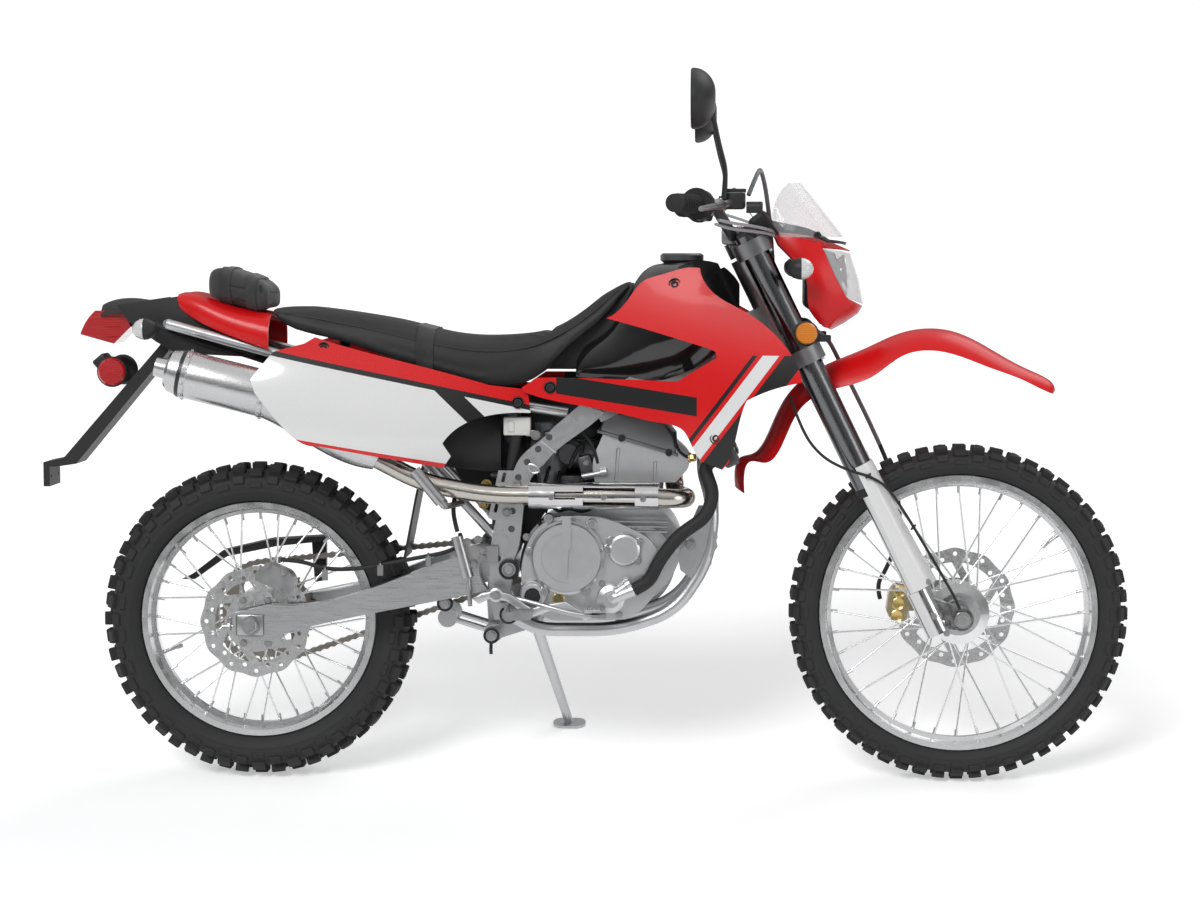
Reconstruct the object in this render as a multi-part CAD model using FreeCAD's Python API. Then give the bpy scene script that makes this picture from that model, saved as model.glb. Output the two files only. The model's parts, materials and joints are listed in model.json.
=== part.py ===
"""Dual sport motorcycle, parked on its side stand.

The machine is drawn upright: X forward, Y to its left, Z up, with the rear axle above
the origin and the centre plane at Y = 0. At the end every piece is leaned to the left
onto the side stand. Sizes are in millimetres.
"""
import FreeCAD, Part
import math
import os

V = FreeCAD.Vector

# Stance
WHEELBASE = 1430.0
LEAN = 10.0
RAKE = 26.0
STEERING_LOCK = 40.0
QUARTER_TURN = 90.0
REAR_TYRE_RADIUS = 322.0
FRONT_TYRE_RADIUS = 343.0
REAR_TYRE_HALF_WIDTH = 57.0
FRONT_TYRE_HALF_WIDTH = 41.0
AXIS_SETBACK = 87.0
AXIS_FOOT_X = WHEELBASE - AXIS_SETBACK

# Gaps
SEAT_GAP = 0.3
RUNNING_GAP = 1.0
CLEARANCE = 6.0
OVERRUN = 40.0

# Wheels
REAR_RIM_RADIUS = 241.5
FRONT_RIM_RADIUS = 281.0
RIM_HALF_WIDTH_REAR = 36.0
RIM_HALF_WIDTH_FRONT = 27.0
RIM_DEPTH = 24.0
RIM_WALL = 4.0
TYRE_WALL = 13.0
SPOKE_COUNT = 36
FRONT_PITCHES = 28
REAR_PITCHES = 26
SPOKE_DIAMETER = 4.0
AXLE_DIAMETER = 20.0
HUB_BARREL_RADIUS = 24.0
HUB_FLANGE_RADIUS = 62.0
HUB_FLANGE_WALL = 7.0
FRONT_HUB_HALF_WIDTH = 46.0
REAR_HUB_HALF_WIDTH = 50.0
DISC_THICKNESS = 4.0
FRONT_DISC_RADIUS = 124.0
REAR_DISC_RADIUS = 114.0
DISC_BAND = 26.0
DISC_WAVE = 4.0
DISC_WAVES = 12
DISC_HOLE_DIAMETER = 9.0
DISC_HOLES = 24
FRONT_DISC_Y = 62.0
REAR_DISC_Y = -66.0

# Drive
CHAIN_LINE = 73.0
CHAIN_PITCH = 15.875
CHAIN_HEIGHT = 15.0
CHAIN_HALF_WIDTH = 9.0
CHAIN_ROLLER_RADIUS = 5.1
REAR_TEETH = 42
FRONT_TEETH = 14
SPROCKET_THICKNESS = 6.0
SPROCKET_X = 590.0
SPROCKET_Z = 453.0

# Fork and steering
FORK_HALF_SPREAD = 100.0
FORK_LEAD = 25.0
AXLE_LEAD = 53.0
OUTER_TUBE_DIAMETER = 54.0
SLIDER_DIAMETER = 43.0
OUTER_TUBE_TOP_Z = 1108.0
OUTER_TUBE_LOW_Z = 601.0
STEM_DIAMETER = 30.0
HEAD_TUBE_DIAMETER = 56.0
UPPER_CLAMP_Z = 1083.0
LOWER_CLAMP_Z = 868.0
CLAMP_HEIGHT = 32.0
CLAMP_WALL = 11.0

# Frame
SPAR_HALF_SPREAD = 98.0
SPAR_THICKNESS = 30.0
PIVOT_X = 523.0
PIVOT_Z = 439.0
PIVOT_DIAMETER = 20.0
CRADLE_DIAMETER = 28.0
RAIL_DIAMETER = 22.0
RAIL_HALF_SPREAD = 88.0

# Engine
CASE_X = 551.0
CASE_Z = 336.0
CASE_LENGTH = 316.0
CASE_HEIGHT = 222.0
CASE_HALF_WIDTH = 105.0
CORE_SHARE = 0.78
COVER_DEPTH = 38.0

# Side stand
STAND_X = 556.0
STAND_Y = 136.0
STAND_Z = 300.0
STAND_FOOT_X = 620.0
STAND_FOOT_Y = 292.0
STAND_LEG_DIAMETER = 24.0
STAND_PIN_DIAMETER = 12.0
STAND_BRACKET_WALL = 5.0
STAND_TUCKED = V(-0.985, 0.12, -0.12)
STAND_FOOT_THICKNESS = 6.0
STAND_FOOT_LENGTH = 70.0
STAND_FOOT_WIDTH = 52.0

# Handlebar
BAR_DIAMETER = 22.2
GRIP_DIAMETER = 33.0
BAR_CLAMP_X = 969.0
BAR_CLAMP_Z = 1106.0
BAR_END_X = 861.0
BAR_END_Z = 1167.0
BAR_HALF_WIDTH = 400.0

LEAN_COS = math.cos(math.radians(LEAN))
LEAN_SIN = math.sin(math.radians(LEAN))
RAKE_COS = math.cos(math.radians(RAKE))
RAKE_SIN = math.sin(math.radians(RAKE))


# Shape helpers
def placed(shares, corner_x, corner_z, length, height):
    """Points of an outline, from shares of its length and height."""
    return [(corner_x + a * length, corner_z + b * height) for a, b in shares]


def polygon_face(points, y):
    corners = [V(x, y, z) for x, z in points]
    return Part.Face(Part.makePolygon(corners + corners[:1]))


def plate(points, y_low, y_high):
    """A flat plate, its outline seen from the side."""
    return polygon_face(points, y_low).extrude(V(0, y_high - y_low, 0))


def curve_through(points):
    spline = Part.BSplineCurve()
    spline.interpolate(points)
    return spline.toShape()


def closed_curve(points):
    spline = Part.BSplineCurve()
    spline.interpolate(points, PeriodicFlag=True)
    return Part.Wire([spline.toShape()])


def curved_face(stretches, y):
    """A face whose outline is a chain of stretches, each a curve or a straight line."""
    edges = []
    last = stretches[-1][-1]
    for stretch in stretches:
        run = [V(x, y, z) for x, z in [last] + stretch]
        edges.append(curve_through(run) if len(run) > 2 else Part.makeLine(run[0], run[1]))
        last = stretch[-1]
    return Part.Face(Part.Wire(edges))


def curved_plate(stretches, y_low, y_high):
    return curved_face(stretches, y_low).extrude(V(0, y_high - y_low, 0))


def placed_stretches(table, corner_x, corner_z, length, height):
    return [placed(stretch, corner_x, corner_z, length, height) for stretch in table]


def rod(start, end, diameter, end_diameter=None):
    """A round bar or a taper between two points."""
    run = end - start
    if end_diameter is None or end_diameter == diameter:
        return Part.makeCylinder(diameter / 2, run.Length, start, run)
    return Part.makeCone(diameter / 2, end_diameter / 2, run.Length, start, run)


def pipe(start, end, diameter, wall):
    return rod(start, end, diameter).cut(rod(start, end, diameter - 2 * wall))


def cross_rod(x, z, y_low, y_high, diameter):
    return rod(V(x, y_low, z), V(x, y_high, z), diameter)


def route_wire(points, radius_share=0.45):
    """Straight runs joined by tangent arcs, each as large as its two runs allow."""
    edges = []
    start = points[0]
    for before, corner, after in zip(points, points[1:], points[2:]):
        into = corner - before
        out = after - corner
        half_turn = into.getAngle(out) / 2
        setback = radius_share * min(into.Length, out.Length)
        into.normalize()
        out.normalize()
        arc_start = corner - into * setback
        arc_end = corner + out * setback
        inward = out - into
        inward.normalize()
        radius = setback / math.tan(half_turn)
        centre = corner + inward * (radius / math.cos(half_turn))
        middle = centre - inward * radius
        edges.append(Part.makeLine(start, arc_start))
        edges.append(Part.Arc(arc_start, middle, arc_end).toShape())
        start = arc_end
    edges.append(Part.makeLine(start, points[-1]))
    return Part.Wire(edges)


def bent_rod(points, diameter, radius_share=0.45):
    """A round bar that follows a route."""
    route = route_wire(points, radius_share)
    along = points[1] - points[0]
    circle = Part.Wire([Part.makeCircle(diameter / 2, points[0], along)])
    return route.makePipeShell([circle], True, False)


def revolved(profile, centre, axis=V(0, 1, 0)):
    """A ring or disc turned from a profile of (along the axis, radius) points."""
    corners = [V(radius, along, 0) for along, radius in profile]
    face = Part.Face(Part.makePolygon(corners + corners[:1]))
    solid = face.revolve(V(0, 0, 0), V(0, 1, 0), 360)
    solid.Placement = FreeCAD.Placement(centre, FreeCAD.Rotation(V(0, 1, 0), axis))
    return solid


def mirrored(shape):
    return shape.mirror(V(0, 0, 0), V(0, 1, 0))


def both_sides(shape):
    return [shape, mirrored(shape)]


def fused(shapes):
    whole = shapes[0].fuse(shapes[1:]) if len(shapes) > 1 else shapes[0]
    return whole.removeSplitter()


def arch_wire(x, z_low, z_top, half_width, shares):
    """A flat-bottomed cross-section with a curved top, in a plane across the machine."""
    height = z_top - z_low
    right = [V(x, -a * half_width, z_low + b * height) for a, b in shares]
    left = [V(x, a * half_width, z_low + b * height) for a, b in reversed(shares) if a > 0]
    run = right + left
    return Part.Wire([curve_through(run), Part.makeLine(run[-1], run[0])])


def arch_loft(stations, shares):
    """A body through cross-sections of (x, low z, top z, half width)."""
    wires = [arch_wire(x, low, top, half, shares) for x, low, top, half in stations]
    return Part.makeLoft(wires, True, False)


def grown_loft(stations, shares):
    """The same body with a seat gap all round, for the room it takes in a neighbour."""
    grown = [(x, low - SEAT_GAP, top + SEAT_GAP, half + SEAT_GAP)
             for x, low, top, half in stations]
    grown[-1] = (grown[-1][0] + SEAT_GAP,) + grown[-1][1:]
    return arch_loft(grown, shares)


def crescent_wire(centre, along, half_width, drop, wall):
    """A thin arched cross-section of a mudguard, at right angles to its run."""
    up = V(0, 1, 0).cross(along)
    up.normalize()
    if up.z < 0:
        up = up * -1
    side = V(0, 1, 0)
    low = centre - up * drop
    outer = [low - side * half_width, centre, low + side * half_width]
    inner_top = centre - up * wall
    inner = [low + side * (half_width - wall), inner_top, low - side * (half_width - wall)]
    return Part.Wire([
        Part.Arc(*outer).toShape(), Part.makeLine(outer[-1], inner[0]),
        Part.Arc(*inner).toShape(), Part.makeLine(inner[-1], outer[0])])


def mudguard(stations, wall):
    """A mudguard through (x, z, slope of the run in degrees, half width, drop)."""
    wires = []
    for x, z, slope, half_width, drop in stations:
        angle = math.radians(slope)
        along = V(math.cos(angle), 0, math.sin(angle))
        wires.append(crescent_wire(V(x, 0, z), along, half_width, drop, wall))
    return Part.makeLoft(wires, True, False)


def skin(stations, corner_z, height, wall):
    """A curved wall on the left side: for each x, points of (height share, distance out)."""
    wires = []
    for x, points in stations:
        outer = [V(x, out, corner_z + share * height) for share, out in points]
        inner = [point - V(0, wall, 0) for point in reversed(outer)]
        wires.append(Part.Wire([
            curve_through(outer), Part.makeLine(outer[-1], inner[0]),
            curve_through(inner), Part.makeLine(inner[-1], outer[0])]))
    return Part.makeLoft(wires, True, False)


def solids_of(shape):
    return Part.Compound(shape.Solids) if len(shape.Solids) > 1 else shape.Solids[0]


def largest(shape):
    return max(shape.Solids, key=lambda solid: solid.Volume)


# Places that follow from the sizes
def on_axis(z):
    """A point on the steering axis."""
    return V(AXIS_FOOT_X - (z - FRONT_TYRE_RADIUS) * RAKE_SIN / RAKE_COS, 0, z)


def on_leg(z, side):
    """A point on the centreline of a fork leg."""
    return on_axis(z) + V(FORK_LEAD / RAKE_COS, side * FORK_HALF_SPREAD, 0)


AXIS_UP = V(-RAKE_SIN, 0, RAKE_COS)
AXIS_FORWARD = V(RAKE_COS, 0, RAKE_SIN)
REAR_AXLE = V(0, 0, REAR_TYRE_RADIUS)
FRONT_AXLE = V(WHEELBASE, 0, FRONT_TYRE_RADIUS)
REAR_PITCH_RADIUS = CHAIN_PITCH / 2 / math.sin(math.pi / REAR_TEETH)
FRONT_PITCH_RADIUS = CHAIN_PITCH / 2 / math.sin(math.pi / FRONT_TEETH)


def seat_at(face):
    """Shoulder and spigot reach of a hub whose part starts at a face."""
    return (face - SEAT_GAP, face + DISC_THICKNESS + SEAT_GAP)


FRONT_SEATS = [(FRONT_HUB_HALF_WIDTH, FRONT_HUB_HALF_WIDTH + DISC_THICKNESS),
               seat_at(FRONT_DISC_Y - DISC_THICKNESS / 2)]
REAR_SEATS = [seat_at(-REAR_DISC_Y - DISC_THICKNESS / 2),
              seat_at(CHAIN_LINE - SPROCKET_THICKNESS / 2)]


# Wheels
TYRE_OUTER_SHARES = [(1.0, 0.76), (0.74, 0.94), (0.3, 1.0)]
CARCASS_SHARES = [(0.62, 0), (0.86, 0.2), (0.96, 0.46), (0.9, 0.68), (0.66, 0.8), (0.3, 0.85)]
CENTRE_LUG_SHARES = [(-0.34, 0.98), (-0.3, 1.0), (0.3, 1.0), (0.34, 0.98), (0.26, 0.8), (-0.26, 0.8)]
INNER_LUG_SHARES = [(0.43, 0.982), (0.74, 0.94), (0.64, 0.74), (0.4, 0.8)]
OUTER_LUG_SHARES = [(0.82, 0.885), (1.0, 0.76), (0.99, 0.62), (0.88, 0.6), (0.74, 0.7)]
LUG_LENGTH_SHARE = 0.56


def tread_lug(shares, centre, rim_radius, height, half_width, side, angle, sweep):
    """One lug: its section, turned a little way round the axle."""
    away = V(math.cos(angle), 0, math.sin(angle))
    corners = [centre + away * (rim_radius + b * height) + V(0, side * a * half_width, 0)
               for a, b in shares]
    face = Part.Face(Part.makePolygon(corners + corners[:1]))
    return face.revolve(centre, V(0, 1, 0), math.degrees(sweep))


def tread(centre, rim_radius, height, half_width, pitches):
    """The rows of lugs, one of the middle row straight below the axle."""
    pitch = 2 * math.pi / pitches
    sweep = pitch * LUG_LENGTH_SHARE
    lugs = []
    for index in range(pitches):
        angle = index * pitch - math.pi / 2 + sweep / 2
        lugs.append(tread_lug(CENTRE_LUG_SHARES, centre, rim_radius, height, half_width, 1,
                              angle, sweep))
        for side in (-1, 1):
            lugs.append(tread_lug(INNER_LUG_SHARES, centre, rim_radius, height, half_width,
                                  side, angle + pitch / 2, sweep))
            lugs.append(tread_lug(OUTER_LUG_SHARES, centre, rim_radius, height, half_width,
                                  side, angle, sweep))
    return lugs


def tyre(centre, radius, half_width, rim_radius, rim_half_width, pitches):
    """A knobbly tyre, hollow inside and open at its beads."""
    height = radius - rim_radius
    seat = rim_radius + SEAT_GAP
    right = [(-a * half_width, seat + b * (height - SEAT_GAP)) for a, b in CARCASS_SHARES]
    outer = right + [(-a, b) for a, b in reversed(right)]
    bead = rim_half_width - TYRE_WALL
    crown = rim_radius + height * CARCASS_SHARES[-1][1] - TYRE_WALL
    shoulder = half_width - TYRE_WALL
    middle = rim_radius + height / 2
    inner = [(bead, seat), (shoulder, middle), (bead, crown), (-bead, crown),
             (-shoulder, middle), (-bead, seat)]
    carcass = revolved(outer + inner, centre)
    return fused([carcass] + tread(centre, rim_radius, height, half_width, pitches))


def rim_profile(rim_radius, half_width):
    """The channel of a spoked rim, its flanges outward."""
    base = rim_radius - RIM_DEPTH
    well = half_width / 2
    return [
        (-half_width, rim_radius), (-half_width + RIM_WALL, rim_radius),
        (-half_width + RIM_WALL, rim_radius - RIM_DEPTH / 3),
        (-well, rim_radius - RIM_DEPTH / 3), (-well / 2, base + RIM_WALL),
        (well / 2, base + RIM_WALL), (well, rim_radius - RIM_DEPTH / 3),
        (half_width - RIM_WALL, rim_radius - RIM_DEPTH / 3),
        (half_width - RIM_WALL, rim_radius), (half_width, rim_radius),
        (half_width, rim_radius - RIM_DEPTH / 2), (well, rim_radius - RIM_DEPTH * 2 / 3),
        (well / 2, base), (-well / 2, base), (-well, rim_radius - RIM_DEPTH * 2 / 3),
        (-half_width, rim_radius - RIM_DEPTH / 2)]


def hub_profile(half_width, seats):
    """A bored hub barrel with two spoke flanges and a stepped seat at each end.

    A seat is how far out its shoulder and its spigot reach, to carry a disc or sprocket."""
    bore = AXLE_DIAMETER / 2 + SEAT_GAP
    flange = half_width - HUB_FLANGE_WALL * 2
    neck = HUB_BARREL_RADIUS + HUB_FLANGE_WALL
    profile = []
    for sign, (shoulder, spigot) in zip((-1, 1), seats):
        run = [
            (sign * spigot, bore), (sign * spigot, HUB_BARREL_RADIUS),
            (sign * shoulder, HUB_BARREL_RADIUS), (sign * shoulder, neck),
            (sign * (flange + HUB_FLANGE_WALL), neck),
            (sign * (flange + HUB_FLANGE_WALL), HUB_FLANGE_RADIUS * 0.7),
            (sign * (flange + HUB_FLANGE_WALL / 2), HUB_FLANGE_RADIUS),
            (sign * flange, HUB_FLANGE_RADIUS),
            (sign * (flange - HUB_FLANGE_WALL), neck)]
        profile += run if sign < 0 else run[::-1]
    return profile


def spokes(centre, rim_radius, hub_half_width):
    """Crossed spokes from both hub flanges to the middle of the rim."""
    flange = hub_half_width - HUB_FLANGE_WALL * 1.75
    start_radius = HUB_FLANGE_RADIUS - HUB_FLANGE_WALL
    end_radius = rim_radius - RIM_DEPTH + RIM_WALL / 2
    step = 2 * math.pi / SPOKE_COUNT
    found = []
    for index in range(SPOKE_COUNT):
        side = 1 if index % 2 else -1
        lead = step * (3.2 if index // 2 % 2 else -3.2)
        angle = index * step
        foot = V(start_radius * math.cos(angle + lead), side * flange,
                 start_radius * math.sin(angle + lead))
        tip = V(end_radius * math.cos(angle), 0, end_radius * math.sin(angle))
        found.append(rod(centre + foot, centre + tip, SPOKE_DIAMETER))
    return found


def wheel(centre, rim_radius, rim_half_width, hub_half_width, seats):
    """A spoked wheel: rim, hub and spokes in one."""
    rim = revolved(rim_profile(rim_radius, rim_half_width), centre)
    hub = revolved(hub_profile(hub_half_width, seats), centre)
    return fused([rim, hub] + spokes(centre, rim_radius, hub_half_width))


def wave_disc(centre, radius, y, spokes_count, hub_radius):
    """A brake disc with a wavy edge, drilled band and open arms to its hub."""
    steps = DISC_WAVES * 6
    edge = []
    for index in range(steps):
        angle = 2 * math.pi * index / steps
        reach = radius - DISC_WAVE / 2 + DISC_WAVE / 2 * math.cos(DISC_WAVES * angle)
        edge.append(centre + V(reach * math.cos(angle), y - DISC_THICKNESS / 2,
                               reach * math.sin(angle)))
    through = V(0, DISC_THICKNESS, 0)
    disc = Part.Face(closed_curve(edge)).extrude(through)
    low = centre + V(0, y - DISC_THICKNESS / 2, 0)
    inner = radius - DISC_WAVE - DISC_BAND
    window = Part.makeCylinder(inner, DISC_THICKNESS, low, V(0, 1, 0))
    carrier = Part.makeCylinder(hub_radius, DISC_THICKNESS, low, V(0, 1, 0))
    holes = []
    for index in range(DISC_HOLES):
        angle = 2 * math.pi * index / DISC_HOLES
        reach = inner + DISC_BAND * (0.3 if index % 2 else 0.68)
        spot = low + V(reach * math.cos(angle), 0, reach * math.sin(angle))
        holes.append(Part.makeCylinder(DISC_HOLE_DIAMETER / 2, DISC_THICKNESS, spot, V(0, 1, 0)))
    arms = []
    for index in range(spokes_count):
        angle = 2 * math.pi * index / spokes_count
        lead = angle + math.pi / spokes_count
        foot = low + V(hub_radius * 0.9 * math.cos(angle), 0, hub_radius * 0.9 * math.sin(angle))
        tip = low + V((inner + DISC_WAVE) * math.cos(lead), 0, (inner + DISC_WAVE) * math.sin(lead))
        run = tip - foot
        across = run.cross(V(0, 1, 0))
        across.normalize()
        across = across * (hub_radius * 0.13)
        corners = [foot - across, tip - across, tip + across, foot + across]
        arms.append(Part.Face(Part.makePolygon(corners + corners[:1])).extrude(through))
    bore = Part.makeCylinder(HUB_BARREL_RADIUS + SEAT_GAP, DISC_THICKNESS, low, V(0, 1, 0))
    ring = disc.cut([window] + holes)
    return fused([ring, carrier] + arms).cut(bore)


def sprocket(centre, y, teeth, pitch_radius, bore_radius):
    """A chain sprocket whose tooth tips stay just under the rollers of the chain."""
    tip = pitch_radius - CHAIN_ROLLER_RADIUS - RUNNING_GAP
    root = tip - CHAIN_ROLLER_RADIUS
    tooth_shares = [(0.0, root), (0.25, root), (0.4, tip), (0.6, tip), (0.75, root)]
    corners = []
    for index in range(teeth):
        for share, reach in tooth_shares:
            angle = 2 * math.pi * (index + share) / teeth
            corners.append(centre + V(reach * math.cos(angle), y - SPROCKET_THICKNESS / 2,
                                      reach * math.sin(angle)))
    blank = Part.Face(Part.makePolygon(corners + corners[:1])).extrude(V(0, SPROCKET_THICKNESS, 0))
    low = centre + V(0, y - SPROCKET_THICKNESS / 2, 0)
    if not bore_radius:
        return blank
    cuts = [Part.makeCylinder(bore_radius, SPROCKET_THICKNESS, low, V(0, 1, 0))]
    window_radius = (root - bore_radius) * 0.28
    for index in range(6):
        angle = math.pi * index / 3
        reach = (root + bore_radius) * 0.5
        spot = low + V(reach * math.cos(angle), 0, reach * math.sin(angle))
        cuts.append(Part.makeCylinder(window_radius, SPROCKET_THICKNESS, spot, V(0, 1, 0)))
    return blank.cut(cuts)


def chain_side(offset):
    """The outline of the chain loop, moved outward by an offset from its pitch line."""
    rear = V(0, 0, REAR_TYRE_RADIUS)
    front = V(SPROCKET_X, 0, SPROCKET_Z)
    run = front - rear
    slope = math.atan2(run.z, run.x)
    spread = math.acos((REAR_PITCH_RADIUS - FRONT_PITCH_RADIUS) / run.Length)
    ends = []
    for centre, radius in ((rear, REAR_PITCH_RADIUS), (front, FRONT_PITCH_RADIUS)):
        for sign in (1, -1):
            angle = slope + sign * spread
            reach = radius + offset
            ends.append(centre + V(math.cos(angle), 0, math.sin(angle)) * reach)
    back = rear - V(math.cos(slope), 0, math.sin(slope)) * (REAR_PITCH_RADIUS + offset)
    nose = front + V(math.cos(slope), 0, math.sin(slope)) * (FRONT_PITCH_RADIUS + offset)
    rear_top, rear_low, front_top, front_low = ends
    return Part.Wire([
        Part.Arc(rear_low, back, rear_top).toShape(), Part.makeLine(rear_top, front_top),
        Part.Arc(front_top, nose, front_low).toShape(), Part.makeLine(front_low, rear_low)])


def chain_pitch_line(travel):
    """The point at a distance along the pitch line, and the way out of the loop there."""
    rear = V(0, 0, REAR_TYRE_RADIUS)
    front = V(SPROCKET_X, 0, SPROCKET_Z)
    run = front - rear
    slope = math.atan2(run.z, run.x)
    spread = math.acos((REAR_PITCH_RADIUS - FRONT_PITCH_RADIUS) / run.Length)
    straight = run.Length * math.sin(spread)
    rear_arc = REAR_PITCH_RADIUS * (2 * math.pi - 2 * spread)
    front_arc = FRONT_PITCH_RADIUS * 2 * spread
    total = rear_arc + front_arc + straight * 2
    travel = travel % total
    if travel < rear_arc:
        angle = slope - spread - travel / REAR_PITCH_RADIUS
        out = V(math.cos(angle), 0, math.sin(angle))
        return rear + out * REAR_PITCH_RADIUS, out, total
    travel -= rear_arc
    out = V(math.cos(slope + spread), 0, math.sin(slope + spread))
    if travel < straight:
        start = rear + out * REAR_PITCH_RADIUS
        along = front + out * FRONT_PITCH_RADIUS - start
        return start + along * (travel / straight), out, total
    travel -= straight
    if travel < front_arc:
        angle = slope + spread - travel / FRONT_PITCH_RADIUS
        out = V(math.cos(angle), 0, math.sin(angle))
        return front + out * FRONT_PITCH_RADIUS, out, total
    travel -= front_arc
    out = V(math.cos(slope - spread), 0, math.sin(slope - spread))
    start = front + out * FRONT_PITCH_RADIUS
    along = rear + out * REAR_PITCH_RADIUS - start
    return start + along * (travel / straight), out, total


CHAIN_WAIST_SHARE = 0.6


def chain():
    """The drive chain: a loop of links, each with its waist between two pins."""
    total = chain_pitch_line(0)[2]
    links = round(total / CHAIN_PITCH)
    outer = []
    inner = []
    for index in range(links * 2):
        point, out, _ = chain_pitch_line(index * total / links / 2)
        share = CHAIN_WAIST_SHARE if index % 2 else 1.0
        outer.append(point + out * (CHAIN_HEIGHT / 2 * share))
        inner.append(point - out * (CHAIN_ROLLER_RADIUS * share))
    through = V(0, CHAIN_HALF_WIDTH * 2, 0)
    outside = Part.Face(Part.makePolygon(outer + outer[:1])).extrude(through)
    inside = Part.Face(Part.makePolygon(inner + inner[:1])).extrude(through)
    loop = outside.cut(inside)
    loop.translate(V(0, CHAIN_LINE - CHAIN_HALF_WIDTH, 0))
    return loop


# Frame
SPAR_X = 481.0
SPAR_Z = 336.0
SPAR_LENGTH = 234.0
SPAR_HEIGHT = 436.0
SPAR_SHARES = [
    [(0.02, 0.29)], [(0.06, 0.45), (0.2, 0.66), (0.235, 0.71)],
    [(0.3, 0.765), (0.42, 0.82), (0.56, 0.89)], [(0.80, 1.0)], [(1.0, 0.96)],
    [(0.72, 0.84), (0.6, 0.79), (0.48, 0.72)], [(0.4, 0.68), (0.3, 0.5), (0.225, 0.29)],
    [(0.19, 0.13)], [(0.26, 0.07)], [(0.2, 0.0)], [(0.05, 0.0)], [(0.0, 0.13)]]


def frame_spars():
    """The two side spars, the head tube and what ties them to each other."""
    inner = SPAR_HALF_SPREAD - SPAR_THICKNESS / 2
    outer = SPAR_HALF_SPREAD + SPAR_THICKNESS / 2
    outline = placed_stretches(SPAR_SHARES, SPAR_X, SPAR_Z, SPAR_LENGTH, SPAR_HEIGHT)
    side = curved_plate(outline, inner, outer)
    side = side.cut(cross_rod(PIVOT_X, PIVOT_Z, inner, outer, PIVOT_DIAMETER))
    top_x = SPAR_X + SPAR_LENGTH * 0.92
    top_z = SPAR_Z + SPAR_HEIGHT * 0.97
    low_wire = spar_section(top_x, top_z, SPAR_HALF_SPREAD, SPAR_THICKNESS, SPAR_LENGTH * 0.2)
    head = on_axis(LOWER_CLAMP_Z + CLAMP_HEIGHT * 2)
    high_wire = spar_section(head.x - HEAD_TUBE_DIAMETER / 4, head.z, HEAD_TUBE_DIAMETER / 3,
                             SPAR_THICKNESS * 0.8, SPAR_LENGTH * 0.28)
    arm = Part.makeLoft([low_wire, high_wire], True, True)
    low = on_axis(LOWER_CLAMP_Z) + AXIS_UP * (CLAMP_HEIGHT / 2 + CLEARANCE)
    high = on_axis(UPPER_CLAMP_Z) - AXIS_UP * (CLAMP_HEIGHT / 2 + CLEARANCE)
    head_tube = rod(low, high, HEAD_TUBE_DIAMETER)
    bore = rod(low - AXIS_UP * OVERRUN, high + AXIS_UP * OVERRUN, STEM_DIAMETER + RUNNING_GAP * 2)
    tie = cross_rod(SPAR_X + SPAR_LENGTH * 0.86, SPAR_Z + SPAR_HEIGHT * 0.94, -inner, inner,
                    CRADLE_DIAMETER)
    pieces = [head_tube, tie] + both_sides(side) + both_sides(arm) + both_sides(slotted_plate())
    return fused(pieces).cut(bore)


SLOT_PLATE_SHARES = [(0.09, 0.692), (0.24, 0.692), (0.3, 0.6), (0.2, 0.44), (0.0, 0.472)]
SLOT_SHARES = [(0.135, 0.66), (0.095, 0.59), (0.07, 0.52)]
SLOT_LENGTH = 20.0
SLOT_WIDTH = 7.0
SLOT_LEAN = 14.0


def slotted_plate():
    """The slotted plate on the back edge of a spar."""
    outer = SPAR_HALF_SPREAD + SPAR_THICKNESS / 2
    corners = placed(SLOT_PLATE_SHARES, SPAR_X, SPAR_Z, SPAR_LENGTH, SPAR_HEIGHT)
    wall = plate(corners, outer - BRACKET_WALL, outer)
    slots = []
    for x, z in placed(SLOT_SHARES, SPAR_X, SPAR_Z, SPAR_LENGTH, SPAR_HEIGHT):
        half = SLOT_LENGTH / 2
        slot = Part.makeBox(SLOT_WIDTH, BRACKET_WALL * 2, SLOT_LENGTH,
                            V(-SLOT_WIDTH / 2, outer - BRACKET_WALL * 1.5, -half))
        slot = slot.makeFillet(SLOT_WIDTH * 0.45, long_edges(slot, V(0, 1, 0)))
        slot.Placement = FreeCAD.Placement(V(x, 0, z), FreeCAD.Rotation(V(0, 1, 0), SLOT_LEAN))
        slots.append(slot)
    return wall.cut(slots)


def spar_section(x, z, y, thickness, height):
    """A tilted rectangular section of a spar."""
    half = height / 2
    near = y - thickness / 2
    far = y + thickness / 2
    lean = half * 0.5
    corners = [V(x + lean, near, z - half), V(x + lean, far, z - half),
               V(x - lean, far, z + half), V(x - lean, near, z + half)]
    return Part.makePolygon(corners + corners[:1])


HANGER_X = 572.0
HANGER_Z = 318.0
CRADLE_START = V(512.0, SPAR_HALF_SPREAD, 352.0)
CRADLE_ROUTE = [
    CRADLE_START, V(580.0, 94.0, 314.0), V(740.0, 86.0, 314.0),
    V(CASE_X + CASE_LENGTH - CRADLE_DIAMETER * 0.4, 80.0, 352.0),
    V(CASE_X + CASE_LENGTH + CRADLE_DIAMETER * 1.9, 74.0, 450.0),
    V(CASE_X + CASE_LENGTH + CRADLE_DIAMETER * 2.4, 72.0, 560.0), V(905.0, 56.0, 660.0),
    V(955.0, 44.0, 760.0), V(990.0, 32.0, 850.0), V(1044.0, 20.0, 925.0)]


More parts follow.
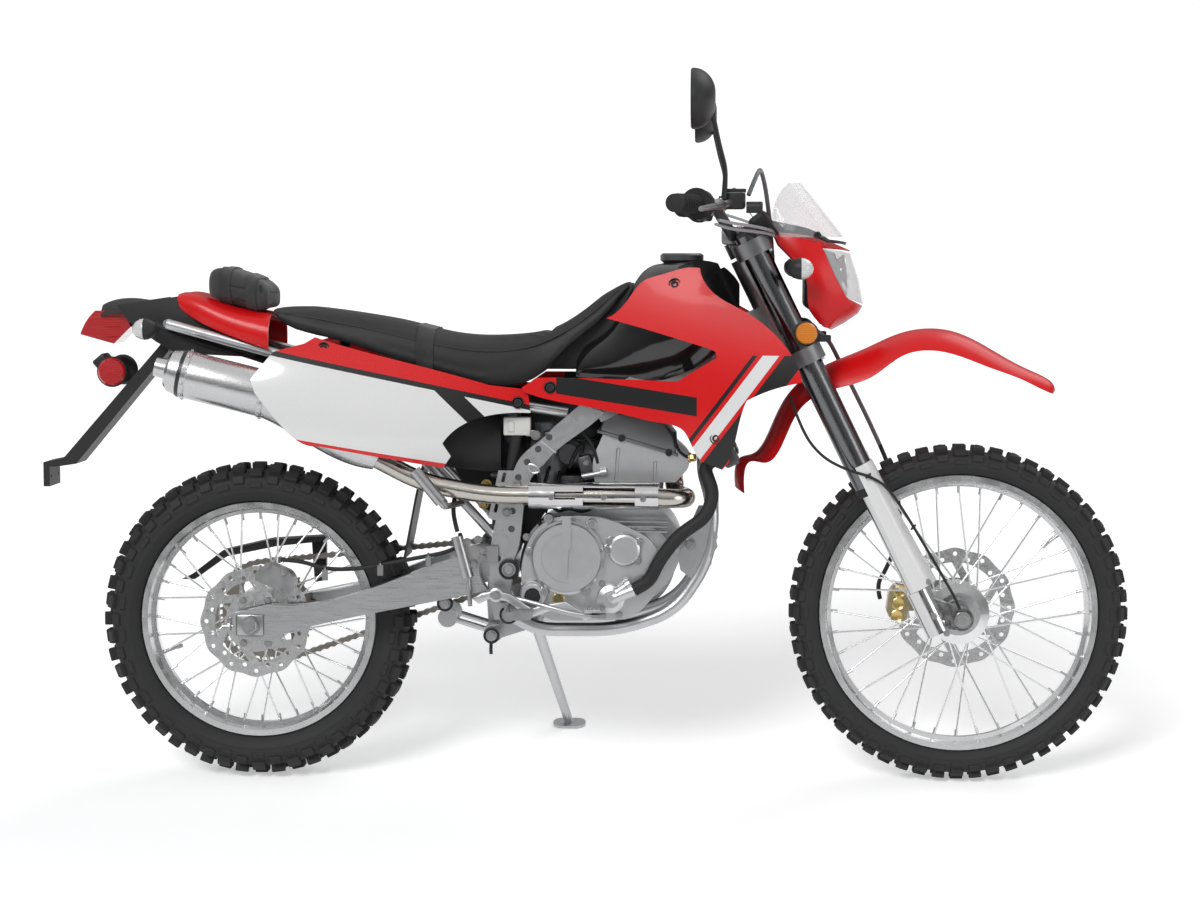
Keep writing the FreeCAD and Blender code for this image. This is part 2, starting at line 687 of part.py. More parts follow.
def frame_cradle():
    """The two tubes that carry the engine, from the head to the pivot brackets."""
    side = bent_rod(CRADLE_ROUTE, CRADLE_DIAMETER, 0.42)
    bottom = CRADLE_ROUTE[2]
    front = CRADLE_ROUTE[4]
    ties = [cross_rod(bottom.x, bottom.z, -bottom.y, bottom.y, CRADLE_DIAMETER * 0.7),
            cross_rod(front.x, front.z, -front.y, front.y, CRADLE_DIAMETER * 0.7),
            cross_rod(HANGER_X, HANGER_Z, -CRADLE_ROUTE[1].y, CRADLE_ROUTE[1].y,
                      CRADLE_DIAMETER * 0.7)]
    pin_room = cross_rod(LINK_FRONT.x, LINK_FRONT.z, -LINK_FRONT.y, LINK_FRONT.y,
                         LINK_THICKNESS + SEAT_GAP * 2)
    hanger = plate([(HANGER_X + LINK_THICKNESS, HANGER_Z), (HANGER_X, HANGER_Z + LINK_THICKNESS),
                    (LINK_FRONT.x - LINK_THICKNESS, LINK_FRONT.z + LINK_THICKNESS),
                    (LINK_FRONT.x - LINK_THICKNESS, LINK_FRONT.z - LINK_THICKNESS),
                    (LINK_FRONT.x + LINK_THICKNESS, LINK_FRONT.z - LINK_THICKNESS)],
                   LINK_FRONT.y * LINK_INSET_SHARE + LINK_THICKNESS / 2 + SEAT_GAP,
                   LINK_FRONT.y * LINK_INSET_SHARE + LINK_THICKNESS * 1.2)
    whole = fused(both_sides(side) + both_sides(hanger) + ties)
    head_room = rod(on_axis(LOWER_CLAMP_Z), on_axis(UPPER_CLAMP_Z), HEAD_TUBE_DIAMETER)
    whole = fused([whole] + both_sides(engine_hanger()))
    return largest(whole.cut([SPAR_TOOL[0], head_room, pin_room]))


HANGER_SHARES = [
    (0.28, 0.0), (0.0, 0.14), (-0.06, 0.36), (0.12, 0.62), (0.36, 1.0), (0.62, 1.0), (0.78, 0.5)]
HANGER_LENGTH = 96.0
HANGER_HEIGHT = 134.0
HANGER_RISE_SHARE = 0.36


def engine_hanger():
    """The plate on a down tube that holds the front of the engine."""
    inner = CASE_HALF_WIDTH * CORE_SHARE + SEAT_GAP
    corners = placed(HANGER_SHARES, CASE_X + CASE_LENGTH, CASE_Z + CASE_HEIGHT * HANGER_RISE_SHARE,
                     HANGER_LENGTH, HANGER_HEIGHT)
    return plate(corners, inner, inner + BRACKET_WALL)


RAIL_ROUTE = [
    V(-170.0, RAIL_HALF_SPREAD, 930.0), V(60.0, RAIL_HALF_SPREAD, 868.0),
    V(330.0, RAIL_HALF_SPREAD, 800.0), V(640.0, RAIL_HALF_SPREAD, 752.0)]
STRUT_ROUTE = [
    V(496.0, 99.0, 500.0), V(366.0, 97.0, 642.0), V(240.0, 92.0, 760.0),
    V(90.0, RAIL_HALF_SPREAD, 858.0)]


def subframe():
    """The seat rails and struts behind the main frame, with the pin of the spring."""
    rail = bent_rod(RAIL_ROUTE, RAIL_DIAMETER)
    strut = bent_rod(STRUT_ROUTE, RAIL_DIAMETER * 0.85)
    ties = [cross_rod(SHOCK_TOP.x, SHOCK_TOP.z, -RAIL_HALF_SPREAD, RAIL_HALF_SPREAD,
                      SHOCK_PIN_DIAMETER)]
    for point in RAIL_ROUTE[:3]:
        ties.append(cross_rod(point.x, point.z, -point.y, point.y, RAIL_DIAMETER * 0.8))
    return solids_of(fused(both_sides(rail) + both_sides(strut) + ties).cut(SPAR_TOOL[0]))


# Engine
CASE_SHARES = [
    [(0.0, 0.62)], [(0.06, 0.82), (0.2, 0.95), (0.42, 1.0)], [(0.86, 1.0)],
    [(0.96, 0.86), (1.0, 0.6), (0.92, 0.34), (0.78, 0.14), (0.62, 0.0)], [(0.16, 0.0)],
    [(0.0, 0.30)]]


def chain_room(clearance):
    """The room that the chain and its sprocket take, out to the left."""
    low = CHAIN_LINE - CHAIN_HALF_WIDTH - clearance
    face = Part.Face(chain_side(CHAIN_HEIGHT / 2 + clearance))
    room = face.extrude(V(0, OVERRUN * 3, 0))
    room.translate(V(0, low, 0))
    return room


def engine_case():
    """The crankcase, one heavy block with its mounting lug and the drive sprocket."""
    outline = placed_stretches(CASE_SHARES, CASE_X, CASE_Z, CASE_LENGTH, CASE_HEIGHT)
    core = curved_plate(outline, -CASE_HALF_WIDTH * CORE_SHARE, CASE_HALF_WIDTH * CORE_SHARE)
    bosses = []
    for share_x, share_z in ((0.3, 0.58), (0.74, 0.55)):
        x = CASE_X + share_x * CASE_LENGTH
        z = CASE_Z + share_z * CASE_HEIGHT
        bosses.append(cross_rod(x, z, -CASE_HALF_WIDTH, CASE_HALF_WIDTH, CASE_HEIGHT * 0.62))
    lug_reach = SPAR_HALF_SPREAD - SPAR_THICKNESS / 2 - SEAT_GAP
    lug = plate([(LUG_X, LUG_Z - LUG_RADIUS), (CASE_X + LUG_RADIUS * 2, CASE_Z),
                 (CASE_X + LUG_RADIUS * 2, CASE_Z + LUG_RADIUS * 3),
                 (LUG_X - LUG_RADIUS * 0.6, LUG_Z + LUG_RADIUS * 0.8)], -lug_reach, lug_reach)
    case = fused([core, lug] + bosses).cut([chain_room(CLEARANCE), CRADLE_TOOL[0]])
    wheel_low = CHAIN_LINE - SPROCKET_THICKNESS / 2
    shaft = cross_rod(SPROCKET_X, SPROCKET_Z, 0, wheel_low, FRONT_PITCH_RADIUS)
    drive = sprocket(V(SPROCKET_X, 0, SPROCKET_Z), CHAIN_LINE, FRONT_TEETH,
                     FRONT_PITCH_RADIUS, 0)
    return fused([case, shaft, drive])


LUG_X = 522.0
LUG_Z = 343.0
LUG_RADIUS = 14.0
BARREL_X = 697.0
BARREL_LENGTH = 130.0
BARREL_HALF_WIDTH = 62.0
BARREL_TOP = 612.0
HEAD_TOP = 735.0
BARREL_LEAN = 14.0


def engine_cylinder():
    """The barrel, the cylinder head and its cover."""
    low = CASE_Z + CASE_HEIGHT + SEAT_GAP
    lean_share = BARREL_LEAN / (HEAD_TOP - low)
    barrel_points = []
    for x, z in ((0, low), (BARREL_LENGTH, low), (BARREL_LENGTH, BARREL_TOP), (0, BARREL_TOP)):
        barrel_points.append((BARREL_X + x + (z - low) * lean_share, z))
    barrel = plate(barrel_points, -BARREL_HALF_WIDTH, BARREL_HALF_WIDTH)
    barrel = barrel.makeFillet(BARREL_LENGTH * 0.18, long_edges(barrel, V(lean_share, 0, 1)))
    head_outline = placed_stretches(HEAD_SHARES, BARREL_X - BARREL_LENGTH * 0.05, BARREL_TOP,
                                    BARREL_LENGTH * 1.48, HEAD_TOP - BARREL_TOP)
    head = curved_plate(head_outline, -BARREL_HALF_WIDTH * 1.25, BARREL_HALF_WIDTH * 1.25)
    port = rod(PIPE_ROUTE[0], PIPE_ROUTE[1], PIPE_DIAMETER + SEAT_GAP * 4)
    return fused([barrel, head]).cut(port)


HEAD_SHARES = [
    [(0.0, 0.35), (0.06, 0.62)], [(0.16, 1.0)], [(0.74, 0.93)],
    [(0.92, 0.55), (1.0, 0.38), (0.98, 0.2)], [(0.86, 0.0)], [(0.02, 0.0)]]


def long_edges(shape, along):
    found = []
    for edge in shape.Edges:
        run = edge.Vertexes[-1].Point - edge.Vertexes[0].Point
        if run.Length > 0 and run.getAngle(along) % math.pi < 0.02:
            found.append(edge)
    return found


CLUTCH_X = 641.0
CLUTCH_Z = 466.0
CLUTCH_RADIUS = 75.0
FILTER_X = 756.0
FILTER_Z = 481.0
FILTER_RADIUS = 33.0
PUMP_X = 729.0
PUMP_Z = 383.0
PUMP_RADIUS = 29.0
PLUG_X = 573.0
PLUG_Z = 393.0
PLUG_RADIUS = 27.0


def side_boss(x, z, start, radius, depth, crown):
    """A round cover on the right side with a stepped, domed face."""
    return revolved(
        [(0, 0), (0, radius), (depth * 0.6, radius), (depth * 0.8, radius * 0.94),
         (depth, radius * crown), (depth, 0)],
        V(x, start, z), V(0, -1, 0))


COVER_SHARES = [
    [(0.02, 0.68), (0.12, 0.90), (0.3, 1.0)], [(0.62, 0.97), (0.82, 0.86)],
    [(0.97, 0.68), (1.0, 0.48), (0.93, 0.22), (0.74, 0.02)], [(0.3, 0.0)],
    [(0.08, 0.1), (0.0, 0.30)]]


FILTER_EAR_ANGLES = [28.0, 148.0, 320.0]
CLUTCH_DISC_SHARE = 0.68
RIB_SHARES = [
    (-0.08, -0.5), (0.02, -0.5), (0.05, 0.2), (0.11, 0.3), (0.12, 1.08), (0.16, 1.12),
    (-0.16, 1.12), (-0.12, 1.08), (-0.12, 0.3), (-0.09, 0.2)]
RIB_RISE = 3.0


def clutch_cover(face):
    """The clutch cover: a bright ring, a sunk disc and a rib that tapers down it."""
    depth = COVER_DEPTH * 0.6
    ring = side_boss(CLUTCH_X, CLUTCH_Z, face, CLUTCH_RADIUS, depth, 0.9)
    outer = face - depth
    disc_room = cross_rod(CLUTCH_X, CLUTCH_Z, outer - RIB_RISE, outer + RIB_RISE,
                          CLUTCH_RADIUS * CLUTCH_DISC_SHARE * 2)
    corners = placed(RIB_SHARES, CLUTCH_X, CLUTCH_Z, CLUTCH_RADIUS, CLUTCH_RADIUS)
    rib = plate(corners, outer - RIB_RISE, face)
    return fused([ring.cut(disc_room), rib])


def engine_covers():
    """The clutch, filter, pump and magneto covers on both sides of the crankcase."""
    outline = placed_stretches(COVER_SHARES, CASE_X, CASE_Z, CASE_LENGTH * 0.88, CASE_HEIGHT * 0.95)
    start = -CASE_HALF_WIDTH - SEAT_GAP
    base = curved_plate(outline, start - COVER_DEPTH * 0.5, start)
    face = start - COVER_DEPTH * 0.5
    clutch = clutch_cover(face)
    oil_filter = side_boss(FILTER_X, FILTER_Z, face, FILTER_RADIUS, COVER_DEPTH * 0.35, 0.8)
    pump = side_boss(PUMP_X, PUMP_Z, face, PUMP_RADIUS, COVER_DEPTH * 0.6, 0.6)
    plug = side_boss(PLUG_X, PLUG_Z, face, PLUG_RADIUS, COVER_DEPTH * 0.3, 0.85)
    spigot = rod(V(PUMP_X, HOSE_ROUTE[-1].y, PUMP_Z), HOSE_ROUTE[-1], HOSE_DIAMETER * 0.9)
    ears = []
    for degrees in FILTER_EAR_ANGLES:
        angle = math.radians(degrees)
        ears.append(side_boss(FILTER_X + FILTER_RADIUS * math.cos(angle),
                              FILTER_Z + FILTER_RADIUS * math.sin(angle), face,
                              FILTER_RADIUS * 0.26, COVER_DEPTH * 0.25, 0.8))
    right = fused([base, clutch, oil_filter, pump, plug, spigot] + ears)
    left_base = curved_plate(
        placed_stretches(COVER_SHARES, CASE_X + CASE_LENGTH * 0.3, CASE_Z, CASE_LENGTH * 0.66,
                         CASE_HEIGHT * 0.9), -start, -start + COVER_DEPTH * 0.4)
    magneto = mirrored(side_boss(FILTER_X, CLUTCH_Z, face + COVER_DEPTH * 0.1,
                                 CLUTCH_RADIUS * 0.86, COVER_DEPTH * 0.5, 0.7))
    return Part.Compound([right, fused([left_base, magneto])])


CARB_X = 600.0
CARB_Z = 665.0
CARB_DIAMETER = 66.0
CARB_HEIGHT = 140.0


def carburettor():
    """The carburettor between the airbox boot and the inlet port."""
    slope = CARB_DIAMETER * 0.06
    bell = rod(V(CARB_X - CARB_DIAMETER * 0.68, 0, CARB_Z + slope),
               V(BARREL_X - CLEARANCE * 1.5, 0, CARB_Z - slope), CARB_DIAMETER * 0.88)
    middle = CARB_Z - CARB_HEIGHT * 0.29
    body = rod(V(CARB_X, 0, middle), V(CARB_X, 0, middle + CARB_HEIGHT * 0.73), CARB_DIAMETER)
    bowl = rod(V(CARB_X, 0, middle - CARB_HEIGHT * 0.27), V(CARB_X, 0, middle),
               CARB_DIAMETER * 0.7, CARB_DIAMETER * 0.9)
    cap = rod(V(CARB_X, 0, middle + CARB_HEIGHT * 0.52), V(CARB_X, 0, middle + CARB_HEIGHT * 0.6),
              CARB_DIAMETER * 1.14)
    return fused([bell, body, bowl, cap])


AIRBOX_STATIONS = [
    (264.0, 700.0, 778.0, 60.0), (330.0, 660.0, 778.0, 74.0), (430.0, 636.0, 766.0, 75.0),
    (504.0, 632.0, 742.0, 72.0)]
FLAP_X = 302.0
FLAP_Z = 452.0
FLAP_LENGTH = 58.0
FLAP_HEIGHT = 250.0
FLAP_HALF_WIDTH = 56.0
FLAP_SHARES = [(0.0, 0.0), (0.08, 0.0), (0.5, 0.5), (1.0, 1.0), (0.9, 1.0), (0.42, 0.5)]
BOX_SHARES = [(0.92, 0.0), (1.0, 0.12), (1.0, 0.8), (0.86, 0.97), (0.0, 1.0)]


def airbox():
    """The air filter box under the seat, forked round the spring."""
    half = SPRING_DIAMETER / 2 + CLEARANCE
    room = plate([(SHOCK_LOW.x - half * 2, PIVOT_Z), (CARB_X, PIVOT_Z),
                  (CARB_X, SEAT_STATIONS[0][1]), (SHOCK_TOP.x - half * 2, SEAT_STATIONS[0][1])],
                 -half, half)
    box = arch_loft(AIRBOX_STATIONS, BOX_SHARES).cut(room)
    flap_points = placed(FLAP_SHARES, FLAP_X, FLAP_Z, FLAP_LENGTH, FLAP_HEIGHT)
    flap = plate(flap_points, -FLAP_HALF_WIDTH, FLAP_HALF_WIDTH)
    return fused([box, flap])


RADIATOR_DEPTH = 30.0
RADIATOR_WIDTH = 92.0
RADIATOR_LEVEL_Z = 806.0
RADIATOR_HEIGHT = 150.0
RADIATOR_Y = 112.0
RADIATOR_LOUVRES = 9
RADIATOR_SETBACK = 182.0


def radiators():
    """A radiator behind each shroud, tilted like the fork."""
    centre = on_axis(RADIATOR_LEVEL_Z) - AXIS_FORWARD * RADIATOR_SETBACK + V(0, RADIATOR_Y, 0)
    block = Part.makeBox(RADIATOR_DEPTH, RADIATOR_WIDTH, RADIATOR_HEIGHT,
                         V(-RADIATOR_DEPTH, -RADIATOR_WIDTH / 2, -RADIATOR_HEIGHT / 2))
    block = block.makeFillet(RADIATOR_DEPTH * 0.2, block.Edges)
    step = RADIATOR_HEIGHT / (RADIATOR_LOUVRES + 2)
    louvres = []
    for index in range(RADIATOR_LOUVRES):
        low = step * (index + 1.25) - RADIATOR_HEIGHT / 2
        louvres.append(Part.makeBox(RADIATOR_DEPTH * 0.2, RADIATOR_WIDTH * 0.8, step / 2,
                                    V(-RADIATOR_DEPTH * 0.2, -RADIATOR_WIDTH * 0.4, low)))
    block = block.cut(louvres)
    block.Placement = FreeCAD.Placement(centre, FreeCAD.Rotation(V(0, 1, 0), -RAKE))
    return Part.Compound(both_sides(block))


HOSE_DIAMETER = 27.0
HOSE_STUB = 40.0
HOSE_ROUTE = [
    V(934.0, -128.0, 592.0),
    V(918.0, -136.0, 548.0),
    V(864.0, -140.0, 512.0), V(826.0, -141.0, 462.0), V(806.0, -141.0, 420.0),
    V(775.0, -141.0, 402.0)]


def coolant_hose():
    """The lower hose from the back of the right radiator to the water pump."""
    setback = RADIATOR_SETBACK + RADIATOR_DEPTH + SEAT_GAP
    root = (on_axis(RADIATOR_LEVEL_Z) - AXIS_UP * (RADIATOR_HEIGHT * 0.34)
            - AXIS_FORWARD * setback - V(0, RADIATOR_Y, 0))
    route = [root, root - AXIS_FORWARD * HOSE_STUB] + HOSE_ROUTE
    return solids_of(bent_rod(route, HOSE_DIAMETER).cut(engine_covers()))


# Exhaust
PIPE_DIAMETER = 38.0
PIPE_RISE = 32.0
PIPE_LEVEL_Z = CASE_Z + CASE_HEIGHT + PIPE_RISE
PIPE_SAG = 4.0
PIPE_ROUTE = [
    V(850.0, 0, 652.0), V(853.0, -4.0, PIPE_LEVEL_Z - PIPE_SAG),
    V(892.0, -132.0, PIPE_LEVEL_Z - PIPE_SAG * 2), V(770.0, -142.0, PIPE_LEVEL_Z),
    V(620.0, -140.0, PIPE_LEVEL_Z), V(480.0, -136.0, PIPE_LEVEL_Z),
    V(350.0, -132.0, 615.0), V(262.0, -128.0, 660.0)]


def exhaust_pipe():
    """The pipe from the front of the head, round the right side to the silencer."""
    return solids_of(bent_rod(PIPE_ROUTE, PIPE_DIAMETER).cut(silencer()))


SHIELD_WALL = 2.0
SHIELD_GAP = 6.0
SHIELD_X = 564.0
SHIELD_END_X = 826.0


SHIELD_SPREAD = 150.0
SHIELD_TURN = 105.0
SHIELD_SLOT_SHARES = [(0.28, 0.0), (0.46, 0.4), (0.46, -0.4), (0.74, 0.4), (0.74, -0.4)]
SHIELD_SLOT_LENGTH_SHARE = 0.15
SHIELD_SLOT_HEIGHT_SHARE = 0.34


def heat_shield():
    """A slotted half-round shield outside the pipe."""
    inner = PIPE_DIAMETER / 2 + SHIELD_GAP
    outer = inner + SHIELD_WALL
    middle = PIPE_ROUTE[4]
    start = V(SHIELD_X, middle.y, middle.z)
    run = V(SHIELD_END_X - SHIELD_X, 0, -PIPE_SAG)
    shell = Part.makeCylinder(outer, run.Length, start, run, SHIELD_SPREAD)
    shell = shell.cut(Part.makeCylinder(inner, run.Length, start, run))
    shell.rotate(start, run, SHIELD_TURN)
    half_length = run.Length * SHIELD_SLOT_LENGTH_SHARE / 2
    half_height = outer * SHIELD_SLOT_HEIGHT_SHARE / 2
    slots = []
    for along, up in SHIELD_SLOT_SHARES:
        spot = start + run * along + V(0, 0, up * outer)
        slot = Part.makeBox(half_length * 2, outer * 2, half_height * 2,
                            spot - V(half_length, outer * 2, half_height))
        slots.append(slot.makeFillet(half_height * 0.9, long_edges(slot, V(0, 1, 0))))
    return solids_of(shell.cut(slots))


SILENCER_DIAMETER = 96.0
SILENCER_ROUTE = [
    (V(262.0, -128.0, 660.0), 46.0), (V(218.0, -128.0, 686.0), 78.0),
    (V(150.0, -130.0, 728.0), 92.0), (V(40.0, -134.0, 790.0), SILENCER_DIAMETER),
    (V(-128.0, -138.0, 832.0), SILENCER_DIAMETER), (V(-152.0, -139.0, 838.0), 84.0)]


def silencer():
    """The silencer, from its cone under the side panel to the end cap."""
    wires = []
    for index, (point, diameter) in enumerate(SILENCER_ROUTE):
        before = SILENCER_ROUTE[max(index - 1, 0)][0]
        after = SILENCER_ROUTE[min(index + 1, len(SILENCER_ROUTE) - 1)][0]
        wires.append(Part.Wire([Part.makeCircle(diameter / 2, point, after - before)]))
    body = Part.makeLoft(wires[:4], True, False)
    drum = Part.makeLoft(wires[3:5], True, True)
    cap = Part.makeLoft(wires[4:], True, True)
    mouth = rod(SILENCER_ROUTE[5][0] + V(OVERRUN, 0, -OVERRUN / 4), SILENCER_ROUTE[5][0],
                PIPE_DIAMETER)
    return fused([body, drum, cap]).cut(mouth)


# Bodywork
TANK_STATIONS = [
    (655.0, 812.0, 858.0, 62.0), (700.0, 804.0, 908.0, 84.0), (745.0, 800.0, 962.0, 100.0),
    (790.0, 804.0, 1036.0, 110.0), (832.0, 818.0, 1052.0, 116.0), (880.0, 836.0, 1057.0, 117.0),
    (925.0, 860.0, 1056.0, 110.0), (962.0, 892.0, 1038.0, 94.0), (984.0, 924.0, 1010.0, 72.0)]
TANK_SHARES = [(0.7, 0.0), (0.98, 0.25), (1.0, 0.55), (0.86, 0.84), (0.5, 0.98), (0.0, 1.0)]


def steering_room():
    """The room that the fork legs and their clamps sweep behind the head at full lock."""
    low = on_axis(LOWER_CLAMP_Z) - AXIS_UP * (CLAMP_HEIGHT / 2 + CLEARANCE)
    high = on_axis(OUTER_TUBE_TOP_Z) + AXIS_UP * CLEARANCE
    leg_radius = math.hypot(FORK_LEAD, FORK_HALF_SPREAD)
    boss_radius = OUTER_TUBE_DIAMETER / 2 + CLAMP_WALL + CLEARANCE
    bridge_back = (OUTER_TUBE_DIAMETER - FORK_LEAD) / 2 + CLEARANCE
    sweep = QUARTER_TURN + STEERING_LOCK + math.degrees(
        math.asin(bridge_back / (leg_radius - boss_radius)))
    under = on_axis(UPPER_CLAMP_Z) - AXIS_UP * (CLAMP_HEIGHT / 2 + CLEARANCE)
    rooms = [rod(under, high, (leg_radius - boss_radius) * 2)]
    for side in (-1, 1):
        near = V(0, side, 0) * (leg_radius - boss_radius)
        far = V(0, side, 0) * (leg_radius + boss_radius)
        corners = [low + near, low + far, high + far, high + near]
        face = Part.Face(Part.makePolygon(corners + corners[:1]))
        rooms.append(face.revolve(low, AXIS_UP * side, sweep - QUARTER_TURN))
    return rooms


def fuel_tank():
    """The fuel tank between the shrouds, saddled over the spars."""
    tank = arch_loft(TANK_STATIONS, TANK_SHARES)
    head_room = rod(on_axis(LOWER_CLAMP_Z), on_axis(UPPER_CLAMP_Z),
                    HEAD_TUBE_DIAMETER + CLEARANCE * 2)
    cap_room = rod(V(CAP_X, 0, CAP_BASE_Z - SEAT_GAP), V(CAP_X, 0, CAP_BASE_Z + OVERRUN),
                   CAP_DIAMETER + RUNNING_GAP)
    seat_room = grown_loft(SEAT_STATIONS, SEAT_SHARES)
    return largest(tank.cut([head_room, cap_room, SPAR_TOOL[0], seat_room] + steering_room()))


CAP_X = 867.0
CAP_DIAMETER = 88.0
CAP_HEIGHT = 20.0
CAP_BASE_Z = 1052.0


def fuel_cap():
    """The screw cap on top of the tank."""
    profile = [(0, 0), (0, CAP_DIAMETER * 0.42), (CAP_HEIGHT * 0.3, CAP_DIAMETER * 0.5),
               (CAP_HEIGHT * 0.8, CAP_DIAMETER * 0.5), (CAP_HEIGHT, CAP_DIAMETER * 0.44),
               (CAP_HEIGHT, 0)]
    return revolved(profile, V(CAP_X, 0, CAP_BASE_Z), V(0, 0, 1))


SEAT_STATIONS = [
    (40.0, 952.0, 962.0, 74.0), (60.0, 932.0, 962.0, 82.0), (132.0, 906.0, 956.0, 96.0),
    (256.0, 870.0, 938.0, 110.0), (340.0, 846.0, 920.0, 114.0), (430.0, 821.0, 902.0, 112.0),
    (500.0, 805.0, 900.0, 104.0), (564.0, 815.0, 905.0, 92.0), (635.0, 877.0, 928.0, 80.0),
    (690.0, 922.0, 966.0, 70.0), (741.0, 975.0, 1007.0, 60.0), (766.0, 1004.0, 1018.0, 50.0)]
SEAT_SHARES = [(0.96, 0.0), (1.0, 0.25), (0.97, 0.62), (0.82, 0.9), (0.5, 0.99), (0.0, 1.0)]


def seat():
    """The long seat as one plain cushion."""
    return arch_loft(SEAT_STATIONS, SEAT_SHARES)


PANEL_WALL = 4.0
SHROUD_X = 551.0
SHROUD_Z = 645.0
SHROUD_LENGTH = 554.0
SHROUD_HEIGHT = 398.0
SHROUD_SHARES = [
    [(0.393, 0.866), (0.436, 0.935), (0.507, 0.970), (0.586, 1.0), (0.639, 1.0)],
    [(0.654, 0.935), (0.689, 0.876), (0.80, 0.786), (0.90, 0.682), (1.0, 0.458)],
    [(1.0, 0.438)], [(0.886, 0.398), (0.807, 0.348)], [(0.793, 0.299), (0.771, 0.174),
    (0.743, 0.035)], [(0.721, 0.0)], [(0.646, 0.040)],
    [(0.604, 0.144), (0.582, 0.194), (0.493, 0.234), (0.318, 0.289), (0.071, 0.353),
     (0.004, 0.383)], [(0.0, 0.403)], [(0.054, 0.453)], [(0.346, 0.448), (0.561, 0.438)],
    [(0.632, 0.502), (0.70, 0.557)], [(0.696, 0.587)], [(0.675, 0.602)], [(0.436, 0.701)],
    [(0.304, 0.751)]]
SHROUD_SKIN = [
    (520.0, [(0.0, 128.0), (0.4, 132.0), (0.7, 122.0), (1.05, 100.0)]),
    (700.0, [(0.0, 138.0), (0.4, 146.0), (0.7, 136.0), (1.05, 112.0)]),
    (860.0, [(0.0, 152.0), (0.4, 166.0), (0.7, 156.0), (1.05, 116.0)]),
    (990.0, [(0.0, 168.0), (0.4, 188.0), (0.7, 172.0), (1.05, 128.0)]),
    (1130.0, [(0.0, 184.0), (0.4, 204.0), (0.7, 184.0), (1.05, 140.0)])]


def shroud():
    """The left radiator shroud: a curved C-shaped panel from the tank to the fork."""
    outline = placed_stretches(SHROUD_SHARES, SHROUD_X, SHROUD_Z, SHROUD_LENGTH, SHROUD_HEIGHT)
    prism = curved_plate(outline, RADIATOR_Y - OVERRUN, RADIATOR_Y + OVERRUN * 3)
    return solids_of(prism.common(skin(SHROUD_SKIN, SHROUD_Z, SHROUD_HEIGHT, PANEL_WALL)))


SIDE_X = 15.0
SIDE_Z = 645.0
SIDE_LENGTH = 588.0
SIDE_HEIGHT = 260.0
SIDE_SHARES = [
    [(0.074, 0.893)], [(0.176, 0.954)], [(0.209, 1.0)],
    [(0.375, 0.893), (0.62, 0.75), (0.80, 0.635)], [(0.93, 0.6)], [(0.94, 0.42)],
    [(0.774, 0.389), (0.69, 0.30), (0.645, 0.191)], [(0.672, 0.092)], [(0.645, 0.0)],
    [(0.233, 0.176)], [(0.176, 0.198), (0.12, 0.30), (0.074, 0.420), (0.017, 0.580)],
    [(0.0, 0.687)]]
SIDE_SKIN = [
    (0.0, [(0.0, 176.0), (0.4, 192.0), (0.75, 176.0), (1.05, 128.0)]),
    (160.0, [(0.0, 178.0), (0.4, 194.0), (0.75, 176.0), (1.05, 126.0)]),
    (330.0, [(0.0, 158.0), (0.4, 172.0), (0.75, 148.0), (1.05, 124.0)]),
    (470.0, [(0.0, 130.0), (0.4, 142.0), (0.75, 130.0), (1.05, 119.0)]),
    (620.0, [(0.0, 118.0), (0.4, 122.0), (0.75, 117.0), (1.05, 113.0)])]


def side_panel():
    """The left side panel below the seat, bulged like the one over the silencer."""
    outline = placed_stretches(SIDE_SHARES, SIDE_X, SIDE_Z, SIDE_LENGTH, SIDE_HEIGHT)
    prism = curved_plate(outline, SIDE_SKIN[4][1][3][1] - OVERRUN, SIDE_SKIN[0][1][1][1] + OVERRUN)
    return solids_of(prism.common(skin(SIDE_SKIN, SIDE_Z, SIDE_HEIGHT, PANEL_WALL)))


COWL_STATIONS = [
    (-154.0, 966.0, 988.0, 66.0), (-130.0, 948.0, 990.0, 78.0), (-60.0, 914.0, 968.0, 100.0),
    (0.0, 892.0, 952.0, 112.0), (40.0, 880.0, 944.0, 118.0)]
COWL_SHARES = [(0.96, 0.0), (1.0, 0.3), (0.94, 0.75), (0.8, 0.96), (0.0, 1.0)]


def rear_cowl():
    """The tail cowl that carries the tool bag."""
    whole = arch_loft(COWL_STATIONS, COWL_SHARES)
    inner = [(x, low - PANEL_WALL, top - PANEL_WALL, half - PANEL_WALL)
             for x, low, top, half in COWL_STATIONS]
    inner[0] = (inner[0][0] - PANEL_WALL,) + inner[0][1:]
    inner[-1] = (inner[-1][0] + PANEL_WALL,) + inner[-1][1:]
    return solids_of(whole.cut(arch_loft(inner, COWL_SHARES)))


REAR_FENDER_STATIONS = [
    (-318.0, 968.0, 10.0, 52.0, 26.0), (-250.0, 980.0, 4.0, 66.0, 34.0),
    (-172.0, 962.0, -14.0, 74.0, 44.0), (-60.0, 912.0, -22.0, 76.0, 36.0),
    (60.0, 856.0, -26.0, 74.0, 20.0), (160.0, 796.0, -32.0, 70.0, 14.0),
    (244.0, 734.0, -40.0, 62.0, 12.0)]


def rear_fender():
    """The rear mudguard from the airbox to the tail."""
    return solids_of(mudguard(REAR_FENDER_STATIONS, PANEL_WALL).cut(subframe()))


LAMP_X = -358.0
LAMP_Z = 888.0
LAMP_LENGTH = 104.0
LAMP_HEIGHT = 86.0
LAMP_HALF_WIDTH = 46.0
LAMP_SHARES = [[(0.1, 0.62), (0.3, 0.98)], [(0.86, 0.98)], [(1.0, 0.5)],
               [(0.66, 0.0)], [(0.42, 0.1), (0.0, 0.28)]]


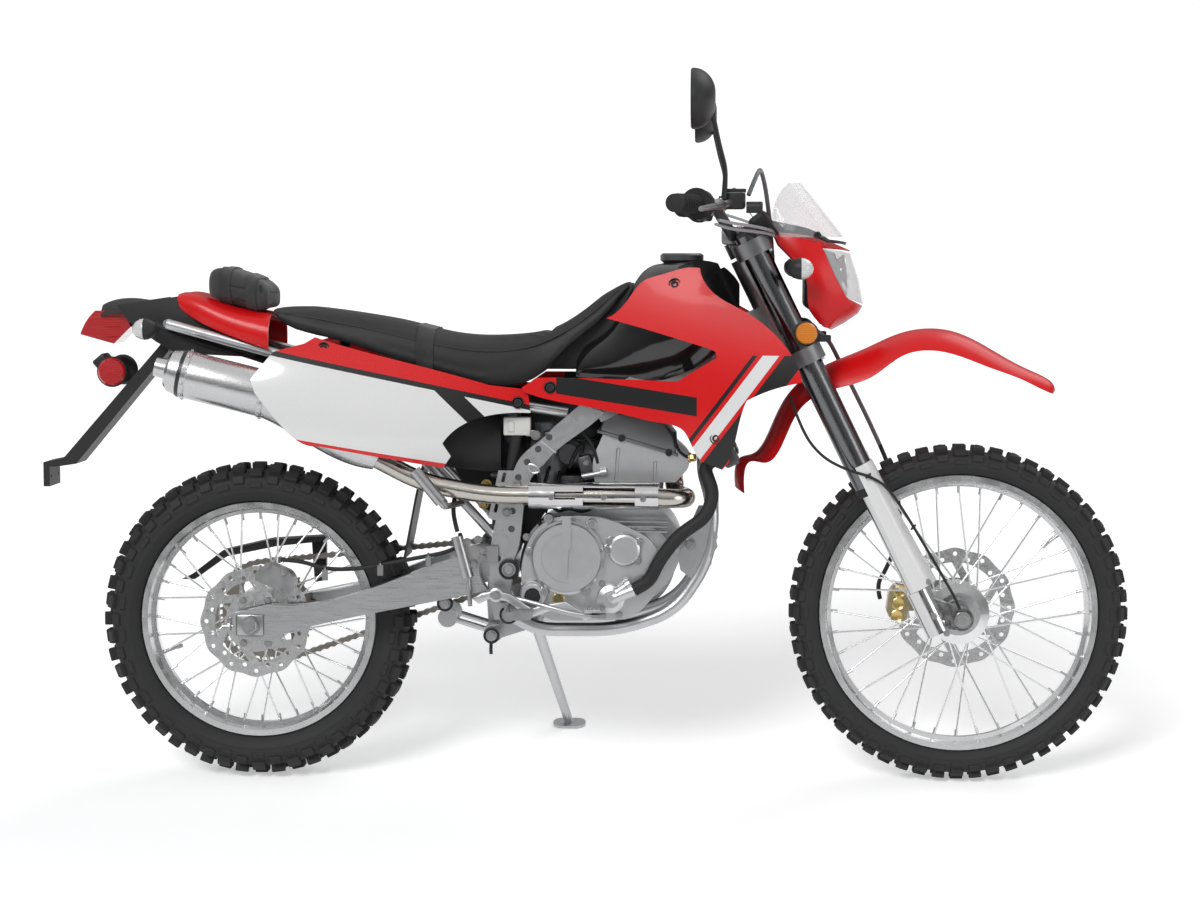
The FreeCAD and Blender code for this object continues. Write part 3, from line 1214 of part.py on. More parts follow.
def tail_lamp():
    """The tail and brake lamp under the end of the mudguard."""
    outline = placed_stretches(LAMP_SHARES, LAMP_X, LAMP_Z, LAMP_LENGTH, LAMP_HEIGHT * 0.8)
    lamp = curved_plate(outline, -LAMP_HALF_WIDTH, LAMP_HALF_WIDTH)
    return largest(lamp.cut(mudguard(REAR_FENDER_STATIONS, PANEL_WALL)))


SIGNAL_LENGTH = 72.0
SIGNAL_RADIUS = 22.0
REAR_SIGNAL_X = -209.0
REAR_SIGNAL_Y = 118.0
REAR_SIGNAL_Z = 920.0
FRONT_SIGNAL_X = 1103.0
FRONT_SIGNAL_Y = 168.0
FRONT_SIGNAL_Z = 1042.0
SIGNAL_STALK = 12.0


def signal_lamp(centre, inner_y, forward):
    """A turn signal: a teardrop body on a stalk."""
    half = SIGNAL_LENGTH / 2
    profile = [(-half, 0), (-half, SIGNAL_RADIUS * 0.9), (0, SIGNAL_RADIUS),
               (half * 0.6, SIGNAL_RADIUS * 0.75), (half, SIGNAL_RADIUS * 0.3), (half, 0)]
    body = revolved(profile, centre, V(forward, 0, 0))
    stalk = rod(centre, V(centre.x, inner_y, centre.z), SIGNAL_STALK)
    return fused([body, stalk])


def rear_signals():
    lamp = signal_lamp(V(REAR_SIGNAL_X, REAR_SIGNAL_Y, REAR_SIGNAL_Z),
                       REAR_FENDER_STATIONS[2][3] + SEAT_GAP, 1)
    return Part.Compound(both_sides(lamp))


def front_signals():
    lamp = signal_lamp(V(FRONT_SIGNAL_X, FRONT_SIGNAL_Y, FRONT_SIGNAL_Z), FRONT_COWL_WIDTH, -1)
    return Part.Compound(both_sides(lamp))


PLATE_HALF_WIDTH = 42.0
BRACKET_WALL = 4.0
PLATE_BOLT_SPREAD = 60.0
PLATE_BOLT_DIAMETER = 7.0
BRACKET_X = -440.0
BRACKET_Z = 595.0
BRACKET_LENGTH = 262.0
BRACKET_HEIGHT = 292.0
BRACKET_SHARES = [
    (0.0, 0.0), (0.0, 0.17), (0.16, 0.2), (0.94, 1.0), (1.0, 1.0), (1.0, 0.95), (0.26, 0.16),
    (0.11, 0.14), (0.05, 0.14), (0.05, 0.0)]


def plate_bracket():
    """The arm that carries a registration plate, with its two plate holes."""
    arm = plate(placed(BRACKET_SHARES, BRACKET_X, BRACKET_Z, BRACKET_LENGTH, BRACKET_HEIGHT),
                -PLATE_HALF_WIDTH, PLATE_HALF_WIDTH)
    holes = []
    for side in (-1, 1):
        start = V(BRACKET_X - OVERRUN, side * PLATE_BOLT_SPREAD / 2, BRACKET_Z + BRACKET_HEIGHT * 0.07)
        holes.append(rod(start, start + V(OVERRUN * 2, 0, 0), PLATE_BOLT_DIAMETER))
    return arm.cut(holes)


BAG_STATIONS = [
    (-92.0, 986.0, 1030.0, 62.0), (-80.0, 980.0, 1040.0, 78.0), (0.0, 960.0, 1022.0, 84.0),
    (22.0, 956.0, 1012.0, 82.0), (36.0, 964.0, 1000.0, 74.0)]


def tool_bag():
    """The soft tool bag on the tail, as one plain solid."""
    return arch_loft(BAG_STATIONS, BOX_SHARES)


# Swingarm and rear suspension
ARM_INNER_Y = 86.0
ARM_THICKNESS = 32.0
ARM_X = -38.0
ARM_LENGTH = 590.0
ARM_Z = 289.0
ARM_HEIGHT = 186.0
ARM_SHARES = [
    [(0.0, 0.30)], [(0.14, 0.40)], [(0.68, 0.83), (0.86, 0.98), (0.95, 1.0)],
    [(1.0, 0.86), (0.99, 0.66)], [(0.86, 0.56), (0.68, 0.44), (0.16, 0.075)], [(0.14, 0.0)],
    [(0.0, 0.05)]]
ARM_BRACE_X = 382.0


def swingarm():
    """Two box arms, the brace ahead of the tyre and the pivot tube."""
    outline = placed_stretches(ARM_SHARES, ARM_X, ARM_Z, ARM_LENGTH, ARM_HEIGHT)
    outer = ARM_INNER_Y + ARM_THICKNESS
    side = curved_plate(outline, ARM_INNER_Y, outer)
    pivot_room = cross_rod(PIVOT_X, PIVOT_Z, SPAR_HALF_SPREAD - SPAR_THICKNESS / 2 - RUNNING_GAP,
                           outer, SPAR_THICKNESS * 4)
    side = side.cut(pivot_room)
    inner = SPAR_HALF_SPREAD - SPAR_THICKNESS / 2 - RUNNING_GAP
    boss = cross_rod(PIVOT_X, PIVOT_Z, -inner, inner, PIVOT_DIAMETER * 2.1)
    link_x = PIVOT_X - SPAR_THICKNESS * 3
    points = [(link_x, PIVOT_Z + PIVOT_DIAMETER), (PIVOT_X, PIVOT_Z + PIVOT_DIAMETER),
              (PIVOT_X, PIVOT_Z - PIVOT_DIAMETER), (link_x, PIVOT_Z - PIVOT_DIAMETER * 2)]
    link = plate(points, ARM_INNER_Y - SPAR_THICKNESS, inner)
    knee = plate([(link_x, PIVOT_Z + PIVOT_DIAMETER * 0.9),
                  (link_x + SPAR_THICKNESS, PIVOT_Z + PIVOT_DIAMETER * 0.9),
                  (link_x + SPAR_THICKNESS, PIVOT_Z - PIVOT_DIAMETER * 1.2),
                  (link_x, PIVOT_Z - PIVOT_DIAMETER * 1.6)],
                 ARM_INNER_Y - SPAR_THICKNESS, ARM_INNER_Y + ARM_THICKNESS / 2)
    links = both_sides(link) + both_sides(knee)
    brace_low = ARM_Z + ARM_HEIGHT * 0.56
    brace = plate(
        [(ARM_BRACE_X, brace_low), (ARM_BRACE_X + SPAR_THICKNESS * 1.6, brace_low + RAIL_DIAMETER / 2),
         (ARM_BRACE_X + SPAR_THICKNESS * 1.6, brace_low + RAIL_DIAMETER * 2.4),
         (ARM_BRACE_X, brace_low + RAIL_DIAMETER * 2)], -ARM_INNER_Y - RUNNING_GAP,
        ARM_INNER_Y + RUNNING_GAP)
    cuts = [cross_rod(PIVOT_X, PIVOT_Z, -outer * 2, outer * 2, PIVOT_DIAMETER + SEAT_GAP),
            cross_rod(0, REAR_TYRE_RADIUS, -outer * 2, outer * 2, AXLE_DIAMETER)]
    return fused(both_sides(side) + [boss, brace] + links).cut(cuts)


REAR_AXLE_REACH = 132.0


def rear_axle():
    """The rear axle with its nut and the spacers beside the hub."""
    nut = AXLE_DIAMETER * 1.6
    arm_face = ARM_INNER_Y + ARM_THICKNESS
    bar = cross_rod(0, REAR_TYRE_RADIUS, -REAR_AXLE_REACH, REAR_AXLE_REACH, AXLE_DIAMETER)
    heads = []
    spacers = []
    for side in (-1, 1):
        low = min(side * (arm_face + SEAT_GAP), side * REAR_AXLE_REACH)
        high = max(side * (arm_face + SEAT_GAP), side * REAR_AXLE_REACH)
        heads.append(cross_rod(0, REAR_TYRE_RADIUS, low, high, nut))
        seat_reach = REAR_SEATS[0 if side < 0 else 1][1]
        near = side * (seat_reach + SEAT_GAP)
        far = side * (ARM_INNER_Y - SEAT_GAP)
        spacers.append(cross_rod(0, REAR_TYRE_RADIUS, min(near, far), max(near, far),
                                 AXLE_DIAMETER * 1.5))
    return fused([bar] + heads + spacers)


def pivot_shaft():
    """The shaft of the swingarm, with a head on each side."""
    outer = SPAR_HALF_SPREAD + SPAR_THICKNESS / 2
    reach = outer + PIVOT_DIAMETER * 0.4
    bar = cross_rod(PIVOT_X, PIVOT_Z, -reach, reach, PIVOT_DIAMETER - SEAT_GAP)
    heads = []
    for side in (-1, 1):
        low = min(side * (outer + SEAT_GAP), side * reach)
        high = max(side * (outer + SEAT_GAP), side * reach)
        heads.append(cross_rod(PIVOT_X, PIVOT_Z, low, high, PIVOT_DIAMETER * 1.5))
    return fused([bar] + heads)


SHOCK_PIN_DIAMETER = 14.0
SHOCK_TOP = V(524.0, 0, 770.0)
SHOCK_LOW = V(480.0, 0, 386.0)
SPRING_DIAMETER = 66.0


def shock_absorber():
    """The single rear spring and damper behind the engine."""
    run = SHOCK_TOP - SHOCK_LOW
    spring_low = SHOCK_LOW + run * 0.26
    spring_high = SHOCK_LOW + run * 0.8
    eye_half = SPRING_DIAMETER * 0.2
    eye = cross_rod(SHOCK_TOP.x, SHOCK_TOP.z, -eye_half, eye_half, SHOCK_PIN_DIAMETER * 2.4)
    pin_room = cross_rod(SHOCK_TOP.x, SHOCK_TOP.z, -eye_half, eye_half,
                         SHOCK_PIN_DIAMETER + SEAT_GAP)
    pieces = [rod(SHOCK_LOW, SHOCK_TOP, SPRING_DIAMETER * 0.4), eye,
              rod(spring_low, spring_high, SPRING_DIAMETER * 0.52),
              rod(spring_low, spring_low + run * 0.03, SPRING_DIAMETER),
              rod(spring_high - run * 0.03, spring_high, SPRING_DIAMETER)]
    return fused(pieces + spring_coil(spring_low, spring_high)).cut(pin_room)


SPRING_TURNS = 7
SPRING_WIRE = 11.0


def spring_coil(low, high):
    """The coils of the spring, each drawn as a flat ring on the spring's core."""
    step = (high - low) / (SPRING_TURNS + 1)
    lift = V(step)
    lift.normalize()
    return [rod(low + step * (turn + 1) - lift * (SPRING_WIRE / 2),
                low + step * (turn + 1) + lift * (SPRING_WIRE / 2), SPRING_DIAMETER * 0.96)
            for turn in range(SPRING_TURNS)]


LINK_REAR = V(392.0, 96.0, 367.0)
LINK_FRONT = V(486.0, 96.0, 302.0)
LINK_EYE = 40.0
LINK_INSET_SHARE = 0.5
LINK_THICKNESS = 12.0


def linkage():
    """The tie rods and rocker under the shock absorber."""
    low = -LINK_THICKNESS / 2
    pieces = []
    for side in (-1, 1):
        rear = V(LINK_REAR.x, side * LINK_REAR.y * LINK_INSET_SHARE, LINK_REAR.z - LINK_EYE * 0.9)
        front = V(LINK_FRONT.x, side * LINK_FRONT.y * LINK_INSET_SHARE, LINK_FRONT.z)
        eye_rear = cross_rod(rear.x, rear.z, rear.y + low, rear.y - low, LINK_EYE)
        eye_front = cross_rod(front.x, front.z, front.y + low, front.y - low, LINK_EYE)
        bar = rod(rear, front, LINK_THICKNESS)
        pieces += [eye_rear, eye_front, bar]
    reach = LINK_FRONT.y * LINK_INSET_SHARE + LINK_THICKNESS * 1.2
    cross = cross_rod(LINK_FRONT.x, LINK_FRONT.z, -reach, reach, LINK_THICKNESS)
    rocker = plate([(LINK_FRONT.x - LINK_THICKNESS, LINK_FRONT.z - LINK_THICKNESS),
                    (LINK_FRONT.x + LINK_THICKNESS, LINK_FRONT.z - LINK_THICKNESS),
                    (SHOCK_LOW.x + LINK_THICKNESS, SHOCK_LOW.z),
                    (SHOCK_LOW.x - LINK_THICKNESS, SHOCK_LOW.z)], low * 3, -low * 3)
    rocker = rocker.cut(rod(SHOCK_LOW, SHOCK_TOP, SPRING_DIAMETER * 0.4 + SEAT_GAP * 2))
    return fused(pieces + [cross, rocker])


GUARD_WALL = 3.0
GUARD_X = -178.0
GUARD_LENGTH = 306.0
GUARD_Z = 384.0
GUARD_HEIGHT = 100.0
GUARD_SHARES = [
    (0.0, 0.08), (0.06, 0.16), (0.28, 0.68), (0.61, 0.92), (1.0, 1.0), (1.0, 0.9), (0.65, 0.78),
    (0.31, 0.56), (0.09, 0.08)]
GUARD_FOOT_SHARES = [(0.88, 0.95), (0.98, 0.98), (0.98, 0.04), (0.9, 0.0)]


def chain_guard():
    """The guard above the chain and the foot that holds it on the arm."""
    top = placed(GUARD_SHARES, GUARD_X, GUARD_Z, GUARD_LENGTH, GUARD_HEIGHT)
    inner = CHAIN_LINE - CHAIN_HALF_WIDTH - GUARD_WALL
    outer = ARM_INNER_Y + ARM_THICKNESS * 0.6
    guard = plate(top, inner, outer)
    foot = plate(placed(GUARD_FOOT_SHARES, GUARD_X, GUARD_Z, GUARD_LENGTH, GUARD_HEIGHT),
                 ARM_INNER_Y + SEAT_GAP * 6, outer)
    return fused([guard, foot])


CALIPER_WALL = 6.0
REAR_CALIPER_X = 46.0
REAR_CALIPER_Z = 430.0
REAR_CALIPER_TURN = 24.0
FRONT_CALIPER_TURN = -82.0
FRONT_CALIPER_BEARING = 175.0
CALIPER_LENGTH = 84.0
CALIPER_HEIGHT = 44.0
CALIPER_HALF_WIDTH = 20.0
CALIPER_SHARES = [
    [(0.1, 0.75), (0.3, 1.0)], [(0.7, 1.0)], [(0.9, 0.8), (1.0, 0.3)], [(0.94, 0.0)],
    [(0.06, 0.0)], [(0.0, 0.2)]]


def caliper(centre, disc_y, turn):
    """A brake caliper that straddles its disc."""
    outline = placed_stretches(CALIPER_SHARES, -CALIPER_LENGTH / 2, -CALIPER_HEIGHT / 2,
                               CALIPER_LENGTH, CALIPER_HEIGHT)
    body = curved_plate(outline, -CALIPER_HALF_WIDTH, CALIPER_HALF_WIDTH)
    half_gap = DISC_THICKNESS / 2 + RUNNING_GAP
    slot = Part.makeBox(CALIPER_LENGTH * 1.2, half_gap * 2, CALIPER_HEIGHT * 0.75,
                        V(-CALIPER_LENGTH * 0.6, -half_gap, -CALIPER_HEIGHT / 2))
    body = body.cut(slot)
    body.Placement = FreeCAD.Placement(V(centre.x, disc_y, centre.z),
                                       FreeCAD.Rotation(V(0, 1, 0), turn))
    return body


def rear_caliper():
    """The rear caliper and the bracket that joins it to the arm."""
    return caliper(V(REAR_CALIPER_X, 0, REAR_CALIPER_Z - CALIPER_HEIGHT * 0.35), REAR_DISC_Y,
                   REAR_CALIPER_TURN)


FOOTREST_X = 548.0
FOOTREST_Z = 350.0
FOOTREST_START = 130.0
FOOTREST_END = 220.0
FOOTREST_WIDTH = 52.0
FOOTREST_HEIGHT = 16.0


def footrests():
    """The rider's two footrests and their brackets."""
    base = Part.makeBox(FOOTREST_WIDTH, FOOTREST_END - FOOTREST_START, FOOTREST_HEIGHT,
                        V(FOOTREST_X - FOOTREST_WIDTH / 2, FOOTREST_START, FOOTREST_Z))
    rear = FOOTREST_X - FOOTREST_WIDTH / 2
    front = CASE_X - CLEARANCE
    bracket = plate([(rear, FOOTREST_Z), (front, FOOTREST_Z),
                     (front, FOOTREST_Z + FOOTREST_HEIGHT), (rear, FOOTREST_Z + FOOTREST_HEIGHT * 1.4),
                     (rear - FOOTREST_HEIGHT, FOOTREST_Z + FOOTREST_HEIGHT * 1.4)],
                    SPAR_HALF_SPREAD + SPAR_THICKNESS / 2 + SEAT_GAP,
                    FOOTREST_START + RUNNING_GAP)
    teeth = []
    for index in range(FOOTREST_TEETH):
        y = FOOTREST_START + (FOOTREST_END - FOOTREST_START) * (index + 0.5) / FOOTREST_TEETH
        for x in (FOOTREST_X - FOOTREST_WIDTH / 2, FOOTREST_X + FOOTREST_WIDTH / 2 - GUARD_WALL):
            teeth.append(Part.makeBox(GUARD_WALL, FOOTREST_HEIGHT / 2, FOOTREST_HEIGHT / 4,
                                      V(x, y, FOOTREST_Z + FOOTREST_HEIGHT)))
    room = Part.makeBox(FOOTREST_WIDTH - GUARD_WALL * 4, FOOTREST_END - FOOTREST_START - OVERRUN,
                        FOOTREST_HEIGHT * 2, V(FOOTREST_X - FOOTREST_WIDTH / 2 + GUARD_WALL * 2,
                                               FOOTREST_START + OVERRUN * 0.8,
                                               FOOTREST_Z - FOOTREST_HEIGHT / 2))
    rider = fused([base, bracket] + teeth).cut(room)
    return Part.Compound(both_sides(rider) + both_sides(passenger_peg()))


FOOTREST_TEETH = 5
PEG_FOOT = V(400.0, 170.0, 570.0)
PEG_TIP = V(340.0, 170.0, 642.0)
PEG_DIAMETER = 24.0


def passenger_peg():
    """A passenger's footrest, folded up against its strut."""
    strut = STRUT_ROUTE[1] + (STRUT_ROUTE[0] - STRUT_ROUTE[1]) * 0.5
    run = PEG_TIP - PEG_FOOT
    body = rod(PEG_FOOT + run * 0.12, PEG_TIP, PEG_DIAMETER)
    fork_eye = rod(PEG_FOOT, PEG_FOOT + run * 0.2, PEG_DIAMETER * 0.6)
    arm = rod(V(strut.x, strut.y, strut.z), PEG_FOOT, PEG_DIAMETER * 0.5)
    room = bent_rod(STRUT_ROUTE, RAIL_DIAMETER * 0.85 + SEAT_GAP * 2)
    return largest(fused([body, fork_eye, arm]).cut(room))


PEDAL_DIAMETER = 11.0
PEDAL_ROUTE = [
    V(492.0, -124.0, 388.0), V(538.0, -142.0, 384.0), V(600.0, -160.0, 370.0),
    V(655.0, -166.0, 356.0), V(706.0, -166.0, 350.0)]
LEVER_ROUTE = [
    V(612.0, 134.0, 396.0), V(660.0, 152.0, 372.0), V(742.0, 160.0, 362.0)]


def foot_controls():
    """The brake pedal on the right and the gear lever on the left."""
    pedal = bent_rod(PEDAL_ROUTE, PEDAL_DIAMETER)
    pad = PEDAL_ROUTE[-1]
    pedal_pad = Part.makeBox(PEDAL_DIAMETER * 2.6, PEDAL_DIAMETER * 3, PEDAL_DIAMETER * 0.6,
                             pad - V(PEDAL_DIAMETER * 1.3, PEDAL_DIAMETER * 1.5, 0))
    lever = bent_rod(LEVER_ROUTE, PEDAL_DIAMETER * 0.9)
    tip = LEVER_ROUTE[-1]
    peg = cross_rod(tip.x, tip.z, tip.y - PEDAL_DIAMETER, tip.y + PEDAL_DIAMETER * 2,
                    PEDAL_DIAMETER * 1.5)
    outer = SPAR_HALF_SPREAD + SPAR_THICKNESS / 2 + SEAT_GAP
    root = PEDAL_ROUTE[0]
    pivot = cross_rod(root.x, root.z, root.y - PEDAL_DIAMETER, -outer, PEDAL_DIAMETER * 1.8)
    shaft_root = LEVER_ROUTE[0]
    shaft = cross_rod(shaft_root.x, shaft_root.z, CASE_HALF_WIDTH * CORE_SHARE + SEAT_GAP,
                      shaft_root.y + PEDAL_DIAMETER, PEDAL_DIAMETER * 1.3)
    return Part.Compound([fused([pedal, pedal_pad, pivot]), fused([lever, peg, shaft])])


MASTER_TOP = V(420.0, -132.0, 506.0)
MASTER_LOW = V(442.0, -132.0, 424.0)
MASTER_ROD_END = V(446.0, -132.0, 366.0)
MASTER_DIAMETER = 24.0
MASTER_ROD_DIAMETER = 9.0
MASTER_PLATE_X = 424.0
MASTER_PLATE_LENGTH = 78.0
MASTER_PLATE_Z = 452.0
MASTER_PLATE_HEIGHT = 34.0


def rear_master_cylinder():
    """The rear brake master cylinder on its plate beside the pivot."""
    body = rod(MASTER_TOP, MASTER_LOW, MASTER_DIAMETER)
    push_rod = rod(MASTER_LOW, MASTER_ROD_END, MASTER_ROD_DIAMETER)
    spar_face = SPAR_HALF_SPREAD + SPAR_THICKNESS / 2 + SEAT_GAP
    plate_face = ARM_INNER_Y + ARM_THICKNESS + RUNNING_GAP
    corners = [(MASTER_PLATE_X, MASTER_PLATE_Z),
               (MASTER_PLATE_X + MASTER_PLATE_LENGTH, MASTER_PLATE_Z),
               (MASTER_PLATE_X + MASTER_PLATE_LENGTH, MASTER_PLATE_Z + MASTER_PLATE_HEIGHT),
               (MASTER_PLATE_X, MASTER_PLATE_Z + MASTER_PLATE_HEIGHT)]
    wall = plate(corners, -plate_face - BRACKET_WALL, -plate_face)
    boss = cross_rod(MASTER_PLATE_X + MASTER_PLATE_LENGTH * 0.88,
                     MASTER_PLATE_Z + MASTER_PLATE_HEIGHT / 2, -plate_face - BRACKET_WALL / 2,
                     -spar_face, MASTER_PLATE_HEIGHT * 0.4)
    return fused([body, push_rod, wall, boss])


# Fork
def clamp_plate(z, wall):
    """A fork clamp: bosses round both legs and the stem, joined by a bridge."""
    half = CLAMP_HEIGHT / 2
    pieces = []
    cuts = []
    centre = on_axis(z)
    for side in (-1, 1):
        leg = on_leg(z, side)
        pieces.append(rod(leg - AXIS_UP * half, leg + AXIS_UP * half, OUTER_TUBE_DIAMETER + wall * 2))
        cuts.append(rod(leg - AXIS_UP * CLAMP_HEIGHT, leg + AXIS_UP * CLAMP_HEIGHT,
                        OUTER_TUBE_DIAMETER + SEAT_GAP * 2))
    bridge = Part.makeBox(OUTER_TUBE_DIAMETER, FORK_HALF_SPREAD * 2, CLAMP_HEIGHT * 0.7)
    bridge.translate(V(-OUTER_TUBE_DIAMETER / 2, -FORK_HALF_SPREAD, -half))
    bridge.Placement = FreeCAD.Placement(
        centre + AXIS_FORWARD * (FORK_LEAD / 2), FreeCAD.Rotation(V(0, 1, 0), -RAKE)
        ).multiply(bridge.Placement)
    pieces.append(bridge)
    pieces.append(rod(centre - AXIS_UP * half, centre + AXIS_UP * half, STEM_DIAMETER * 1.7))
    return fused(pieces).cut(cuts)


def triple_clamps():
    """The upper and lower fork clamps and the steering stem."""
    lower = clamp_plate(LOWER_CLAMP_Z, CLAMP_WALL)
    upper = clamp_plate(UPPER_CLAMP_Z, CLAMP_WALL)
    stem = rod(on_axis(LOWER_CLAMP_Z), on_axis(UPPER_CLAMP_Z), STEM_DIAMETER)
    posts = []
    seat_low = on_axis(UPPER_CLAMP_Z) + AXIS_UP * (CLAMP_HEIGHT * 0.2)
    for side in (-1, 1):
        y = side * STEM_DIAMETER * 1.2
        bar = V(BAR_CLAMP_X, y, BAR_CLAMP_Z)
        base = V(seat_low.x, y, seat_low.z) - AXIS_FORWARD * (STEM_DIAMETER * 0.2)
        block = rod(bar - V(0, CLAMP_WALL * 1.3, 0), bar + V(0, CLAMP_WALL * 1.3, 0),
                    BAR_DIAMETER + CLAMP_WALL * 1.6)
        post = rod(base, bar, CLAMP_WALL * 2)
        posts += [block, post]
    bore = rod(V(BAR_CLAMP_X, -FORK_HALF_SPREAD, BAR_CLAMP_Z),
               V(BAR_CLAMP_X, FORK_HALF_SPREAD, BAR_CLAMP_Z), BAR_DIAMETER + SEAT_GAP * 2)
    return fused([lower, upper, stem] + posts).cut(bore)


def fork_tubes():
    """The two outer tubes, clamped at two heights."""
    tubes = []
    for side in (-1, 1):
        low = on_leg(OUTER_TUBE_LOW_Z, side)
        high = on_leg(OUTER_TUBE_TOP_Z, side)
        tube = pipe(low, high - AXIS_UP * CLAMP_WALL, OUTER_TUBE_DIAMETER,
                    (OUTER_TUBE_DIAMETER - SLIDER_DIAMETER) / 2 - SEAT_GAP)
        cap = rod(high - AXIS_UP * CLAMP_WALL, high, OUTER_TUBE_DIAMETER * 0.96)
        tubes.append(fused([tube, cap]))
    return Part.Compound(tubes)


FOOT_HEIGHT = 96.0


def fork_sliders():
    """The inner tubes and the castings that hold the front axle."""
    legs = []
    for side in (-1, 1):
        foot_z = FRONT_TYRE_RADIUS - FOOT_HEIGHT * 0.3
        low = on_leg(foot_z, side)
        inside = on_leg(OUTER_TUBE_LOW_Z + OVERRUN * 4, side)
        tube = rod(low + AXIS_UP * (FOOT_HEIGHT * 0.5), inside, SLIDER_DIAMETER)
        boot = rod(low, low + AXIS_UP * FOOT_HEIGHT, SLIDER_DIAMETER * 1.18)
        eye = V(WHEELBASE, side * FORK_HALF_SPREAD, FRONT_TYRE_RADIUS)
        half = SLIDER_DIAMETER * 0.42
        lug = rod(eye - V(0, half, 0), eye + V(0, half, 0), AXLE_DIAMETER * 2.3)
        neck_root = low + AXIS_UP * (FOOT_HEIGHT * 0.42)
        neck = plate([(neck_root.x - RUNNING_GAP, neck_root.z - half * 1.3),
                      (eye.x, eye.z - AXLE_DIAMETER * 1.1),
                      (eye.x, eye.z + AXLE_DIAMETER * 1.1),
                      (neck_root.x - RUNNING_GAP, neck_root.z + half * 2)],
                     eye.y - half * 0.8, eye.y + half * 0.8)
        bore = rod(eye - V(0, half * 3, 0), eye + V(0, half * 3, 0), AXLE_DIAMETER)
        legs.append(fused([tube, boot, lug, neck]).cut(bore))
    return Part.Compound(legs)


FRONT_AXLE_REACH = 124.0


def front_axle():
    """The front axle and its spacers."""
    y = FRONT_AXLE_REACH
    bar = cross_rod(WHEELBASE, FRONT_TYRE_RADIUS, -y, y, AXLE_DIAMETER)
    half = SLIDER_DIAMETER * 0.42
    spacers = []
    for side in (-1, 1):
        near = side * (FRONT_SEATS[0 if side < 0 else 1][1] + SEAT_GAP)
        far = side * (FORK_HALF_SPREAD - half - SEAT_GAP)
        spacers.append(cross_rod(WHEELBASE, FRONT_TYRE_RADIUS, min(near, far), max(near, far),
                                 AXLE_DIAMETER * 1.5))
    return fused([bar] + spacers)


GUARD_LEVELS = [(650.0, 31.0), (560.0, 33.0), (480.0, 37.0), (404.0, 42.0)]
GUARD_INNER_ANGLE = 50.0
GUARD_OUTER_ANGLE = 105.0


def guard_ring(z, side, radius):
    """A thin arc round the front and outside of a leg."""
    centre = on_leg(z, side)
    rims = []
    for reach, angles in (
            (radius, (-GUARD_INNER_ANGLE, 0.0, GUARD_OUTER_ANGLE)),
            (radius - GUARD_WALL, (GUARD_OUTER_ANGLE, 0.0, -GUARD_INNER_ANGLE))):
        rim = []
        for degrees in angles:
            angle = math.radians(degrees)
            rim.append(centre + AXIS_FORWARD * (reach * math.cos(angle))
                       + V(0, side * reach * math.sin(angle), 0))
        rims.append(rim)
    outer, inner = rims
    return Part.Wire([
        Part.Arc(*outer).toShape(), Part.makeLine(outer[-1], inner[0]),
        Part.Arc(*inner).toShape(), Part.makeLine(inner[-1], outer[0])])


def fork_guards():
    """The guards in front of the sliders, widening towards the axle."""
    guards = []
    for side in (-1, 1):
        wires = [guard_ring(z, side, radius) for z, radius in GUARD_LEVELS]
        guards.append(Part.makeLoft(wires, True, False))
    return Part.Compound(guards)


def front_caliper():
    """The front caliper behind the left leg, with the lug that joins it to the leg."""
    reach = FRONT_DISC_RADIUS - CALIPER_HEIGHT * 0.15
    angle = math.radians(FRONT_CALIPER_BEARING)
    centre = FRONT_AXLE + V(reach * math.cos(angle), 0, reach * math.sin(angle))
    body = caliper(centre, FRONT_DISC_Y, FRONT_CALIPER_TURN)
    leg = on_leg(centre.z, 1)
    lug = plate([(centre.x, centre.z - OVERRUN / 2), (leg.x, leg.z - OVERRUN / 2),
                 (leg.x, leg.z + OVERRUN / 4), (centre.x, centre.z + OVERRUN / 4)],
                FRONT_DISC_Y + CALIPER_HALF_WIDTH * 0.7, FRONT_DISC_Y + CALIPER_HALF_WIDTH + CALIPER_WALL)
    room = rod(on_leg(OUTER_TUBE_LOW_Z, 1), on_leg(FRONT_TYRE_RADIUS - FOOT_HEIGHT, 1),
               SLIDER_DIAMETER * 1.18 + SEAT_GAP * 2)
    return solids_of(fused([body, lug]).cut(room))


BAR_CENTRE_SPREAD = 96.0
BAR_BEND_SPREAD = 184.0
BAR_BEND_X = 933.0


def bar_route(side):
    return [
        V(BAR_CLAMP_X, 0, BAR_CLAMP_Z), V(BAR_CLAMP_X, side * BAR_CENTRE_SPREAD, BAR_CLAMP_Z),
        V(BAR_BEND_X, side * BAR_BEND_SPREAD, BAR_END_Z),
        V(BAR_END_X, side * BAR_HALF_WIDTH, BAR_END_Z)]


def handlebar():
    """The handlebar with its rise and back sweep."""
    right = bar_route(-1)
    left = bar_route(1)
    route = right[:0:-1] + left[1:]
    return bent_rod(route, BAR_DIAMETER, 0.3)


GRIP_LENGTH = 120.0
GRIP_FLANGE = 52.0


def grips():
    """The rubber grips on both ends of the bar."""
    found = []
    for side in (-1, 1):
        end = bar_route(side)[-1]
        inward = bar_route(side)[-2] - end
        inward.normalize()
        hand = rod(end - inward * GUARD_WALL, end + inward * GRIP_LENGTH, GRIP_DIAMETER)
        flange = rod(end + inward * GRIP_LENGTH, end + inward * (GRIP_LENGTH + GUARD_WALL),
                     GRIP_FLANGE)
        bore = rod(end, end + inward * (GRIP_LENGTH + OVERRUN), BAR_DIAMETER + SEAT_GAP * 2)
        found.append(fused([hand, flange]).cut(bore))
    return Part.Compound(found)


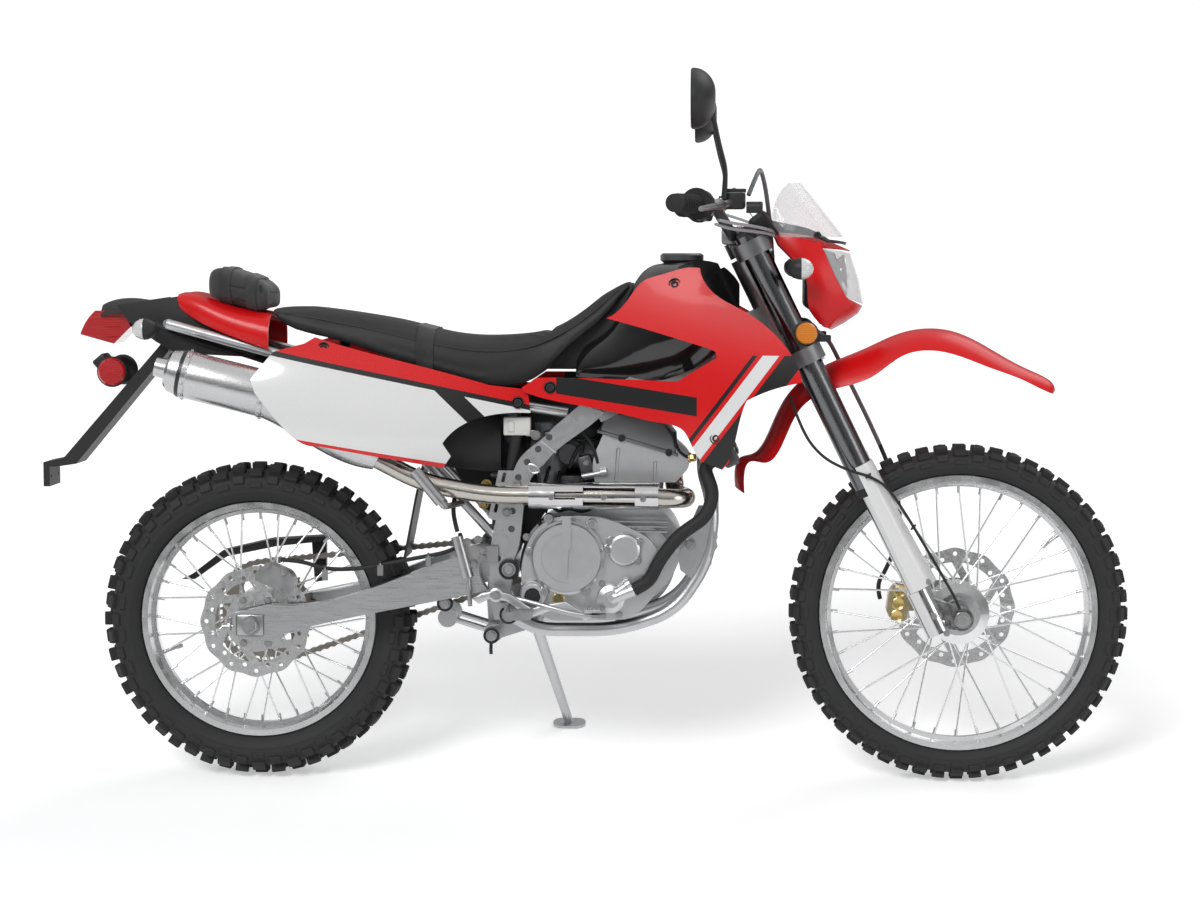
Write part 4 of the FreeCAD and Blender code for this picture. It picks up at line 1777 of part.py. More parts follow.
PERCH_WIDTH = 26.0
LEVER_ROOT_DIAMETER = 14.0
LEVER_TIP_DIAMETER = 10.0
RESERVOIR_LENGTH = 42.0
RESERVOIR_WIDTH = 62.0
RESERVOIR_HEIGHT = 36.0
RESERVOIR_ROUND = 6.0
RESERVOIR_FOOT = V(20.0, 46.0, -6.0)
RESERVOIR_NECK = V(18.0, 30.0, 6.0)


def levers():
    """The brake and clutch levers with their perches and the fluid reservoir."""
    found = []
    for side in (-1, 1):
        end = bar_route(side)[-1]
        inward = bar_route(side)[-2] - end
        inward.normalize()
        perch = end + inward * (GRIP_LENGTH + OVERRUN)
        clamp = rod(perch - inward * (PERCH_WIDTH / 2), perch + inward * (PERCH_WIDTH / 2),
                    BAR_DIAMETER + CLAMP_WALL * 1.4)
        front = perch + V(OVERRUN, 0, -SEAT_GAP)
        arm = rod(perch, front, PERCH_WIDTH * 0.8)
        tip = end + V(OVERRUN * 1.2, 0, -CLAMP_WALL)
        blade = rod(front, tip, LEVER_ROOT_DIAMETER, LEVER_TIP_DIAMETER)
        bore = rod(perch - inward * OVERRUN, perch + inward * OVERRUN, BAR_DIAMETER + SEAT_GAP * 2)
        pieces = [clamp, arm, blade]
        if side < 0:
            tank = Part.makeBox(RESERVOIR_LENGTH, RESERVOIR_WIDTH, RESERVOIR_HEIGHT,
                                V(-RESERVOIR_LENGTH / 2, -RESERVOIR_WIDTH / 2, 0))
            tank = tank.makeFillet(RESERVOIR_ROUND, tank.Edges)
            tank.translate(front + RESERVOIR_FOOT)
            pieces.append(rod(front, front + RESERVOIR_NECK, PERCH_WIDTH * 0.6))
            pieces.append(tank)
        found.append(fused(pieces).cut(bore))
    return Part.Compound(found)


MIRROR_X = 918.0
MIRROR_Y = 330.0
MIRROR_Z = 1365.0
MIRROR_DEPTH = 44.0
MIRROR_HALF_WIDTH = 68.0
MIRROR_HALF_HEIGHT = 58.0
MIRROR_STEM_DIAMETER = 10.0
MIRROR_STEM_RISE = V(4.0, 2.0, 54.0)
MIRROR_STEM_BEND = V(942.0, 296.0, 1280.0)
MIRROR_STEM_X = 930.0


def mirror_ring(x, share):
    """A rounded cross-section of the mirror shell at one depth."""
    points = []
    for index in range(12):
        angle = math.pi * index / 6
        wide = 1.0 + 0.12 * math.cos(2 * angle)
        points.append(V(x, MIRROR_Y + share * MIRROR_HALF_WIDTH * wide * math.cos(angle),
                        MIRROR_Z + share * MIRROR_HALF_HEIGHT * math.sin(angle)))
    return closed_curve(points)


def mirrors():
    """The two mirrors on their stems."""
    back = MIRROR_X - MIRROR_DEPTH * 0.6
    shell = Part.makeLoft([
        mirror_ring(back, 1.0), mirror_ring(back + MIRROR_DEPTH * 0.5, 0.9),
        mirror_ring(back + MIRROR_DEPTH * 0.9, 0.55), mirror_ring(back + MIRROR_DEPTH, 0.25)],
        True, False)
    end = bar_route(1)[-1]
    inward = bar_route(1)[-2] - end
    inward.normalize()
    perch = end + inward * (GRIP_LENGTH + OVERRUN)
    foot = perch + V(OVERRUN, 0, PERCH_WIDTH * 0.4 + SEAT_GAP)
    stem = bent_rod([foot, foot + MIRROR_STEM_RISE, MIRROR_STEM_BEND,
                     V(MIRROR_STEM_X, MIRROR_Y, MIRROR_Z - MIRROR_HALF_HEIGHT * 0.5)],
                    MIRROR_STEM_DIAMETER)
    return Part.Compound(both_sides(fused([shell, stem])))


FRONT_COWL_WIDTH = 112.0
FRONT_COWL_STATIONS = [
    (1062.0, 1030.0, 1108.0, 92.0), (1100.0, 985.0, 1103.0, 108.0),
    (1140.0, 940.0, 1096.0, 112.0), (1165.0, 918.0, 1090.0, 104.0),
    (1192.0, 940.0, 1078.0, 88.0), (1206.0, 962.0, 1060.0, 70.0)]
FRONT_COWL_SHARES = [(0.6, 0.0), (0.95, 0.18), (1.0, 0.55), (0.9, 0.86), (0.5, 0.98), (0.0, 1.0)]
BOWL_STATIONS = [
    (1130.0, 975.0, 1040.0, 34.0), (1176.0, 962.0, 1058.0, 66.0), (1204.0, 970.0, 1052.0, 58.0)]
LENS_STATIONS = [
    (1204.0, 972.0, 1056.0, 62.0), (1222.0, 978.0, 1040.0, 56.0), (1236.0, 986.0, 1016.0, 40.0)]


def headlight_cowl():
    """The cowl round the headlamp, open behind."""
    whole = arch_loft(FRONT_COWL_STATIONS, FRONT_COWL_SHARES)
    inner = [(x, low + PANEL_WALL, top - PANEL_WALL, half - PANEL_WALL)
             for x, low, top, half in FRONT_COWL_STATIONS]
    inner[0] = (inner[0][0] - PANEL_WALL,) + inner[0][1:]
    inner[-1] = (inner[-1][0] + PANEL_WALL,) + inner[-1][1:]
    return solids_of(whole.cut(arch_loft(inner, FRONT_COWL_SHARES)))


def headlight():
    """The headlamp with its domed lens."""
    lens = arch_loft(LENS_STATIONS, FRONT_COWL_SHARES)
    bowl = arch_loft(BOWL_STATIONS, FRONT_COWL_SHARES)
    return fused([lens, bowl])


SCREEN_LEVELS = [
    (1104.0, 1196.0, 1052.0, 92.0), (1150.0, 1160.0, 1050.0, 84.0),
    (1190.0, 1128.0, 1062.0, 66.0), (1214.0, 1108.0, 1082.0, 44.0)]
SCREEN_WALL = 3.5


def windscreen():
    """The small clear screen above the headlamp."""
    wires = []
    for z, front, back, half in SCREEN_LEVELS:
        outer = [V(back, -half, z), V(front, 0, z), V(back, half, z)]
        inner = [V(back, half - SCREEN_WALL, z), V(front - SCREEN_WALL, 0, z),
                 V(back, -half + SCREEN_WALL, z)]
        wires.append(Part.Wire([
            Part.Arc(*outer).toShape(), Part.makeLine(outer[-1], inner[0]),
            Part.Arc(*inner).toShape(), Part.makeLine(inner[-1], outer[0])]))
    return Part.makeLoft(wires, True, False)


FENDER_STATIONS = [
    (976.0, 598.0, 62.0, 54.0, 22.0), (1010.0, 664.0, 62.0, 62.0, 28.0),
    (1072.0, 770.0, 58.0, 66.0, 34.0), (1140.0, 836.0, 34.0, 68.0, 46.0),
    (1235.0, 878.0, 14.0, 86.0, 54.0), (1313.0, 912.0, -4.0, 82.0, 44.0),
    (1400.0, 918.0, -20.0, 78.0, 44.0), (1500.0, 874.0, -26.0, 66.0, 34.0),
    (1576.0, 834.0, -28.0, 48.0, 24.0), (1622.0, 796.0, -46.0, 22.0, 8.0)]


def front_fender():
    """The high front mudguard under the lower clamp."""
    return mudguard(FENDER_STATIONS, PANEL_WALL)


BRAKE_HOSE_DIAMETER = 9.0
BRAKE_HOSE_ROUTE = [
    V(1000.0, -190.0, 1186.0), V(1016.0, -160.0, 1226.0), V(1024.0, -112.0, 1240.0),
    V(1034.0, -64.0, 1206.0), V(1044.0, -22.0, 1140.0), V(1050.0, 18.0, 1070.0),
    V(1056.0, 44.0, 998.0), V(1084.0, 52.0, 942.0), V(1134.0, 52.0, 920.0),
    V(1168.0, 72.0, 894.0), V(1190.0, 100.0, 852.0), V(1218.0, 104.0, 796.0),
    V(1250.0, 104.0, 732.0), V(1276.0, 102.0, 676.0)]


def brake_hose():
    """The front brake hose, held along the fork."""
    return bent_rod(BRAKE_HOSE_ROUTE, BRAKE_HOSE_DIAMETER)


# Ground under the leaning machine
def tyre_touch(radius, half_width, rim_radius):
    """How far below its axle a leaned tyre reaches, and so meets the ground."""
    height = radius - rim_radius
    return max((rim_radius + b * height) * LEAN_COS + a * half_width * LEAN_SIN
               for a, b in TYRE_OUTER_SHARES)


REAR_TOUCH = tyre_touch(REAR_TYRE_RADIUS, REAR_TYRE_HALF_WIDTH, REAR_RIM_RADIUS)
FRONT_TOUCH = tyre_touch(FRONT_TYRE_RADIUS, FRONT_TYRE_HALF_WIDTH, FRONT_RIM_RADIUS)
REAR_LIFT = REAR_TOUCH - REAR_TYRE_RADIUS * LEAN_COS
FRONT_LIFT = FRONT_TOUCH - FRONT_TYRE_RADIUS * LEAN_COS
PITCH = math.degrees(math.atan((REAR_LIFT - FRONT_LIFT) / WHEELBASE))


def ground_height(x, y):
    """The height of the ground at a place beside the leaning machine, in its own frame."""
    lift = REAR_LIFT + (FRONT_LIFT - REAR_LIFT) * x / WHEELBASE
    return (y * LEAN_SIN - lift) / LEAN_COS


# Side stand
def stand_axis():
    """The tilted pivot of the stand, which brings its leg in beside the swingarm."""
    pivot = V(STAND_X, STAND_Y, STAND_Z)
    ground = V(STAND_FOOT_X, STAND_FOOT_Y, ground_height(STAND_FOOT_X, STAND_FOOT_Y))
    down = ground - pivot
    down.normalize()
    change = STAND_TUCKED - down
    change.normalize()
    axis = V(0, 1, 0) - change * change.y
    axis.normalize()
    return axis


def side_stand():
    """The side stand, swung out to the left with its foot on the ground."""
    pivot = V(STAND_X, STAND_Y, STAND_Z)
    axis = stand_axis()
    ground = V(STAND_FOOT_X, STAND_FOOT_Y, ground_height(STAND_FOOT_X, STAND_FOOT_Y))
    up = V(0, -LEAN_SIN, LEAN_COS)
    foot_top = ground + up * (STAND_FOOT_THICKNESS / 2)
    run = foot_top - pivot
    eye_half = STAND_LEG_DIAMETER / 3
    eye = rod(pivot - axis * eye_half, pivot + axis * eye_half, STAND_LEG_DIAMETER * 1.6)
    leg = rod(pivot + run * 0.04, foot_top, STAND_LEG_DIAMETER, STAND_LEG_DIAMETER * 0.8)
    half_length = STAND_FOOT_LENGTH / 2
    half_width = STAND_FOOT_WIDTH / 2
    foot = Part.makeBox(STAND_FOOT_LENGTH, STAND_FOOT_WIDTH, STAND_FOOT_THICKNESS,
                        V(-half_length, -half_width, 0))
    foot = foot.makeFillet(half_width * 0.8, long_edges(foot, V(0, 0, 1)))
    foot.Placement = FreeCAD.Placement(ground, FreeCAD.Rotation(V(0, 0, 1), up))
    below = Part.makeBox(STAND_FOOT_LENGTH * 2, STAND_FOOT_WIDTH * 2, STAND_LEG_DIAMETER,
                         V(-STAND_FOOT_LENGTH, -STAND_FOOT_WIDTH, -STAND_LEG_DIAMETER))
    below.Placement = foot.Placement
    inward = rod(pivot - axis * eye_half, pivot - axis * (eye_half + OVERRUN),
                 STAND_LEG_DIAMETER * 4)
    bore = rod(pivot - axis * OVERRUN, pivot + axis * OVERRUN, STAND_PIN_DIAMETER)
    return fused([eye, leg.cut([below, inward]), foot]).cut(bore)


def stand_bracket():
    """The lug on the frame that carries the side stand, with its pivot pin."""
    inner = SPAR_HALF_SPREAD + SPAR_THICKNESS / 2 + SEAT_GAP
    radius = STAND_LEG_DIAMETER * 0.7
    pivot = V(STAND_X, STAND_Y, STAND_Z)
    axis = stand_axis()
    eye_half = STAND_LEG_DIAMETER / 3
    arm = plate([(CRADLE_START.x - radius, CRADLE_START.z - radius),
                 (CRADLE_START.x + radius, CRADLE_START.z - CLEARANCE),
                 (STAND_X + radius, STAND_Z), (STAND_X, STAND_Z - radius),
                 (STAND_X - radius, STAND_Z)],
                inner, inner + STAND_BRACKET_WALL)
    root = pivot - axis * (STAND_Y - inner - SEAT_GAP)
    boss = rod(root, pivot - axis * (eye_half + SEAT_GAP), radius * 1.8)
    pin = rod(root, pivot + axis * (eye_half * 1.5), STAND_PIN_DIAMETER - SEAT_GAP * 2)
    frame_face = plate([(0, 0), (WHEELBASE, 0), (WHEELBASE, WHEELBASE), (0, WHEELBASE)],
                       0, inner)
    return solids_of(fused([arm, boss, pin]).cut(frame_face))


SPAR_TOOL = []
CRADLE_TOOL = []


def pieces():
    """Every node of the machine, upright, by name."""
    spars = frame_spars()
    SPAR_TOOL.append(spars)
    cradle = frame_cradle()
    CRADLE_TOOL.append(cradle)
    return {
        "frame_spars": spars, "frame_cradle": cradle, "subframe": subframe(),
        "engine_case": engine_case(), "engine_cylinder": engine_cylinder(),
        "engine_covers": engine_covers(), "carburettor": carburettor(), "airbox": airbox(),
        "radiators": radiators(), "coolant_hose": coolant_hose(),
        "exhaust_pipe": exhaust_pipe(), "heat_shield": heat_shield(), "silencer": silencer(),
        "fuel_tank": fuel_tank(), "fuel_cap": fuel_cap(), "seat": seat(),
        "shrouds": Part.Compound(both_sides(shroud())),
        "side_panels": Part.Compound(both_sides(side_panel())),
        "rear_cowl": rear_cowl(), "rear_fender": rear_fender(), "tail_lamp": tail_lamp(),
        "rear_signals": rear_signals(), "plate_bracket": plate_bracket(),
        "tool_bag": tool_bag(), "swingarm": swingarm(),
        "chassis_shafts": Part.Compound([rear_axle(), pivot_shaft()]),
        "shock_absorber": shock_absorber(), "linkage": linkage(),
        "chain": chain(), "chain_guard": chain_guard(), "rear_caliper": rear_caliper(),
        "footrests": footrests(),
        "foot_controls": Part.Compound([foot_controls(), rear_master_cylinder()]),
        "stand_bracket": stand_bracket(),
        "triple_clamps": triple_clamps(), "fork_tubes": fork_tubes(),
        "fork_sliders": fork_sliders(), "front_axle": front_axle(),
        "fork_guards": fork_guards(), "front_caliper": front_caliper(),
        "handlebar": handlebar(), "grips": grips(), "levers": levers(), "mirrors": mirrors(),
        "headlight_cowl": headlight_cowl(), "headlight": headlight(),
        "windscreen": windscreen(), "front_fender": front_fender(),
        "front_signals": front_signals(), "brake_hose": brake_hose(),
        "wheel_front": wheel(FRONT_AXLE, FRONT_RIM_RADIUS, RIM_HALF_WIDTH_FRONT,
                             FRONT_HUB_HALF_WIDTH, FRONT_SEATS),
        "tyre_front": tyre(FRONT_AXLE, FRONT_TYRE_RADIUS, FRONT_TYRE_HALF_WIDTH,
                           FRONT_RIM_RADIUS, RIM_HALF_WIDTH_FRONT, FRONT_PITCHES),
        "disc_front": wave_disc(FRONT_AXLE, FRONT_DISC_RADIUS, FRONT_DISC_Y, 6,
                                HUB_FLANGE_RADIUS),
        "wheel_rear": wheel(REAR_AXLE, REAR_RIM_RADIUS, RIM_HALF_WIDTH_REAR,
                            REAR_HUB_HALF_WIDTH, REAR_SEATS),
        "tyre_rear": tyre(REAR_AXLE, REAR_TYRE_RADIUS, REAR_TYRE_HALF_WIDTH,
                          REAR_RIM_RADIUS, RIM_HALF_WIDTH_REAR, REAR_PITCHES),
        "disc_rear": wave_disc(REAR_AXLE, REAR_DISC_RADIUS, REAR_DISC_Y, 6,
                               HUB_FLANGE_RADIUS),
        "sprocket_rear": sprocket(REAR_AXLE, CHAIN_LINE, REAR_TEETH, REAR_PITCH_RADIUS,
                                  HUB_BARREL_RADIUS + SEAT_GAP),
        "side_stand": side_stand(),
    }


def parked(shape):
    """Lean a piece to the left, down onto the ground."""
    moved = shape.copy()
    moved.rotate(V(0, 0, 0), V(1, 0, 0), -LEAN)
    moved.translate(V(0, 0, REAR_LIFT))
    moved.rotate(V(0, 0, 0), V(0, 1, 0), PITCH)
    return moved


def main():
    os.makedirs("parts", exist_ok=True)
    found = {name: parked(shape) for name, shape in pieces().items()}
    box = Part.Compound(list(found.values())).BoundBox
    middle = V((box.XMin + box.XMax) / 2, (box.YMin + box.YMax) / 2, 0)
    print("middle", middle)
    for name, shape in found.items():
        shape.translate(middle * -1)
        solid = solids_of(shape)
        print(name, "solids", len(solid.Solids), "valid", solid.isValid(),
              "volume", round(solid.Volume / 1000))
        solid.exportStep("parts/" + name + ".step")


main()
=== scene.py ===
"""Finishes and small parts for the parked dual sport motorcycle.

New pieces are drawn with the machine upright, in metres: X forward, Y to its left and Z up,
with the rear axle above the origin. Each is then leaned onto the side stand with the rest.
"""
import json
import math

import bpy
from mathutils import Matrix, Vector

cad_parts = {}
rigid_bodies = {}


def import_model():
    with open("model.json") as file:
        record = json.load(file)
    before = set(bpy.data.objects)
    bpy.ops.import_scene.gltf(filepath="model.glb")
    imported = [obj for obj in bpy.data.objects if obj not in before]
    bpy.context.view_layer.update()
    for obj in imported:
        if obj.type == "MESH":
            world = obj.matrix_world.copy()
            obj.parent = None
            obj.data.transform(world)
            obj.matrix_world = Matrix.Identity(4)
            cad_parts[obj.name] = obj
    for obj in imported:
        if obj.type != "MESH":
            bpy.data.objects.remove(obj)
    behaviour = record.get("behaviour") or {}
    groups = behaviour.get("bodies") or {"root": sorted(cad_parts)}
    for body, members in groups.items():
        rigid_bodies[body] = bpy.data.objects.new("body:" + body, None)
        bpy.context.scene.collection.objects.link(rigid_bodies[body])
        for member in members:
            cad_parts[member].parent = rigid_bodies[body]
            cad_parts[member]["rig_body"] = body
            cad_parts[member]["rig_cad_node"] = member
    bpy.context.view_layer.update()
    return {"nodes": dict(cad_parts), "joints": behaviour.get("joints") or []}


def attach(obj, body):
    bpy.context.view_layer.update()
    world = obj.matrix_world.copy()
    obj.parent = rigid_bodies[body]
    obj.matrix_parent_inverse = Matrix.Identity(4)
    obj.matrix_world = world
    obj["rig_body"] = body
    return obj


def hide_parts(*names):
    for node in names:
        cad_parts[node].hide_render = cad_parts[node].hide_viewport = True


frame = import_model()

bl_info = {
    "name": "Dual sport motorcycle",
    "version": (1, 0, 0),
    "blender": (4, 5, 0),
    "location": "View3D > Sidebar > Motorcycle",
    "description": "Tyres, seat, lamps, cables, fittings and finishes of a parked motorcycle",
    "category": "Object",
}

JOINTS = {joint["name"]: joint for joint in frame["joints"]}
LEAN = math.radians(10.0)
PITCH = math.radians(0.0334)
WHEELBASE = 1.430
REAR_RADIUS = 0.322
FRONT_RADIUS = 0.343
FRONT_HUB = (WHEELBASE, 0.0, FRONT_RADIUS)
REAR_HUB = (0.0, 0.0, REAR_RADIUS)
FRONT_RIM = 0.281
REAR_RIM = 0.2415
AHEAD = (1.0, 0.0, 0.0)
BACK = (-1.0, 0.0, 0.0)
RIGHT = (0.0, -1.0, 0.0)
LEFT = (0.0, 1.0, 0.0)
UP = (0.0, 0.0, 1.0)


def parked_matrix():
    """The turn and shift that lean the upright machine onto its stand."""
    turn = Matrix.Rotation(PITCH, 4, "Y") @ Matrix.Rotation(-LEAN, 4, "X")
    axle = Vector(JOINTS["rear_wheel_spin"]["pos_m"])
    return Matrix.Translation(axle - turn @ Vector((0.0, 0.0, REAR_RADIUS))) @ turn


PARKED = parked_matrix()
UPRIGHT = PARKED.inverted()


def mm(*values):
    """Millimetres to a vector in metres."""
    return Vector(values) * 0.001


def turn_about(axis, degrees):
    """The matrix of a turn about an axis of the machine."""
    return Matrix.Rotation(math.radians(degrees), 4, axis)


# Selection and placing
def clear_selection():
    active = bpy.context.view_layer.objects.active
    if active and active.mode != "OBJECT":
        bpy.ops.object.mode_set(mode="OBJECT")
    bpy.ops.object.select_all(action="DESELECT")


def take(piece):
    """Make one piece the only one selected."""
    clear_selection()
    piece.select_set(True)
    bpy.context.view_layer.objects.active = piece
    return piece


def bake_place(piece):
    take(piece)
    bpy.ops.object.transform_apply(location=True, rotation=True, scale=True)
    return piece


def set_place(piece, matrix):
    """Move a piece's mesh by a matrix and leave its object at the origin."""
    piece.matrix_world = matrix
    return bake_place(piece)


def shifted(piece, *place):
    """Move a piece to a place in millimetres."""
    return set_place(piece, Matrix.Translation(mm(*place)))


def aimed(piece, place, axis):
    """Stand a piece drawn along +Z at a place in millimetres, along an axis."""
    return set_place(piece, facing(mm(*place), axis))


def tilted(piece, place, degrees):
    """Tilt a piece about the Y axis and move it to a place in millimetres."""
    return set_place(piece, Matrix.Translation(mm(*place)) @ turn_about("Y", degrees))


def joined(pieces):
    if len(pieces) == 1:
        return pieces[0]
    take(pieces[0])
    for piece in pieces[1:]:
        piece.select_set(True)
    bpy.ops.object.join()
    return pieces[0]


def own_copy(piece):
    """A copy of a piece with a mesh of its own."""
    copy = piece.copy()
    copy.data = piece.data.copy()
    bpy.context.scene.collection.objects.link(copy)
    return copy


def repeated(piece, matrices):
    """One copy of a piece at each place."""
    copies = [set_place(own_copy(piece), matrix) for matrix in matrices]
    bpy.data.objects.remove(piece)
    return joined(copies)


def on_both_sides(piece):
    """A piece and its mirror image across the centre plane."""
    take(piece)
    bpy.ops.object.duplicate()
    other = bpy.context.active_object
    other.scale = (1.0, -1.0, 1.0)
    bake_place(other)
    tidy_normals(other)
    return joined([piece, other])


class Editing:
    """Edit mode for the active piece, with all of its mesh selected."""

    def __enter__(self):
        bpy.ops.object.mode_set(mode="EDIT")
        bpy.ops.mesh.select_all(action="SELECT")

    def __exit__(self, *problem):
        bpy.ops.object.mode_set(mode="OBJECT")


def tidy_normals(piece):
    take(piece)
    with Editing():
        bpy.ops.mesh.normals_make_consistent(inside=False)
    return piece


def mount(piece, name, body, finish, smooth=35.0):
    """Name a piece, or several as one, lean it, finish it and tie it to its body."""
    if isinstance(piece, list):
        piece = joined(piece)
    piece.name = name
    piece.data.name = name
    take(piece)
    bpy.ops.object.shade_smooth_by_angle(angle=math.radians(smooth))
    set_place(piece, PARKED)
    piece.data.materials.clear()
    piece.data.materials.append(coated(finish))
    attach(piece, body)
    return piece


def facing(centre, axis):
    """A matrix that stands a piece drawn along +Z along an axis instead."""
    turn = Vector(UP).rotation_difference(Vector(axis).normalized())
    return Matrix.Translation(centre) @ turn.to_matrix().to_4x4()


# Shapes, each started from a primitive and worked in edit mode
TIP_RADIUS = 1e-5


def turned(profile, steps=32):
    """A shape turned about +Z from a profile of (height, radius), in metres."""
    clear_selection()
    height, radius = profile[0]
    bpy.ops.mesh.primitive_circle_add(vertices=steps, radius=max(radius, TIP_RADIUS),
                                      fill_type="NGON", location=(0.0, 0.0, height))
    piece = bake_place(bpy.context.active_object)
    with Editing():
        for (low, before), (high, after) in zip(profile, profile[1:]):
            bpy.ops.mesh.extrude_region_move(
                TRANSFORM_OT_translate={"value": (0.0, 0.0, high - low)})
            share = max(after, TIP_RADIUS) / max(before, TIP_RADIUS)
            bpy.ops.transform.resize(value=(share, share, 1.0), center_override=(0.0, 0.0, high))
    return tidy_normals(piece)


def block(size, bevel=0.0, taper=1.0, segments=1):
    """A bevelled block about the origin, its top drawn in by a taper."""
    clear_selection()
    bpy.ops.mesh.primitive_cube_add(size=1.0, scale=size)
    piece = bake_place(bpy.context.active_object)
    if taper != 1.0:
        for vertex in piece.data.vertices:
            vertex.select = vertex.co.z > 0.0
        bpy.ops.object.mode_set(mode="EDIT")
        bpy.ops.mesh.select_mode(type="VERT")
        bpy.ops.transform.resize(value=(taper, taper, 1.0),
                                 center_override=(0.0, 0.0, size[2] / 2))
        bpy.ops.object.mode_set(mode="OBJECT")
    if bevel:
        with Editing():
            bpy.ops.mesh.bevel(offset=bevel, segments=segments, affect="EDGES")
    return piece


def ring(radius, thickness, steps, rim_steps):
    clear_selection()
    bpy.ops.mesh.primitive_torus_add(major_radius=radius, minor_radius=thickness,
                                     major_segments=steps, minor_segments=rim_steps)
    return bake_place(bpy.context.active_object)


def new_curve(points, cyclic=False, kind="NURBS"):
    clear_selection()
    bpy.ops.object.add(type="CURVE")
    line = bpy.context.active_object
    line.data.dimensions = "3D"
    spline = line.data.splines.new(kind)
    spline.points.add(len(points) - 1)
    for point, place in zip(spline.points, points):
        point.co = (*place, 1.0)
    spline.use_cyclic_u = cyclic
    if kind == "NURBS":
        spline.order_u = 3
        spline.use_endpoint_u = not cyclic
    return line


def meshed(line):
    """The mesh of a curve."""
    take(line)
    bpy.ops.object.convert(target="MESH")
    return bpy.context.active_object


def tube(points, diameter, roundness=2, cyclic=False, resolution=8):
    """A round cable or rod that follows a smooth curve."""
    line = new_curve(points, cyclic)
    line.data.bevel_depth = diameter / 2
    line.data.bevel_resolution = roundness
    line.data.use_fill_caps = True
    line.data.splines[0].resolution_u = resolution
    return meshed(line)


def hose(path, diameter, **options):
    """A tube through places in millimetres."""
    return tube([mm(*place) for place in path], diameter, **options)


def hoses(table):
    """Several tubes, each a diameter in metres and its path in millimetres."""
    return [hose(path, diameter) for diameter, path in table]


def cut_plate(points, thickness, edge):
    """A flat plate with a rounded edge about Y = 0, from (x, z) in millimetres."""
    line = new_curve([(x * 0.001, z * 0.001, 0.0) for x, z in points], cyclic=True, kind="POLY")
    line.data.dimensions = "2D"
    line.data.fill_mode = "BOTH"
    line.data.extrude = max(thickness / 2 - edge, 0.0)
    line.data.bevel_depth = edge
    line.data.bevel_resolution = 2
    line.data.offset = -edge
    piece = meshed(line)
    with Editing():
        bpy.ops.mesh.remove_doubles(threshold=1e-6)
    return set_place(piece, turn_about("X", 90.0))


def apply_all(piece):
    take(piece)
    for modifier in list(piece.modifiers):
        bpy.ops.object.modifier_apply(modifier=modifier.name)
    return piece


def walled(shell, thickness, offset=0.0):
    """Give a shell its wall, to both sides or outward."""
    take(shell)
    bpy.ops.object.modifier_add(type="SOLIDIFY")
    shell.modifiers[-1].thickness = thickness
    shell.modifiers[-1].offset = offset
    return apply_all(shell)


# Materials
def link(tree, source, output, target, socket):
    tree.links.new(source.outputs[output], target.inputs[socket])


def new_group(name, inputs, outputs):
    """A shader node group and its two ends: inputs with defaults, and number outputs."""
    group = bpy.data.node_groups.new(name, "ShaderNodeTree")
    for label, default in inputs.items():
        kind = "NodeSocketFloat" if isinstance(default, float) else "NodeSocketVector"
        socket = group.interface.new_socket(name=label, in_out="INPUT", socket_type=kind)
        if default is not None:
            socket.default_value = default
    for label in outputs:
        group.interface.new_socket(name=label, in_out="OUTPUT", socket_type="NodeSocketFloat")
    return group, group.nodes.new("NodeGroupInput"), group.nodes.new("NodeGroupOutput")


def maths(tree, operation, *sources):
    """A maths node, fed by pairs of a node and its output."""
    node = tree.nodes.new("ShaderNodeMath")
    node.operation = operation
    for socket, (source, output) in enumerate(sources):
        link(tree, source, output, node, socket)
    return node


def noise_node(tree, roughness, detail=None):
    node = tree.nodes.new("ShaderNodeTexNoise")
    node.inputs["Roughness"].default_value = roughness
    if detail is not None:
        node.inputs["Detail"].default_value = detail
    return node


def grain_group():
    """Fine grain: a value for colour and roughness, and a height."""
    group, start, end = new_group("fine_grain", {"Vector": None, "Scale": 400.0, "Detail": 3.0},
                                  ["Value", "Height"])
    noise = noise_node(group, 0.6)
    link(group, start, "Vector", noise, "Vector")
    link(group, start, "Scale", noise, "Scale")
    link(group, start, "Detail", noise, "Detail")
    link(group, noise, "Fac", end, "Value")
    link(group, noise, "Fac", end, "Height")
    return group


def wear_group():
    """Broad soft patches of dust and rubbing, from 0 to 1."""
    group, start, end = new_group("soft_wear", {"Vector": None, "Scale": 9.0, "Amount": 0.5},
                                  ["Mask"])
    noise = noise_node(group, 0.65, 6.0)
    ramp = group.nodes.new("ShaderNodeMapRange")
    ramp.inputs["From Min"].default_value = 0.42
    ramp.inputs["From Max"].default_value = 0.75
    link(group, start, "Vector", noise, "Vector")
    link(group, start, "Scale", noise, "Scale")
    link(group, noise, "Fac", ramp, "Value")
    link(group, start, "Amount", ramp, "To Max")
    link(group, ramp, "Result", end, "Mask")
    return group


def brushed_group():
    """Fine parallel scratches along one direction."""
    group, start, end = new_group("brushed_lines", {"Vector": None,
        "Across": (900.0, 900.0, 20.0)}, ["Value"])
    stretch = group.nodes.new("ShaderNodeVectorMath")
    stretch.operation = "MULTIPLY"
    noise = group.nodes.new("ShaderNodeTexNoise")
    noise.inputs["Scale"].default_value = 1.0
    noise.inputs["Detail"].default_value = 4.0
    link(group, start, "Vector", stretch, 0)
    link(group, start, "Across", stretch, 1)
    link(group, stretch, "Vector", noise, "Vector")
    link(group, noise, "Fac", end, "Value")
    return group


